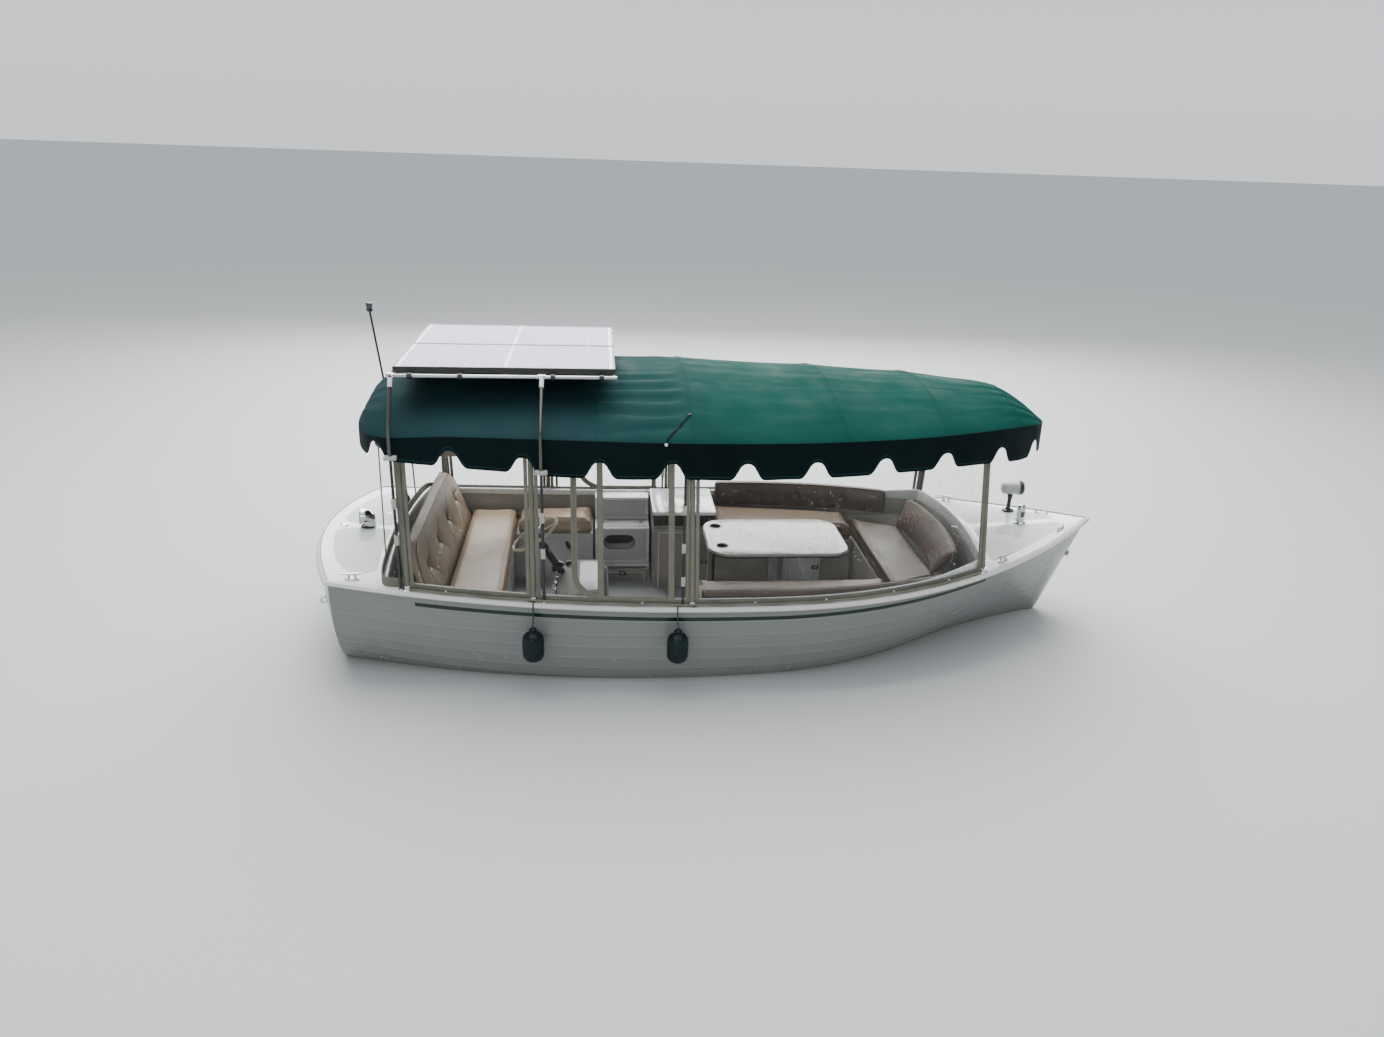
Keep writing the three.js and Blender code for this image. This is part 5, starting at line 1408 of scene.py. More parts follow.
def makeSideCurtains():
    b = postLines["border"] / 2
    names = list(hoopLines)
    for side, label in bothSides:
        def sideBand(name, points, half, proud=None):
            return surfaceBand(name, lambda x, t: curtainPoint(x, side, t), points, half, proud)

        sewn = []
        for k in range(3):
            x0, x1 = hoopLines[names[k]][0], hoopLines[names[k + 1]][0]
            steps = max(8, int((x1 - x0) / 0.06))
            span = [x0 + 0.012 + (x1 - x0 - 0.024) * i / steps for i in range(steps + 1)]
            high = along(foldLine, x0) - postLines["headDrop"] - sheer(x0)
            rise = [i / 14 for i in range(15)]
            sewn.append([sideBand(f"curtainFoot_{label}_{k}", [(x, (b + 0.001) / high) for x in span], b),
                sideBand(f"curtainHead_{label}_{k}", [(x, 1 - b / high) for x in span], b),
                sideBand(f"curtainEdgeAft_{label}_{k}", [(x0 + postLines["edgeIn"], t) for t in rise],
                0.011, 0.004), sideBand(f"curtainEdgeFwd_{label}_{k}",
                [(x1 - postLines["edgeIn"], t) for t in rise], 0.011, 0.004)])
        # Door strips of the middle bay: one curves into the foot band
        w = postLines["stripWide"] / 2
        curve = [(-1.01, 1 - i / 16 * 0.80) for i in range(17)]
        curve += [(-1.01 + 0.20 * (1 - math.cos(a)), 0.20 - 0.162 * math.sin(a))
            for a in (math.pi / 2 * i / 10 for i in range(1, 11))]
        curve += [(-0.80 + 0.10 * i, 0.038) for i in range(1, 5)]
        sewn[1].append(sideBand(f"doorStripCurved_{label}", curve, w, 0.005))
        for j, x in enumerate((-0.852, -0.421)):
            sewn[1].append(sideBand(f"doorStrip_{label}_{j}", [(x, i / 16) for i in range(17)], w, 0.005))
        lace = [curtainPoint(x, side, t) + Vector((0, side * 0.0062, 0)) for x, t in curve]
        zipLine = pipePiece(f"doorPiping_{label}", lace, 0.0024, sides=8)
        dress(zipLine, "khaki")
        sewn[1].append(zipLine)
        for k, bay in enumerate(("aft", "mid", "fwd")):
            x0 = hoopLines[names[k]][0] + postLines["sheetIn"]
            x1 = hoopLines[names[k + 1]][0] - postLines["sheetIn"]
            steps = int((x1 - x0) / 0.035)
            clearSheet(f"window_{label}_{bay}", lambda x, t: curtainPoint(x, side, t),
                [lerp(x0, x1, i / steps) for i in range(steps + 1)], side * 4 + k, 0.0032)
        for k, x in enumerate((-1.79, -0.60, 0.10, 0.55, 1.0, 1.4)):
            spot = curtainPoint(x, side, 0.022)
            dress(turnedPiece(f"curtainKnob_{label}_{k}",
                [(0, 0.012), (0.004, 0.0118), (0.007, 0.009), (0.0075, 0.006), (0.005, 0.003), (0.006, 0.0),
                (0, 0.0)], spot + Vector((0, side * 0.004, 0)), (0, side, 0.1), steps=16), "white")
    for side in (-1, 1):
        path = []
        for i in range(90):
            x = lerp(-2.0, 1.64, i / 89)
            path.append((x, side * (hullHalf(x) - 0.004), sheer(x) + 0.018 + 0.0015 * math.sin(i * 0.9)))
        dress(pipePiece(f"curtainHem_{side}", path, 0.0085, sides=10), "khaki")


screenLines = {"aftFoot": [(-2.030, 0.862), (-2.110, 0.859), (-2.166, 0.848), (-2.197, 0.760),
    (-2.214, 0.560), (-2.226, 0.350), (-2.231, 0.170), (-2.232, 0)],
    "aftHead": [(-2.045, 0.806), (-2.105, 0.770), (-2.160, 0.710), (-2.195, 0.620), (-2.216, 0.470),
    (-2.228, 0.310), (-2.235, 0.150), (-2.237, 0)], "screenTop": 1.510, "aftTop": 1.545, "foot": 0.056,
    "edge": 0.030}


def tableLine(half):
    # Plan line from port to starboard through the rows of one half
    return smoothLine([(x, y, 0) for x, y in half] + [(x, -y, 0) for x, y in half[-2::-1]], 6)


def makeCrossCurtains():
    s = screenLines
    foot, head = tableLine(s["aftFoot"]), tableLine(s["aftHead"])

    def onLine(line, u):
        # The line runs straight on past either end
        share, last = (u + 1) / 2, len(line) - 1
        place = clamp(share) * last
        i = min(int(place), last - 1)
        return line[i].lerp(line[i + 1], place - i) + (line[i + 1] - line[i]) * (share * last - place)

    def aft(u, t):
        a, b = onLine(foot, u), onLine(head, u)
        return Vector((a.x, a.y, deckTop(a.x, a.y) + 0.001)).lerp(Vector((b.x, b.y, s["aftTop"])), t)

    def screen(u, t):
        yLow, yHigh = 0.695 * u, 0.555 * u
        low = Vector((1.755 - 0.148 * yLow * yLow, yLow, 0))
        low.z = deckTop(low.x, low.y) + 0.001
        return low.lerp(Vector((1.715 - 0.205 * yHigh * yHigh, yHigh, s["screenTop"])), t)

    for node, surface, label in (("windscreen", screen, "screen"), ("aft_curtain", aft, "stern")):
        us = [i / 40 for i in range(-40, 41)]
        rise = [i / 14 for i in range(15)]
        wide = s["foot"] / 2 / 0.85
        bands = [surfaceBand(label + "Foot", surface, [(u, wide) for u in us], s["foot"] / 2),
            surfaceBand(label + "Head", surface, [(u, 1 - wide) for u in us], s["foot"] / 2)]
        for u in (-0.985, 0.985):
            bands.append(surfaceBand(f"{label}Edge_{u}", surface, [(u, t) for t in rise], s["edge"] / 2))
        if node == "aft_curtain":
            for u in (-0.42, 0.42):
                bands.append(surfaceBand(f"{label}Zip_{u}", surface, [(u, t) for t in rise], 0.010, 0.003))
        clearSheet(node, surface, us, 7.0 if node == "windscreen" else 9.0, 0.0035)


makeHoops()
makeSideCurtains()
makeCrossCurtains()
print("hoops and curtains ready")


# Cushions: closed foam shapes, swollen by cloth simulation, then welted and buttoned
soft = {"voxel": 0.0125, "bevel": 0.02, "cap": 0.014, "pressure": 3.5, "frames": 12, "welt": 0.0036,
    "sewn": 0.012, "seatLow": 0.3815, "seatHigh": 0.482, "seatFill": 0.8, "sideFore": 1.416,
    "backLow": 0.493, "sideInset": 0.016, "sideThick": 0.072}
softPieces = []


def shrinkLoop(loop, amount):
    # Loop of (x, y) moved inward, whichever way round it runs
    area = sum(a[0] * b[1] - b[0] * a[1] for a, b in zip(loop, loop[1:] + loop[:1]))
    sign = 1 if area > 0 else -1
    moved = []
    for i, point in enumerate(loop):
        before, after = Vector(loop[i - 1]), Vector(loop[(i + 1) % len(loop)])
        run = (after - before).normalized()
        moved.append((point[0] - run.y * sign * amount, point[1] + run.x * sign * amount))
    return moved


def finishFoam(piece):
    bevelEdges(piece, soft["bevel"], degrees=35)
    remesh = piece.modifiers.new("even", "REMESH")
    remesh.mode = "VOXEL"
    remesh.voxel_size = soft["voxel"]
    ease = piece.modifiers.new("ease", "SMOOTH")
    ease.factor = 0.5
    ease.iterations = 2
    applyModifiers(piece)
    return piece


def stuffed(piece, node, seams, material, slot, fill, buttons=None, channels=None):
    # Readies one foam shape for the simulation; seams are closed or open lines of points
    group = piece.vertex_groups.new(name="sewn")
    low = min(v.co.z for v in piece.data.vertices)
    lines = [Vector(p) for seam in seams for p in seam]
    tree = KDTree(len(lines))
    for i, point in enumerate(lines):
        tree.insert(point, i)
    tree.balance()
    held = []
    for vertex in piece.data.vertices:
        _, _, far = tree.find(vertex.co)
        if far < soft["sewn"] or vertex.co.z < low + 0.006:
            held.append(vertex.index)
    group.add(held, 1.0, "REPLACE")
    softPieces.append({"piece": piece, "node": node, "seams": seams, "material": material, "slot": slot,
        "fill": fill, "buttons": buttons or [], "channels": channels or [],
        "start": [v.co.copy() for v in piece.data.vertices]})


def swellAll():
    for item in softPieces:
        cloth = item["piece"].modifiers.new("stuffing", "CLOTH")
        cloth.settings.quality = 4
        cloth.settings.use_pressure = True
        cloth.settings.uniform_pressure_force = soft["pressure"]
        cloth.settings.tension_stiffness = 12
        cloth.settings.compression_stiffness = 12
        cloth.settings.vertex_group_mass = "sewn"
        cloth.settings.effector_weights.gravity = 0
        cloth.collision_settings.use_collision = False
    for number in range(1, soft["frames"] + 1):
        scene.frame_set(number)
    for item in softPieces:
        applyModifiers(item["piece"])
        for vertex, start in zip(item["piece"].data.vertices, item["start"]):
            move = vertex.co - start
            if move.length > soft["cap"]:
                vertex.co = start + move.normalized() * soft["cap"]
    scene.frame_set(1)


def dentFor(item):
    # Buttons pull the cover in, with creases running between neighbours and channels along lines
    spots = [Vector(b["at"]) for b in item["buttons"]]
    creases = item["channels"]
    size = 1.0 if creases else 0.35
    if not spots and not creases:
        return
    piece = item["piece"]
    facing = item["buttons"][0]["facing"] if item["buttons"] else Vector((0, 0, 1))
    normals = [v.normal.copy() for v in piece.data.vertices]
    for vertex, normal in zip(piece.data.vertices, normals):
        if normal.dot(facing) < 0.45:
            continue
        deep = 0.0
        for spot in spots:
            far = (vertex.co - spot).length
            if far < 0.25:
                dimple = 0.022 * math.exp(-(far / 0.024) ** 2) + 0.013 * math.exp(-(far / 0.085) ** 2)
                deep = max(deep, size * dimple)
        for a, b, depth in creases:
            run = b - a
            t = clamp((vertex.co - a).dot(run) / run.length_squared)
            far = (vertex.co - a - run * t).length
            if far < 0.09:
                valley = math.exp(-(far / 0.0085) ** 2) + 0.45 * math.exp(-(far / 0.032) ** 2)
                deep = deep + depth * (1 - 0.75 * t) * valley
        vertex.co -= facing * deep
    piece.data.update()


def finishSoft(item):
    piece = item["piece"]
    pick(piece)
    name = piece.name
    fine = piece.modifiers.new("fine", "SUBSURF")
    fine.levels = 1
    applyModifiers(piece)
    dentFor(item)
    piece.vertex_groups.clear()
    cleanMesh(piece)
    bpy.ops.object.shade_smooth()
    for k, seam in enumerate(item["seams"]):
        line = []
        for point in seam:
            _, spot, normal, _ = piece.closest_point_on_mesh(Vector(point))
            line.append(spot + normal * soft["welt"] * 0.35)
        welt = pipePiece(f"{name}_welt_{k}", line, soft["welt"], sides=8,
            closed=(Vector(seam[0]) - Vector(seam[-1])).length < 0.08)
        dress(welt, "tanWelt" if item["material"].startswith("tan") else item["material"])
    for k, button in enumerate(item["buttons"]):
        _, spot, normal, _ = piece.closest_point_on_mesh(Vector(button["at"]))
        knob = turnedPiece(f"{name}_button_{k}", [(0, 0.0065), (0.005, 0.006), (0.0095, 0.0035),
            (0.0105, 0.001), (0.009, -0.002), (0, -0.002)], spot, button["facing"], steps=20)
        dress(knob, item["material"])
    dress(piece, item["material"])
    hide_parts(item["node"])


def seatFoam(node, corners, radius, material="tan"):
    loop = shrinkLoop(roundedLoop(corners, radius), 0.004)
    piece = slabPiece(node + "_pad", loop, soft["seatLow"], soft["seatHigh"], bevel=0)
    finishFoam(piece)
    seams = [[(x, y, soft["seatLow"] + 0.020) for x, y in loop]]
    stuffed(piece, node, seams, material, "cushion_tan", soft["seatFill"])


def loftFoam(node, rings, material, slot, fill=0.85, buttons=None, channels=None):
    # Rings hold four corners each: low back, low front, high front, high back
    # One seam runs along the upper front corner and one along the upper back corner
    piece = gridPiece(node + "_pad", rings, loopColumns=True, caps=True)
    cleanMesh(piece)
    finishFoam(piece)
    seams = []
    for a, b in ((1, 2), (0, 3)):
        line = [ring[b] for ring in rings]
        first = [tuple(Vector(rings[0][a]).lerp(Vector(rings[0][b]), t / 8)) for t in range(8)]
        last = [tuple(Vector(rings[-1][b]).lerp(Vector(rings[-1][a]), t / 8)) for t in range(1, 9)]
        seams.append(first + line + last)
    stuffed(piece, node, seams, material, slot, fill, buttons, channels)


def sideOutline(x0, x1, yIn, side):
    def outer(x):
        return side * (hullHalf(x) - 0.122 - 0.05 * max(x, 0))

    xs = [lerp(x0, x1, i / 8) for i in range(9)]
    return [(x0, yIn), (x1, yIn)] + [(x, outer(x)) for x in xs[::-1]]


def shareAt(x, z):
    top = sheer(x) - 0.034
    return clamp((top - z) / (top - stemZ(x)))


def sideRings(x0, side, z1):
    rings, z0, thick = [], soft["backLow"], soft["sideThick"]
    for i in range(34):
        x = lerp(x0, soft["sideFore"], i / 33)
        foot = sectionHalf(x, shareAt(x, z0)) - hullLines["wall"] - soft["sideInset"]
        head = hullHalf(x) - opening["inset"] - opening["wide"] - 0.012
        back = min(foot, head)
        rings.append([(x, side * back, z0), (x, side * (back - thick), z0),
            (x, side * (head - thick + 0.025), z1), (x, side * head, z1)])
    return rings


def backFace(z):
    # The aft backrest leans back as it rises
    return -1.871 - (z - 0.49) * 0.33


def makeCushions():
    seatFoam("aft_seat_cushion", [(-1.856, -0.855), (-1.459, -0.855), (-1.494, 0.855), (-1.856, 0.855)],
        radius=0.05)
    seatFoam("port_aft_cushion", sideOutline(-1.476, -0.919, 0.589, 1), radius=0.02)
    # The forward cushions and the bow seat take darker tan copies: painted shade
    seatFoam("port_seat_cushion", sideOutline(0.039, 1.093, 0.459, 1), radius=0.02, material="tanForeShaded")
    seatFoam("stbd_seat_cushion", sideOutline(-0.231, 1.093, -0.459, -1), radius=0.02, material="tanForeShaded")
    seatFoam("bow_seat_cushion", [(1.102, -0.636), (1.486, -0.478), (1.486, 0.478), (1.102, 0.636)],
        radius=0.03, material="tanBowShaded")
    rings = []
    for i in range(-40, 41):
        q = math.sin(i / 40 * math.pi / 2)
        top = 0.501 + 0.368 * max(1 - abs(q) ** 11, 0) ** 0.5
        y = 0.844 * q
        low, high = backFace(0.4), backFace(top)
        rings.append([(low - 0.068, y, 0.397), (low, y, 0.397), (high, y, top - 0.02),
            (high - 0.06, y, top - 0.004)])
    facing = Vector((1, 0, 0.33)).normalized()
    buttons, channels = [], []

    def onFace(y, z):
        return Vector((backFace(z) + 0.008, y, z))

    # One row of buttons, each with a long crease to the upper seam and one to the lower, and two faint ones
    for y in (-0.59, -0.20, 0.20, 0.60):
        spot = onFace(y, 0.67)
        buttons.append({"at": spot, "facing": facing})
        for reach, z, depth in ((0.20, 0.83, 0.013), (-0.16, 0.51, 0.011), (-0.10, 0.80, 0.006),
            (0.13, 0.52, 0.006)):
            end = clamp(y + reach, -0.79, 0.79)
            dip = 0.12 * smoothStep(0.62, 0.80, abs(end)) * (z > 0.66)
            channels.append((spot, onFace(end, z - dip), depth))
    # The aft backrest takes a darker tan copy: painted shade
    loftFoam("aft_backrest", rings, "tanBackShaded", "cushion_tan", 0.9, buttons, channels)
    port = sideRings(0.064, 1, 0.684)
    small = [{"at": Vector(port[k][1]).lerp(Vector(port[k][2]), 0.5),
        "facing": Vector((0, -1, 0.1)).normalized()} for k in (7, 16, 25)]
    loftFoam("port_backrest", port, "brown", "cushion_brown", buttons=small)
    loftFoam("stbd_backrest", sideRings(-0.226, -1, 0.634), "brown", "cushion_brown")
    bow = []
    for i in range(-16, 17):
        q = i / 16
        x0, x1 = 1.556 - 0.06 * q * q, 1.636 - 0.07 * q * q
        bow.append([(x0, 0.426 * q, 0.493), (x0 - 0.082, 0.426 * q, 0.493), (x1 - 0.056, 0.516 * q, 0.694),
            (x1, 0.516 * q, 0.694)])
    loftFoam("bow_backrest", bow, "amber", "cushion_brown")
    swellAll()
    for item in softPieces:
        finishSoft(item)


makeCushions()
print("cushions ready")


# Furniture: step module, counter, doors, table, helm and wheel
def cutPiece(piece, tool):
    cut = piece.modifiers.new("opening", "BOOLEAN")
    cut.operation = "DIFFERENCE"
    cut.solver = "EXACT"
    cut.object = tool
    applyModifiers(piece)
    bpy.data.objects.remove(tool, do_unlink=True)
    cleanMesh(piece, degrees=35)
    return piece


def alongX(name, outline, x0, x1, bevel):
    # Outline rows are (y, z), drawn out between two x lines
    count = len(outline)
    points = [(x, y, z) for x in (x0, x1) for y, z in outline]
    faces = [tuple(range(count)), tuple(range(count, 2 * count))[::-1]]
    faces += [(i, (i + 1) % count, count + (i + 1) % count, count + i) for i in range(count)]
    piece = meshPiece(name, points, faces)
    cleanMesh(piece)
    bevelEdges(piece, bevel)
    applyModifiers(piece)
    smoothByAngle(piece, 40)
    return piece


oval = {"aft": -0.768, "fwd": -0.642, "z": 0.30, "steps": 12}


def ovalRows(radius):
    rows = []
    for cx, first in ((oval["fwd"], -0.5), (oval["aft"], 0.5)):
        for i in range(oval["steps"] + 1):
            a = (first + i / oval["steps"]) * math.pi
            rows.append((cx + radius * math.cos(a), oval["z"] + radius * math.sin(a)))
    return rows


def makeStepModule():
    body = alongX("stepModule", [(0.562, -0.118), (0.562, 0.13), (0.60, 0.132), (0.60, 0.415),
        (0.80, 0.418), (0.80, 0.515), (0.806, 0.59), (0.93, 0.59), (0.945, 0.45), (0.925, 0.25),
        (0.88, 0.08), (0.74, -0.118)], -0.893, -0.472, 0.006)
    cutPiece(body, blockPiece("lockerCut", (-0.873, 0.55, -0.10), (-0.492, 0.72, 0.108), 0.006))
    cutPiece(body, slabPiece("ovalCut", ovalRows(0.056), 0.56, 0.735, 0, side=True))
    dress(body, "moduleEdge")
    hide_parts("step_module")
    low, high, bevel = -0.868, -0.497, 0.0025

    def panel(name, z0, z1, y0, y1):
        return slabPiece(name, [(low, z0), (high, z0), (high, z1), (low, z1)], y0, y1, bevel, side=True)

    face = panel("stepFace", 0.146, 0.402, 0.5972, 0.6035)
    cutPiece(face, slabPiece("ovalFace", ovalRows(0.0565), 0.56, 0.64, 0, side=True))
    riser = panel("stepRiser", 0.43, 0.578, 0.7975, 0.804)
    tread = blockPiece("stepTread", (low, 0.628, 0.4125), (high, 0.785, 0.4192), bevel)
    for piece in (face, riser, tread):
        dress(piece, "modulePanel")
    dress(pipePiece("ovalTrim", [(x, 0.5975, z) for x, z in ovalRows(0.0565)], 0.0035, sides=8,
        closed=True), "black")
    dress(slabPiece("ovalBack", ovalRows(0.0555), 0.70, 0.732, 0, side=True), "black")
    for k, x in enumerate((-0.83, -0.535)):
        dress(slabPiece(f"stepDrain_{k}", roundRect(x - 0.012, x + 0.012, 0.70, 0.724, 0.006), 0.419,
            0.4205, 0.0004), "black")


def hingedDoor(node, x0, x1, y, z0, z1, material, handle):
    # Raised panel in a frame, with a barrel hinge on its aft edge and a finger latch
    rim = slabPiece(node + "_leaf", [(x0 + 0.002, z0), (x1, z0), (x1, z1), (x0 + 0.002, z1)], y - 0.0175, y,
        0.004, side=True)
    dress(rim, material, node)
    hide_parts(node)
    inset = 0.032
    frameRows = [(x0 + inset, y - 0.0185, z0 + inset), (x1 - inset, y - 0.0185, z0 + inset),
        (x1 - inset, y - 0.0185, z1 - inset), (x0 + inset, y - 0.0185, z1 - inset)]
    bead = []
    for a, b in zip(frameRows, frameRows[1:] + frameRows[:1]):
        bead += [Vector(a).lerp(Vector(b), t / 10) for t in range(10)]
    dress(pipePiece(node + "_bead", bead, 0.0032, sides=8, closed=True), "moduleEdge", node)
    hx, hz = handle
    dress(slabPiece(node + "_latch", roundRect(hx - 0.026, hx + 0.026, hz - 0.017, hz + 0.017, 0.009),
        y - 0.0215, y - 0.017, 0.001, side=True), "black", node)
    dress(blockPiece(node + "_tongue", (hx - 0.012, y - 0.0285, hz - 0.004),
        (hx + 0.012, y - 0.0205, hz + 0.010), 0.002), "frame", node)
    for k in range(5):
        a = lerp(z0 + 0.01, z1 - 0.01, k / 5)
        b = lerp(z0 + 0.01, z1 - 0.01, (k + 0.94) / 5)
        dress(turnedPiece(f"{node}_hinge_{k}", [(0, 0), (0.0042, 0), (0.0048, 0.0008),
            (0.0048, b - a - 0.0008), (0.0042, b - a), (0, b - a)], (x0, y - 0.0015, a), steps=16), "frame",
            node)


def makeCounter():
    body = alongX("counterBody", [(0.427, -0.118), (0.427, 0.512), (0.94, 0.512), (0.945, 0.42),
        (0.925, 0.25), (0.88, 0.08), (0.74, -0.118)], -0.453, 0.010, 0.004)
    cutPiece(body, blockPiece("storeCut", (-0.437, 0.40, -0.095), (-0.006, 0.74, 0.482), 0.004))
    dress(body, "cabinet")
    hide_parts("counter_cabinet")
    dress(slabPiece("counterBand", roundRect(-0.453, 0.010, 0.406, 0.91, 0.012), 0.512, 0.6015, 0.005),
        "darkBand")
    dress(slabPiece("counterTop", roundRect(-0.461, 0.019, 0.393, 0.919, 0.02), 0.6015, 0.6245, 0.005, 4),
        "top")
    for k, (inset, radius) in enumerate(((0.004, 0.0042), (0.034, 0.0016))):
        loop = roundRect(-0.461 + inset, 0.019 - inset, 0.393 + inset, 0.919 - inset, 0.018)
        dress(pipePiece(f"counterBead_{k}", [(x, y, 0.6245) for x, y in loop], radius, sides=8,
            closed=True), "top")
    dress(slabPiece("counterLid", roundRect(-0.36, -0.08, 0.50, 0.80, 0.02), 0.6235, 0.6262, 0.001), "top")


tableLines = {"cups": ((-0.012, 0.195), (-0.004, -0.165)), "cupRadius": 0.0395, "postX": 0.4,
    "sole": -0.1193, "bolts": 6, "boltRing": 0.105}


def makeTable():
    slab = slabPiece("tableTop", roundRect(-0.103, 0.888, -0.323, 0.323, 0.149, 14), 0.572, 0.5995, 0.006, 4)
    cups, postX = tableLines["cups"], tableLines["postX"]
    for x, y in cups:
        bpy.ops.mesh.primitive_cylinder_add(vertices=40, radius=tableLines["cupRadius"], depth=0.1,
            location=(x, y, 0.58))
        cutPiece(slab, bpy.context.object)
    dress(slab, "table")
    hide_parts("table_top")
    dress(pipePiece("tableEdge", [(x, y, 0.577) for x, y in roundRect(-0.1035, 0.8885, -0.3235, 0.3235,
        0.1495, 14)], 0.0055, sides=8, closed=True), "black")
    for k, (x, y) in enumerate(cups):
        dress(turnedPiece(f"cupRing_{k}", [(0.0385, 0), (0.0405, 0.0022), (0.0455, 0.0028),
            (0.0485, 0.0012), (0.049, 0), (0.0385, 0)], (x, y, 0.5993), steps=40), "white")
        dress(turnedPiece(f"cupWell_{k}", [(0, 0), (0.034, 0), (0.0365, 0.004), (0.0388, 0.0555),
            (0.0368, 0.0555), (0.0348, 0.006), (0.033, 0.003), (0, 0.003)], (x, y, 0.5432), steps=40),
            "black")
    post = turnedPiece("tablePost", [(0, 0), (0.129, 0), (0.13, 0.003), (0.126, 0.009), (0.06, 0.0145),
        (0.046, 0.02), (0.045, 0.045), (0.0365, 0.052), (0.0355, 0.056), (0.0355, 0.64), (0.075, 0.662),
        (0.078, 0.668), (0.078, 0.6905), (0, 0.6905)], (postX, 0, tableLines["sole"]), steps=40)
    dress(post, "frame")
    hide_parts("table_pedestal")
    for i in range(tableLines["bolts"]):
        a = 2 * math.pi * i / tableLines["bolts"]
        dress(turnedPiece(f"postBolt_{i}", [(0, 0.004), (0.004, 0.0038), (0.0065, 0.002), (0.007, 0),
            (0, 0)], (postX + tableLines["boltRing"] * math.cos(a), tableLines["boltRing"] * math.sin(a),
            -0.1085), steps=12), "chrome")


helm = {"wheel": (-1.29, -0.275, 0.735), "tilt": 58, "radius": 0.172, "rim": 0.0092, "y0": -0.70, "y1": -0.17}


def wheelAxis():
    tilt = math.radians(helm["tilt"])
    return Vector((-math.cos(tilt), 0, math.sin(tilt)))


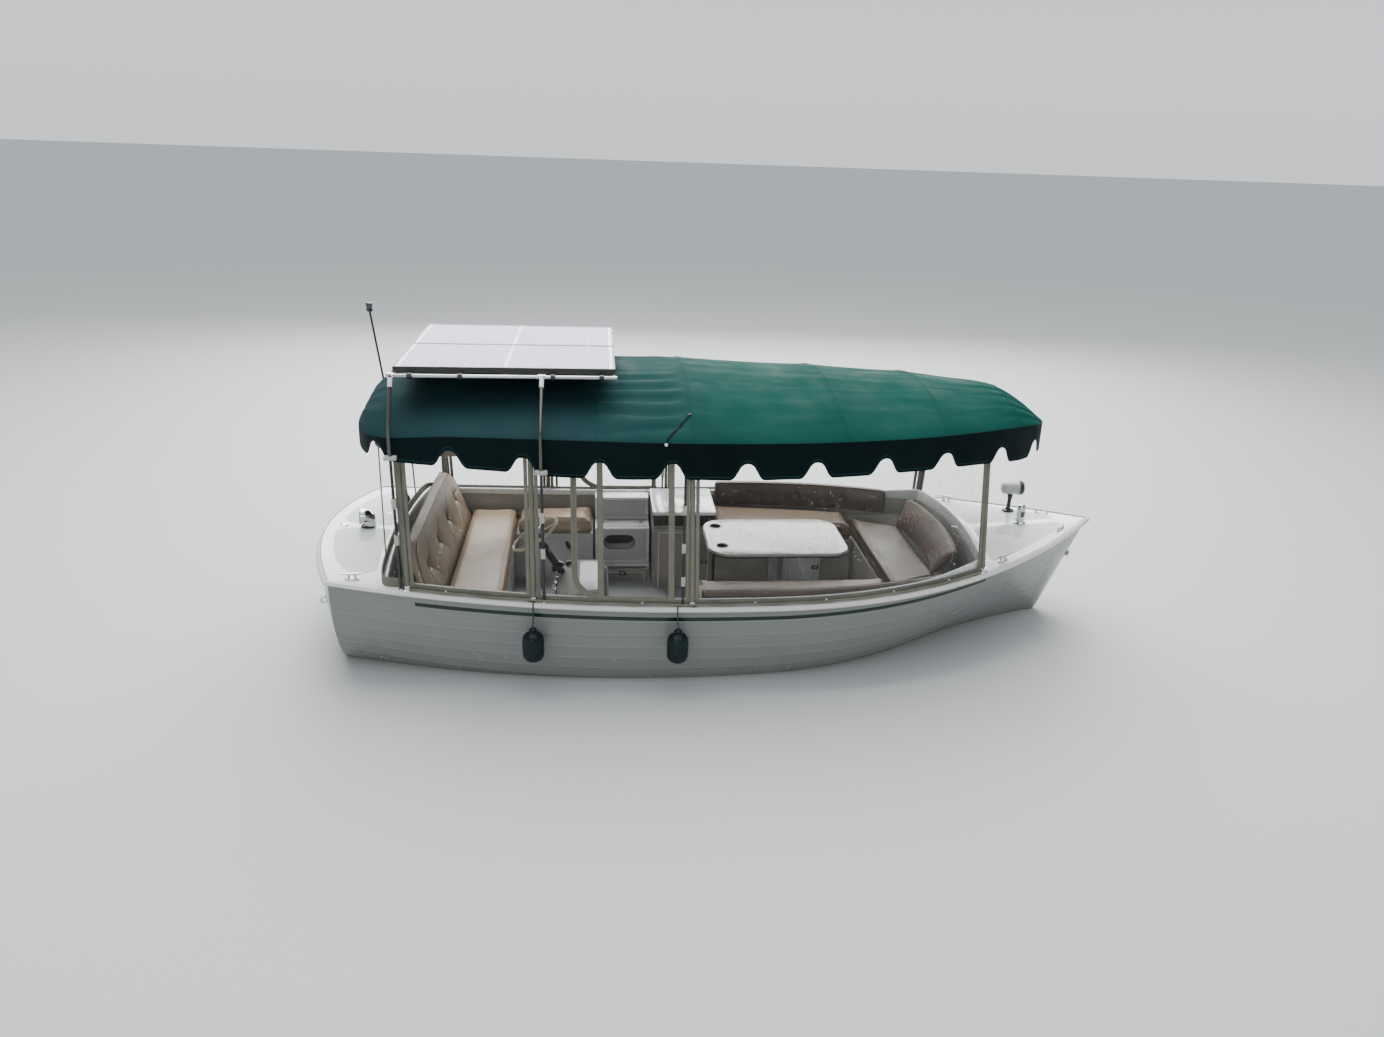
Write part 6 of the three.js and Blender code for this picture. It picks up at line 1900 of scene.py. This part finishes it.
def makeHelm():
    h = helm
    outline = [(-1.178, -0.118), (-1.178, 0.33), (-1.125, 0.45), (-1.0, 0.505), (-0.86, 0.505),
        (-0.80, 0.44), (-0.80, -0.118)]
    body = slabPiece("helmConsole", outline, h["y0"] + 0.001, h["y1"] - 0.001, 0.014, 4, side=True)
    dress(body, "sideLiner")
    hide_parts("helm_console")
    # Dash plate, dials and switches on the aft slope
    low, high = Vector((-1.1785, 0, 0.333)), Vector((-1.1255, 0, 0.449))
    up = (high - low).normalized()
    out = Vector((-up.z, 0, up.x))
    turn = Matrix((Vector((0, -1, 0)), up, out)).transposed()

    def onDash(piece, y, proud):
        spot = low.lerp(high, 0.5) + out * proud
        piece.data.transform(Matrix.Translation((spot.x, y, spot.z)) @ turn.to_4x4())
        return piece

    dress(onDash(slabPiece("dashPlate", roundRect(-0.24, 0.24, -0.052, 0.052, 0.014), -0.001, 0.006, 0.002),
        -0.435, 0), "black")
    for k, (y, radius) in enumerate(((-0.30, 0.038), (-0.40, 0.038))):
        dress(onDash(turnedPiece(f"dialRing_{k}", [(radius - 0.007, 0.006), (radius - 0.004, 0.012),
            (radius, 0.011), (radius + 0.003, 0.006), (radius + 0.003, 0.0), (radius - 0.007, 0.0)],
            (0, 0, 0), steps=36), y, 0.004), "chrome")
        dress(onDash(turnedPiece(f"dialFace_{k}", [(0, 0.007), (radius - 0.006, 0.007), (radius - 0.006, 0),
            (0, 0)], (0, 0, 0), steps=36), y, 0.004), "white")
        dress(onDash(blockPiece(f"dialHand_{k}", (-0.0012, -0.006, 0.007), (0.0012, radius - 0.013, 0.0085),
            0.0004), y, 0.004), "black")
    for k in range(6):
        y = -0.47 - 0.028 * k
        dress(onDash(slabPiece(f"switchSeat_{k}", roundRect(-0.0105, 0.0105, -0.019, 0.019, 0.003), 0,
            0.0022, 0.0006), y, 0.0055), "black")
        dress(onDash(slabPiece(f"switchRocker_{k}", roundRect(-0.0075, 0.0075, -0.014, 0.014, 0.002), 0.001,
            0.0055, 0.0012), y, 0.006), "white")
    # Throttle box and lever on the inboard end, drinks tray on top
    dress(blockPiece("throttleBox", (-1.09, -0.20, 0.42), (-0.97, -0.1705, 0.497), 0.008), "black")
    dress(pipePiece("throttleLever", [(-1.03, -0.172, 0.465), (-1.03, -0.150, 0.47), (-1.045, -0.140, 0.52),
        (-1.07, -0.138, 0.585)], 0.0065, sides=12, smooth=6), "chrome")
    dress(turnedPiece("throttleGrip", [(0, -0.03), (0.012, -0.028), (0.015, -0.01), (0.016, 0.012),
        (0.013, 0.024), (0.006, 0.03), (0, 0.031)], (-1.076, -0.138, 0.598), (-0.36, 0, 0.93), steps=24),
        "black")
    dress(turnedPiece("throttleHub", [(0, 0.010), (0.012, 0.0095), (0.022, 0.005), (0.024, 0), (0, 0)],
        (-1.03, -0.1712, 0.465), (0, 1, 0), steps=28), "chrome")
    dress(slabPiece("helmTray", roundRect(-0.992, -0.874, -0.66, -0.22, 0.02), 0.504, 0.509, 0.002),
        "white")
    strip = slabPiece("helmEdge", roundRect(-0.8575, -0.8035, -0.66, -0.24, 0.012), -0.003, 0.003, 0.001)
    lay = Matrix.Rotation(math.radians(47), 4, "Y")
    strip.data.transform(Matrix.Translation((-0.83, 0, 0.4735)) @ lay @ Matrix.Translation((0.8305, 0, 0)))
    dress(strip, "black")
    dress(slabPiece("radioPanel", roundRect(-1.06, -0.84, 0.16, 0.38, 0.014), -0.1725, -0.1665, 0.002,
        side=True), "white")
    for k, (x, z, radius) in enumerate(((-1.0, 0.30, 0.032), (-0.91, 0.30, 0.032), (-0.955, 0.215, 0.018))):
        dress(turnedPiece(f"panelRing_{k}", [(0, 0.003), (radius - 0.006, 0.003), (radius - 0.003, 0.006),
            (radius, 0.004), (radius + 0.001, 0), (0, 0)], (x, -0.1668, z), (0, 1, 0), steps=32), "black")
    axis, centre = wheelAxis(), Vector(h["wheel"])
    dress(turnedPiece("wheelColumn", [(0, 0), (0.0235, 0), (0.0235, 0.20), (0.030, 0.206), (0.030, 0.25),
        (0.0235, 0.257), (0.0225, 0.302), (0, 0.302)], centre - axis * 0.33, axis, steps=32), "black")
    dress(turnedPiece("columnCollar", [(0.0236, 0), (0.05, 0), (0.052, 0.004), (0.046, 0.012),
        (0.032, 0.03), (0.0236, 0.034)], centre - axis * 0.285, axis, steps=32), "black")


def makeWheel():
    h, axis = helm, wheelAxis()
    turn = Vector((0, 0, 1)).rotation_difference(axis).to_matrix().to_4x4()
    place = Matrix.Translation(h["wheel"]) @ turn
    rows = []
    for i in range(120):
        a = 2 * math.pi * i / 120
        grip = h["rim"] * (1 + 0.07 * max(0, math.cos(a * 20)))
        rows.append([((h["radius"] + grip * math.cos(b)) * math.cos(a),
            (h["radius"] + grip * math.cos(b)) * math.sin(a), grip * math.sin(b))
            for b in (2 * math.pi * k / 16 for k in range(16))])
    rim = gridPiece("wheelRim", rows, loopRows=True, loopColumns=True)
    rim.data.transform(place)
    cleanMesh(rim, degrees=60)
    dress(rim, "rim", "steering_wheel")
    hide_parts("steering_wheel")
    dress(turnedPiece("wheelHub", [(0, -0.026), (0.026, -0.026), (0.030, -0.022), (0.033, -0.008),
        (0.034, 0.004), (0.030, 0.012), (0.018, 0.016), (0, 0.0165)], h["wheel"], axis, steps=36), "black",
        "steering_wheel")
    for i in range(5):
        a = 2 * math.pi * i / 5
        line = []
        for t in range(9):
            r = lerp(0.024, h["radius"] - 0.002, t / 8)
            line.append(place @ Vector((r * math.cos(a), r * math.sin(a), -0.004 + 0.004 * (t / 8) ** 2)))
        dress(pipePiece(f"wheelSpoke_{i}", line, [0.0066 - 0.0018 * t / 8 for t in range(9)], sides=12),
            "chrome", "steering_wheel")


makeStepModule()
hingedDoor("step_door", -0.885, -0.48, 0.5565, -0.095, 0.10, "cabinet", (-0.6825, 0.06))
makeCounter()
hingedDoor("counter_door", -0.443, 0, 0.4215, -0.095, 0.49, "cabinet", (-0.06, 0.22))
hingedDoor("locker_door", 0.56, 0.86, 0.4465, -0.06, 0.33, "liner", (0.82, 0.15))
makeTable()
makeHelm()
makeWheel()
print("furniture ready")


# Solar roof: two framed modules on a tube rack with four legs
solar = {"x0": -2.055, "x1": -0.765, "half": 0.328, "centre": 0.331, "low": 1.923, "high": 1.958,
    "railY": 0.69, "railZ": 1.9107, "tube": 0.012, "legs": (-2.062, -1.196), "bars": (-2.04, -1.41, -0.78),
    "clamps": (-1.955, -1.667, -1.13, -0.845), "strutX": -0.352}


def makeModules():
    s = solar
    for label, y in (("stbd", -s["centre"]), ("port", s["centre"])):
        def sheetInside(name, inset, low, high):
            x0, x1, y0, y1 = s["x0"] + inset, s["x1"] - inset, y - s["half"] + inset, y + s["half"] - inset
            return slabPiece(name, [(x0, y0), (x1, y0), (x1, y1), (x0, y1)], low, high, 0)

        corners = [(s["x0"], y - s["half"]), (s["x0"], y + s["half"]), (s["x1"], y + s["half"]),
            (s["x1"], y - s["half"])]
        high = s["high"] - s["low"]
        profile = [(0, 0), (0, high - 0.0012), (-0.0012, high), (-0.0108, high), (-0.012, high - 0.0012),
            (-0.012, high - 0.0065), (-0.0018, high - 0.0065), (-0.0018, 0.002), (-0.026, 0.002),
            (-0.026, 0)]
        rows = []
        for x, yy in corners:
            sx = 1 if x == s["x0"] else -1
            sy = 1 if yy < y else -1
            rows.append([(x - u * sx, yy - u * sy, s["low"] + v) for u, v in profile])
        rim = gridPiece("moduleFrame_" + label, rows, loopRows=True, loopColumns=True)
        cleanMesh(rim, degrees=25)
        dress(rim, "black")
        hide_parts("solar_module_" + label)
        glass = sheetInside("moduleGlass_" + label, 0.0025, s["high"] - 0.0062, s["high"] - 0.0016)
        layer = glass.data.uv_layers.new(name="UVMap")
        for loop in glass.data.loops:
            spot = glass.data.vertices[loop.vertex_index].co
            layer.data[loop.index].uv = (spot.x - (s["x0"] + s["x1"]) / 2, spot.y - y)
        dress(glass, "cells")
        sheet = sheetInside("moduleBack_" + label, 0.003, s["high"] - 0.0085, s["high"] - 0.0066)
        dress(sheet, "white")
        dress(blockPiece("junctionBox_" + label, (s["x0"] + 0.08, y - 0.05, s["high"] - 0.026),
            (s["x0"] + 0.16, y + 0.05, s["high"] - 0.0088), 0.004), "black")


def tubeClamp(name, place, axis, radius):
    # Split collar round a tube, with its screw
    collar = turnedPiece(name, [(radius + 0.0002, -0.014), (radius + 0.005, -0.014),
        (radius + 0.0062, -0.012), (radius + 0.0062, 0.012), (radius + 0.005, 0.014),
        (radius + 0.0002, 0.014), (radius + 0.0002, -0.014)], place, axis, steps=24)
    screw = turnedPiece(name + "_screw", [(0, 0.004), (0.0035, 0.0035), (0.0042, 0), (0, 0)],
        Vector(place) + Vector((0, 0, -radius - 0.006)), (0, 0, -1), steps=12)
    return joinPieces(name, [collar, screw])


def makeRack():
    s = solar
    for side, label in bothSides:
        y = side * s["railY"]
        rail = turnedPiece("rackRail_" + label, [(0, 0), (s["tube"] - 0.001, 0), (s["tube"], 0.002),
            (s["tube"], 1.308), (s["tube"] - 0.001, 1.31), (0, 1.31)], (-2.065, y, s["railZ"]), (1, 0, 0),
            steps=24)
        dress(rail, "frame")
        if label == "stbd":
            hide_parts("solar_frame")
        for k, x in enumerate(s["clamps"]):
            dress(tubeClamp(f"railClamp_{label}_{k}", (x, y, s["railZ"]), (1, 0, 0), s["tube"]), "black")
            dress(blockPiece(f"railHook_{label}_{k}", (x - 0.012, y - 0.032 if side > 0 else y - 0.006,
                s["railZ"] + 0.010), (x + 0.012, y + 0.006 if side > 0 else y + 0.032, s["railZ"] + 0.0155),
                0.0015), "black")
        for k, x in enumerate(s["legs"]):
            fold = along(foldLine, x)
            elbow = side * (canopyHalf(x) + 0.042)
            foot = side * (hullHalf(x) - 0.011)
            knee = along(valanceFoot, x) + 0.03
            head, bend = (x, y, s["railZ"] - 0.002), Vector((x, y + side * 0.022, s["railZ"] - 0.018))
            shoulder = Vector((x, side * (abs(elbow) - 0.02), fold + 0.06))
            dress(pipePiece(f"rackLeg_{label}_{k}", [head, bend, shoulder, (x, elbow, fold - 0.04),
                (x, elbow, lerp(fold, knee, 0.6)), (x, elbow, knee)], 0.0108, sides=20, smooth=6),
                "legAlloyDarkReflection")
            sleeveEnd = bend.lerp(shoulder, 0.045 / (shoulder - bend).length)
            dress(pipePiece(f"rackElbow_{label}_{k}", [head, bend, sleeveEnd], 0.0136, sides=20), "white")
            dress(turnedPiece(f"rackTee_{label}_{k}", [(0.0121, -0.024), (0.0158, -0.024), (0.0168, -0.022),
                (0.0168, 0.022), (0.0158, 0.024), (0.0121, 0.024), (0.0121, -0.024)], (x, y, s["railZ"]),
                (1, 0, 0), steps=28), "chrome")
            dress(pipePiece(f"rackRod_{label}_{k}", [(x, elbow, knee), (x, foot, sheer(x) - 0.012)], 0.0088,
                sides=16), "black")
            dress(blockPiece(f"rackBlock_{label}_{k}", (x - 0.037, elbow - 0.018, knee - 0.012),
                (x + 0.037, elbow + 0.018, knee + 0.012), 0.005, 4), "bracket")
            for t, high in ((0.33, 0.032), (0.6, 0.032)):
                spot = Vector((x, elbow, knee)).lerp(Vector((x, foot, sheer(x) - 0.012)), t)
                dress(blockPiece(f"rackClip_{label}_{k}_{t}", (x - 0.014, spot.y - 0.013, spot.z - high),
                    (x + 0.014, spot.y + 0.013, spot.z + high), 0.004, 3), "bracket")
            dress(turnedPiece(f"rackFoot_{label}_{k}",
                [(0, 0.012), (0.012, 0.012), (0.014, 0.010), (0.019, 0.004), (0.02, 0), (0, 0)],
                (x, foot, deckTop(x, foot) - 0.0005), steps=24), "chrome")
    for k, x in enumerate(s["bars"]):
        dress(turnedPiece(f"rackBar_{k}", [(0, 0), (0.0115, 0), (0.0118, 0.001), (0.0118, 1.367),
            (0.0115, 1.368), (0, 1.368)], (x, -0.684, s["railZ"]), (0, 1, 0), steps=20), "frame")
    # Struts beside the fore middle hoop, with pale clips
    for side, label in bothSides:
        x = s["strutX"]
        low = Vector((x, side * (hullHalf(x) - 0.020), sheer(x) + 0.006))
        high = Vector((x, side * (postLine(x) + 0.004), along(foldLine, x) - 0.10))
        dress(pipePiece("doorStrut_" + label, [low, low.lerp(high, 0.5), high], 0.0075, sides=16), "black")
        for t in (0.17, 0.40, 0.66):
            spot = low.lerp(high, t)
            dress(blockPiece(f"strutClip_{label}_{t}", (x - 0.013, spot.y - 0.012, spot.z - 0.030),
                (x + 0.013, spot.y + 0.012, spot.z + 0.030), 0.004, 3), "bracket")


makeModules()
makeRack()
print("solar roof ready")


# Deck fittings
cleatLines = {"inset": 0.062, "reach": 0.078, "steps": 24}


def hornCleat(node, x, side, degrees):
    y = side * (hullHalf(x) - cleatLines["inset"])
    turn = Matrix.Translation((x, y, deckTop(x, y) + 0.001)) @ Matrix.Rotation(math.radians(degrees), 4, "Z")
    line, sizes = [], []
    reach, steps = cleatLines["reach"], cleatLines["steps"]
    for i in range(steps + 1):
        u = lerp(-reach, reach, i / steps)
        line.append((u, 0, 0.034 + 0.007 * (u / reach) ** 2))
        sizes.append(0.0078 * (1 - 0.45 * abs(u / reach) ** 2) if abs(u) < reach else 0.0015)
    horn = pipePiece(node + "_horn", line, sizes, sides=16)
    parts = [horn, slabPiece(node + "_base", roundRect(-0.042, 0.042, -0.0145, 0.0145, 0.0135), 0, 0.0062,
        0.0018)]
    for u in (-0.019, 0.019):
        parts.append(turnedPiece(node + "_leg", [(0, 0), (0.0115, 0.005), (0.0085, 0.012), (0.0068, 0.022),
            (0.0075, 0.034), (0, 0.036)], (u, 0, 0), steps=20))
    for u in (-0.032, 0.032):
        parts.append(turnedPiece(node + "_screw", [(0, 0.0075), (0.003, 0.0074), (0.0048, 0.0062),
            (0, 0.006)], (u, 0, 0), steps=14))
    piece = joinPieces(node + "_cast", parts)
    piece.data.transform(turn)
    dress(piece, "chrome")
    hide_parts(node)


cowl = {"x": -2.44, "fore": 0.012, "radius": 0.0385, "flare": 0.018, "rings": 22, "straight": 0.3,
    "riser": 0.045, "bend": 88, "reach": 0.058, "lift": 0.030, "wall": 0.0018, "fillerX": -2.60}


def makeCowl():
    # Bent pipe whose mouth flares and faces aft
    c = cowl
    base = Vector((c["x"], 0, deckTop(c["x"], 0)))
    dress(turnedPiece("ventCollar", [(0.038, 0), (0.049, 0), (0.0505, 0.003), (0.048, 0.008),
        (0.042, 0.011), (0.038, 0.011), (0.038, 0)], base, steps=36), "black")
    rows = []
    for i in range(c["rings"] + 1):
        t = i / c["rings"]
        if t < c["straight"]:
            spot = base + Vector((c["fore"], 0, c["riser"] / c["straight"] * t))
            direction = Vector((0, 0, 1))
        else:
            a = (t - c["straight"]) / (1 - c["straight"]) * math.radians(c["bend"])
            spot = base + Vector((c["fore"] - c["reach"] * (1 - math.cos(a)), 0,
                c["riser"] + c["lift"] * math.sin(a)))
            direction = Vector((-math.sin(a), 0, math.cos(a)))
        radius = c["radius"] + c["flare"] * smoothStep(0.25, 0.8, t)
        across = Vector((0, 1, 0))
        other = direction.cross(across)
        ring = [spot + (across * math.cos(b) + other * math.sin(b)) * radius
            for b in (2 * math.pi * k / 36 for k in range(36))]
        rows.append(ring)
    hood = gridPiece("ventHood", rows, loopColumns=True)
    cleanMesh(hood)
    thicken(hood, c["wall"])
    smoothByAngle(hood, 50)
    dress(hood, "chrome")
    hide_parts("cowl_vent")
    dress(pipePiece("ventLip", rows[-1], 0.0028, sides=10, closed=True), "chrome")
    dress(turnedPiece("ventThroat", [(0, 0), (0.036, 0), (0.036, 0.002), (0, 0.002)],
        base + Vector((c["fore"], 0, 0.02)), steps=30), "black")
    dress(turnedPiece("deckFiller", [(0, 0.004), (0.018, 0.004), (0.0195, 0.0055), (0.026, 0.005),
        (0.029, 0.002), (0.0295, 0), (0, 0)], (c["fillerX"], 0, deckTop(c["fillerX"], 0) - 0.0005),
        (-0.06, 0, 1), steps=36), "chrome")


lights = {"bow": (2.21, 0), "search": (2.228, 0.255), "poleFoot": (-2.262, 0.5),
    "poleTop": (-2.418, 0.5, 2.07), "lensArc": 112}


def onDeck(x, y):
    return Vector((x, y, deckTop(x, y)))


def makeLights():
    place = onDeck(*lights["bow"])
    lamp = turnedPiece("bowLightBody", [(0, 0), (0.044, 0), (0.044, 0.004), (0.040, 0.009), (0.031, 0.013),
        (0.0298, 0.018), (0.0298, 0.104), (0.0315, 0.107), (0.0315, 0.112), (0.029, 0.128), (0.022, 0.138),
        (0.010, 0.142), (0, 0.1425)], place, steps=40)
    dress(lamp, "chrome")
    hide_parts("bow_light")
    rows = []
    for z in (0.054, 0.060, 0.074, 0.088, 0.094):
        swell = 0.0006 if z in (0.054, 0.094) else 0.0016
        rows.append([place + Vector(((0.0298 + swell) * math.cos(a), (0.0298 + swell) * math.sin(a), z))
            for a in (math.radians(lerp(-lights["lensArc"], lights["lensArc"], k / 40))
            for k in range(41))])
    lens = gridPiece("bowLightLens", rows)
    thicken(lens, 0.0015)
    cleanMesh(lens, degrees=50)
    dress(lens, "lens")
    spot = onDeck(*lights["search"])
    base = turnedPiece("searchBase", [(0, 0), (0.045, 0), (0.045, 0.005), (0.041, 0.010), (0.020, 0.016),
        (0.0145, 0.026), (0.0138, 0.100), (0.018, 0.104), (0.018, 0.1175), (0, 0.1175)], spot, steps=36)
    dress(base, "black")
    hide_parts("searchlight_base")
    axis = spot + Vector((-0.080, 0, 0.185))
    can = turnedPiece("searchCan", [(0, 0), (0.022, 0.002), (0.038, 0.010), (0.046, 0.024), (0.0485, 0.045),
        (0.0495, 0.120), (0.0520, 0.124), (0.0525, 0.160), (0.0505, 0.165), (0.0470, 0.165),
        (0.0462, 0.150), (0.040, 0.128), (0.020, 0.108), (0, 0.104)], axis, (1, 0, 0), steps=44)
    dress(can, "lampBody", "searchlight_head")
    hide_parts("searchlight_head")
    dress(turnedPiece("searchBand", [(0.0528, 0.128), (0.0535, 0.129), (0.0535, 0.1565), (0.0528, 0.1575),
        (0.0515, 0.1575), (0.0515, 0.128), (0.0528, 0.128)], axis, (1, 0, 0), steps=44), "black",
        "searchlight_head")
    dress(turnedPiece("searchGlass", [(0, 0.151), (0.044, 0.1495), (0.0463, 0.1475), (0.0463, 0.1455),
        (0, 0.147)], axis, (1, 0, 0), steps=44), "lens", "searchlight_head")
    dress(turnedPiece("searchYoke", [(0, 0.1186), (0.019, 0.1186), (0.020, 0.121), (0.020, 0.130),
        (0.013, 0.138), (0.012, 0.146), (0, 0.146)], spot, steps=30), "black", "searchlight_head")
    low, high = onDeck(*lights["poleFoot"]), Vector(lights["poleTop"])
    run = (high - low).normalized()
    length = (high - low).length
    pole = turnedPiece("sternPole", [(0, -0.002), (0.0088, -0.002), (0.009, 0.0), (0.009, length * 0.52),
        (0.0112, length * 0.522), (0.0112, length * 0.545), (0.0072, length * 0.548),
        (0.0070, length - 0.004), (0, length - 0.004)], low, run, steps=20)
    dress(pole, "black")
    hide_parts("stern_light_pole")
    dress(turnedPiece("sternPoleFoot", [(0.0095, 0.0), (0.0215, 0.0), (0.0228, 0.003), (0.0228, 0.012),
        (0.017, 0.018), (0.015, 0.05), (0.0115, 0.054), (0.0092, 0.054), (0.0092, 0.0)], low,
        run.lerp(Vector((0, 0, 1)), 0.4).normalized(), steps=30), "black")
    dress(turnedPiece("sternLampBase", [(0, -0.004), (0.016, -0.004), (0.0225, 0.004), (0.0235, 0.010),
        (0.0235, 0.016), (0, 0.016)], high, steps=30), "black")
    dress(turnedPiece("sternLampLens", [(0, 0.0162), (0.0205, 0.0162), (0.0212, 0.022), (0.0212, 0.040),
        (0.0205, 0.043), (0, 0.043)], high, steps=30), "lens")
    dress(turnedPiece("sternLampLid", [(0, 0.0432), (0.0235, 0.0432), (0.0235, 0.050), (0.018, 0.056),
        (0, 0.0578)], high, steps=30), "black")


def makeFenders():
    f = fenderLine
    for name, x in f["places"].items():
        y = hullHalf(x) + f["railProud"] + f["fenderRadius"] + f["gap"]
        top = f["fenderTop"]
        long, r = f["fenderLong"], f["fenderRadius"]
        profile = [(0, -long), (0.014, -long), (0.0165, -long + 0.003), (0.022, -long + 0.008),
            (0.040, -long + 0.014), (0.056, -long + 0.027), (0.0635, -long + 0.044),
            (r - 0.0005, -long + 0.062), (r, -long + 0.08), (r, -0.092), (r - 0.0015, -0.078),
            (0.0605, -0.063), (0.052, -0.0505), (0.040, -0.0405), (0.0275, -0.0345), (0.0215, -0.026),
            (0.0205, -0.020), (0.0235, -0.017), (0.0238, -0.013), (0.020, -0.009), (0.0135, -0.002),
            (0.010, -0.0008), (0, -0.0008)]
        body = turnedPiece("fenderBody_" + name, profile, (x, -y, top), steps=48, angle=60)
        dress(body, "fender")
        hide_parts("fender_" + name)
        for k in range(12):
            a = 2 * math.pi * k / 12
            line = []
            for r0, z0 in ((0.0268, -0.0340), (0.040, -0.0402), (0.0522, -0.0505), (0.0607, -0.063),
                (0.0648, -0.080)):
                line.append((x + r0 * math.cos(a), -y + r0 * math.sin(a), top + z0))
            dress(pipePiece(f"fenderRib_{name}_{k}", line, [0.0012, 0.002, 0.0022, 0.0018, 0.0004],
                sides=8), "fender")


chockLines = {"x": 2.45, "y": 0.16, "turn": 38}


def makeSmallFittings():
    # Strap from a snap on the canopy down over its fold, bow chocks and deck discs
    path, outs = [], []
    for i in range(15):
        x, y = lerp(-0.322, -0.466, i / 14), lerp(-0.758, -0.948, i / 14)
        q = y / canopyHalf(x)
        path.append(Vector((x, y, crownAt(x, q) + clothLift(x, q) + 0.003)))
        outs.append(Vector((0, -0.45 - 0.4 * i / 14, 0.85)).normalized() * 0.0011)
    path += [Vector((-0.474, -0.9665, 1.588)), Vector((-0.478, -0.9690, 1.560))]
    outs += [Vector((0, -0.0011, 0)), Vector((0, -0.0011, 0))]
    runs = [(path[min(i + 1, 16)] - path[max(i - 1, 0)]).normalized() for i in range(17)]
    strap = stripPiece("canopyStrap", path, [run.cross(out).normalized() for run, out in zip(runs, outs)],
        0.007, outs)
    dress(strap, "valance")
    for k, (spot, out) in enumerate(((path[0], outs[0]), (path[-2], outs[-2]))):
        snap = turnedPiece(f"strapSnap_{k}", [(0, 0.0085), (0.0045, 0.008), (0.0076, 0.0055),
            (0.0084, 0.0025), (0.010, 0.0015), (0.010, 0), (0, 0)], spot + out * 0.5, out.normalized(),
            steps=20)
        dress(snap, "white" if k else "black")
    for side in (-1, 1):
        x, y = chockLines["x"], side * chockLines["y"]
        place = Matrix.Translation((x, y, deckTop(x, y) - 0.0005))
        turn = Matrix.Rotation(math.radians(-side * chockLines["turn"]), 4, "Z")
        parts = [slabPiece("chockBase", roundRect(-0.05, 0.05, -0.012, 0.012, 0.0115), 0, 0.005, 0.0015)]
        for u in (-1, 1):
            parts.append(pipePiece("chockHorn", [(u * 0.040, 0, 0.004), (u * 0.038, 0, 0.016),
                (u * 0.028, 0, 0.024), (u * 0.012, 0, 0.026)], [0.0065, 0.006, 0.005, 0.0032], sides=14))
        chock = joinPieces(f"bowChock_{side}", parts)
        chock.data.transform(place @ turn)
        dress(chock, "chrome")
    for k, (x, y) in enumerate(((-2.10, -0.78), (-2.10, 0.78), (1.72, 0.0), (-2.35, 0.25))):
        dress(turnedPiece(f"deckDisc_{k}", [(0, 0.0025), (0.010, 0.0025), (0.0115, 0.0035), (0.0165, 0.003),
            (0.018, 0), (0, 0)], (x, y, deckTop(x, y) - 0.0004), steps=28), "chrome")


for node, x, side, degrees in (("cleat_stbd_aft", -2.37, -1, 8), ("cleat_port_aft", -2.37, 1, -8),
    ("cleat_stbd_fwd", 1.86, -1, 28), ("cleat_port_fwd", 1.86, 1, -28)):
    hornCleat(node, x, side, degrees)
makeCowl()
makeLights()
makeFenders()
makeSmallFittings()
print("fittings ready")


# CAD nodes that stay get their finish
keptNodes = {"bottom": ["keel_skeg"], "bronze": ["propeller", "rudder"], "sole": ["cockpit_sole"],
    "liner": ["aft_seat_base"], "sideLiner": ["forward_seat_base"],
    "black": ["motor_block", "battery_block"]}
for key, names in keptNodes.items():
    for name in names:
        slots = cad[name].data.materials
        slots.clear()
        slots.append(finish[key])
print("kept nodes dressed")
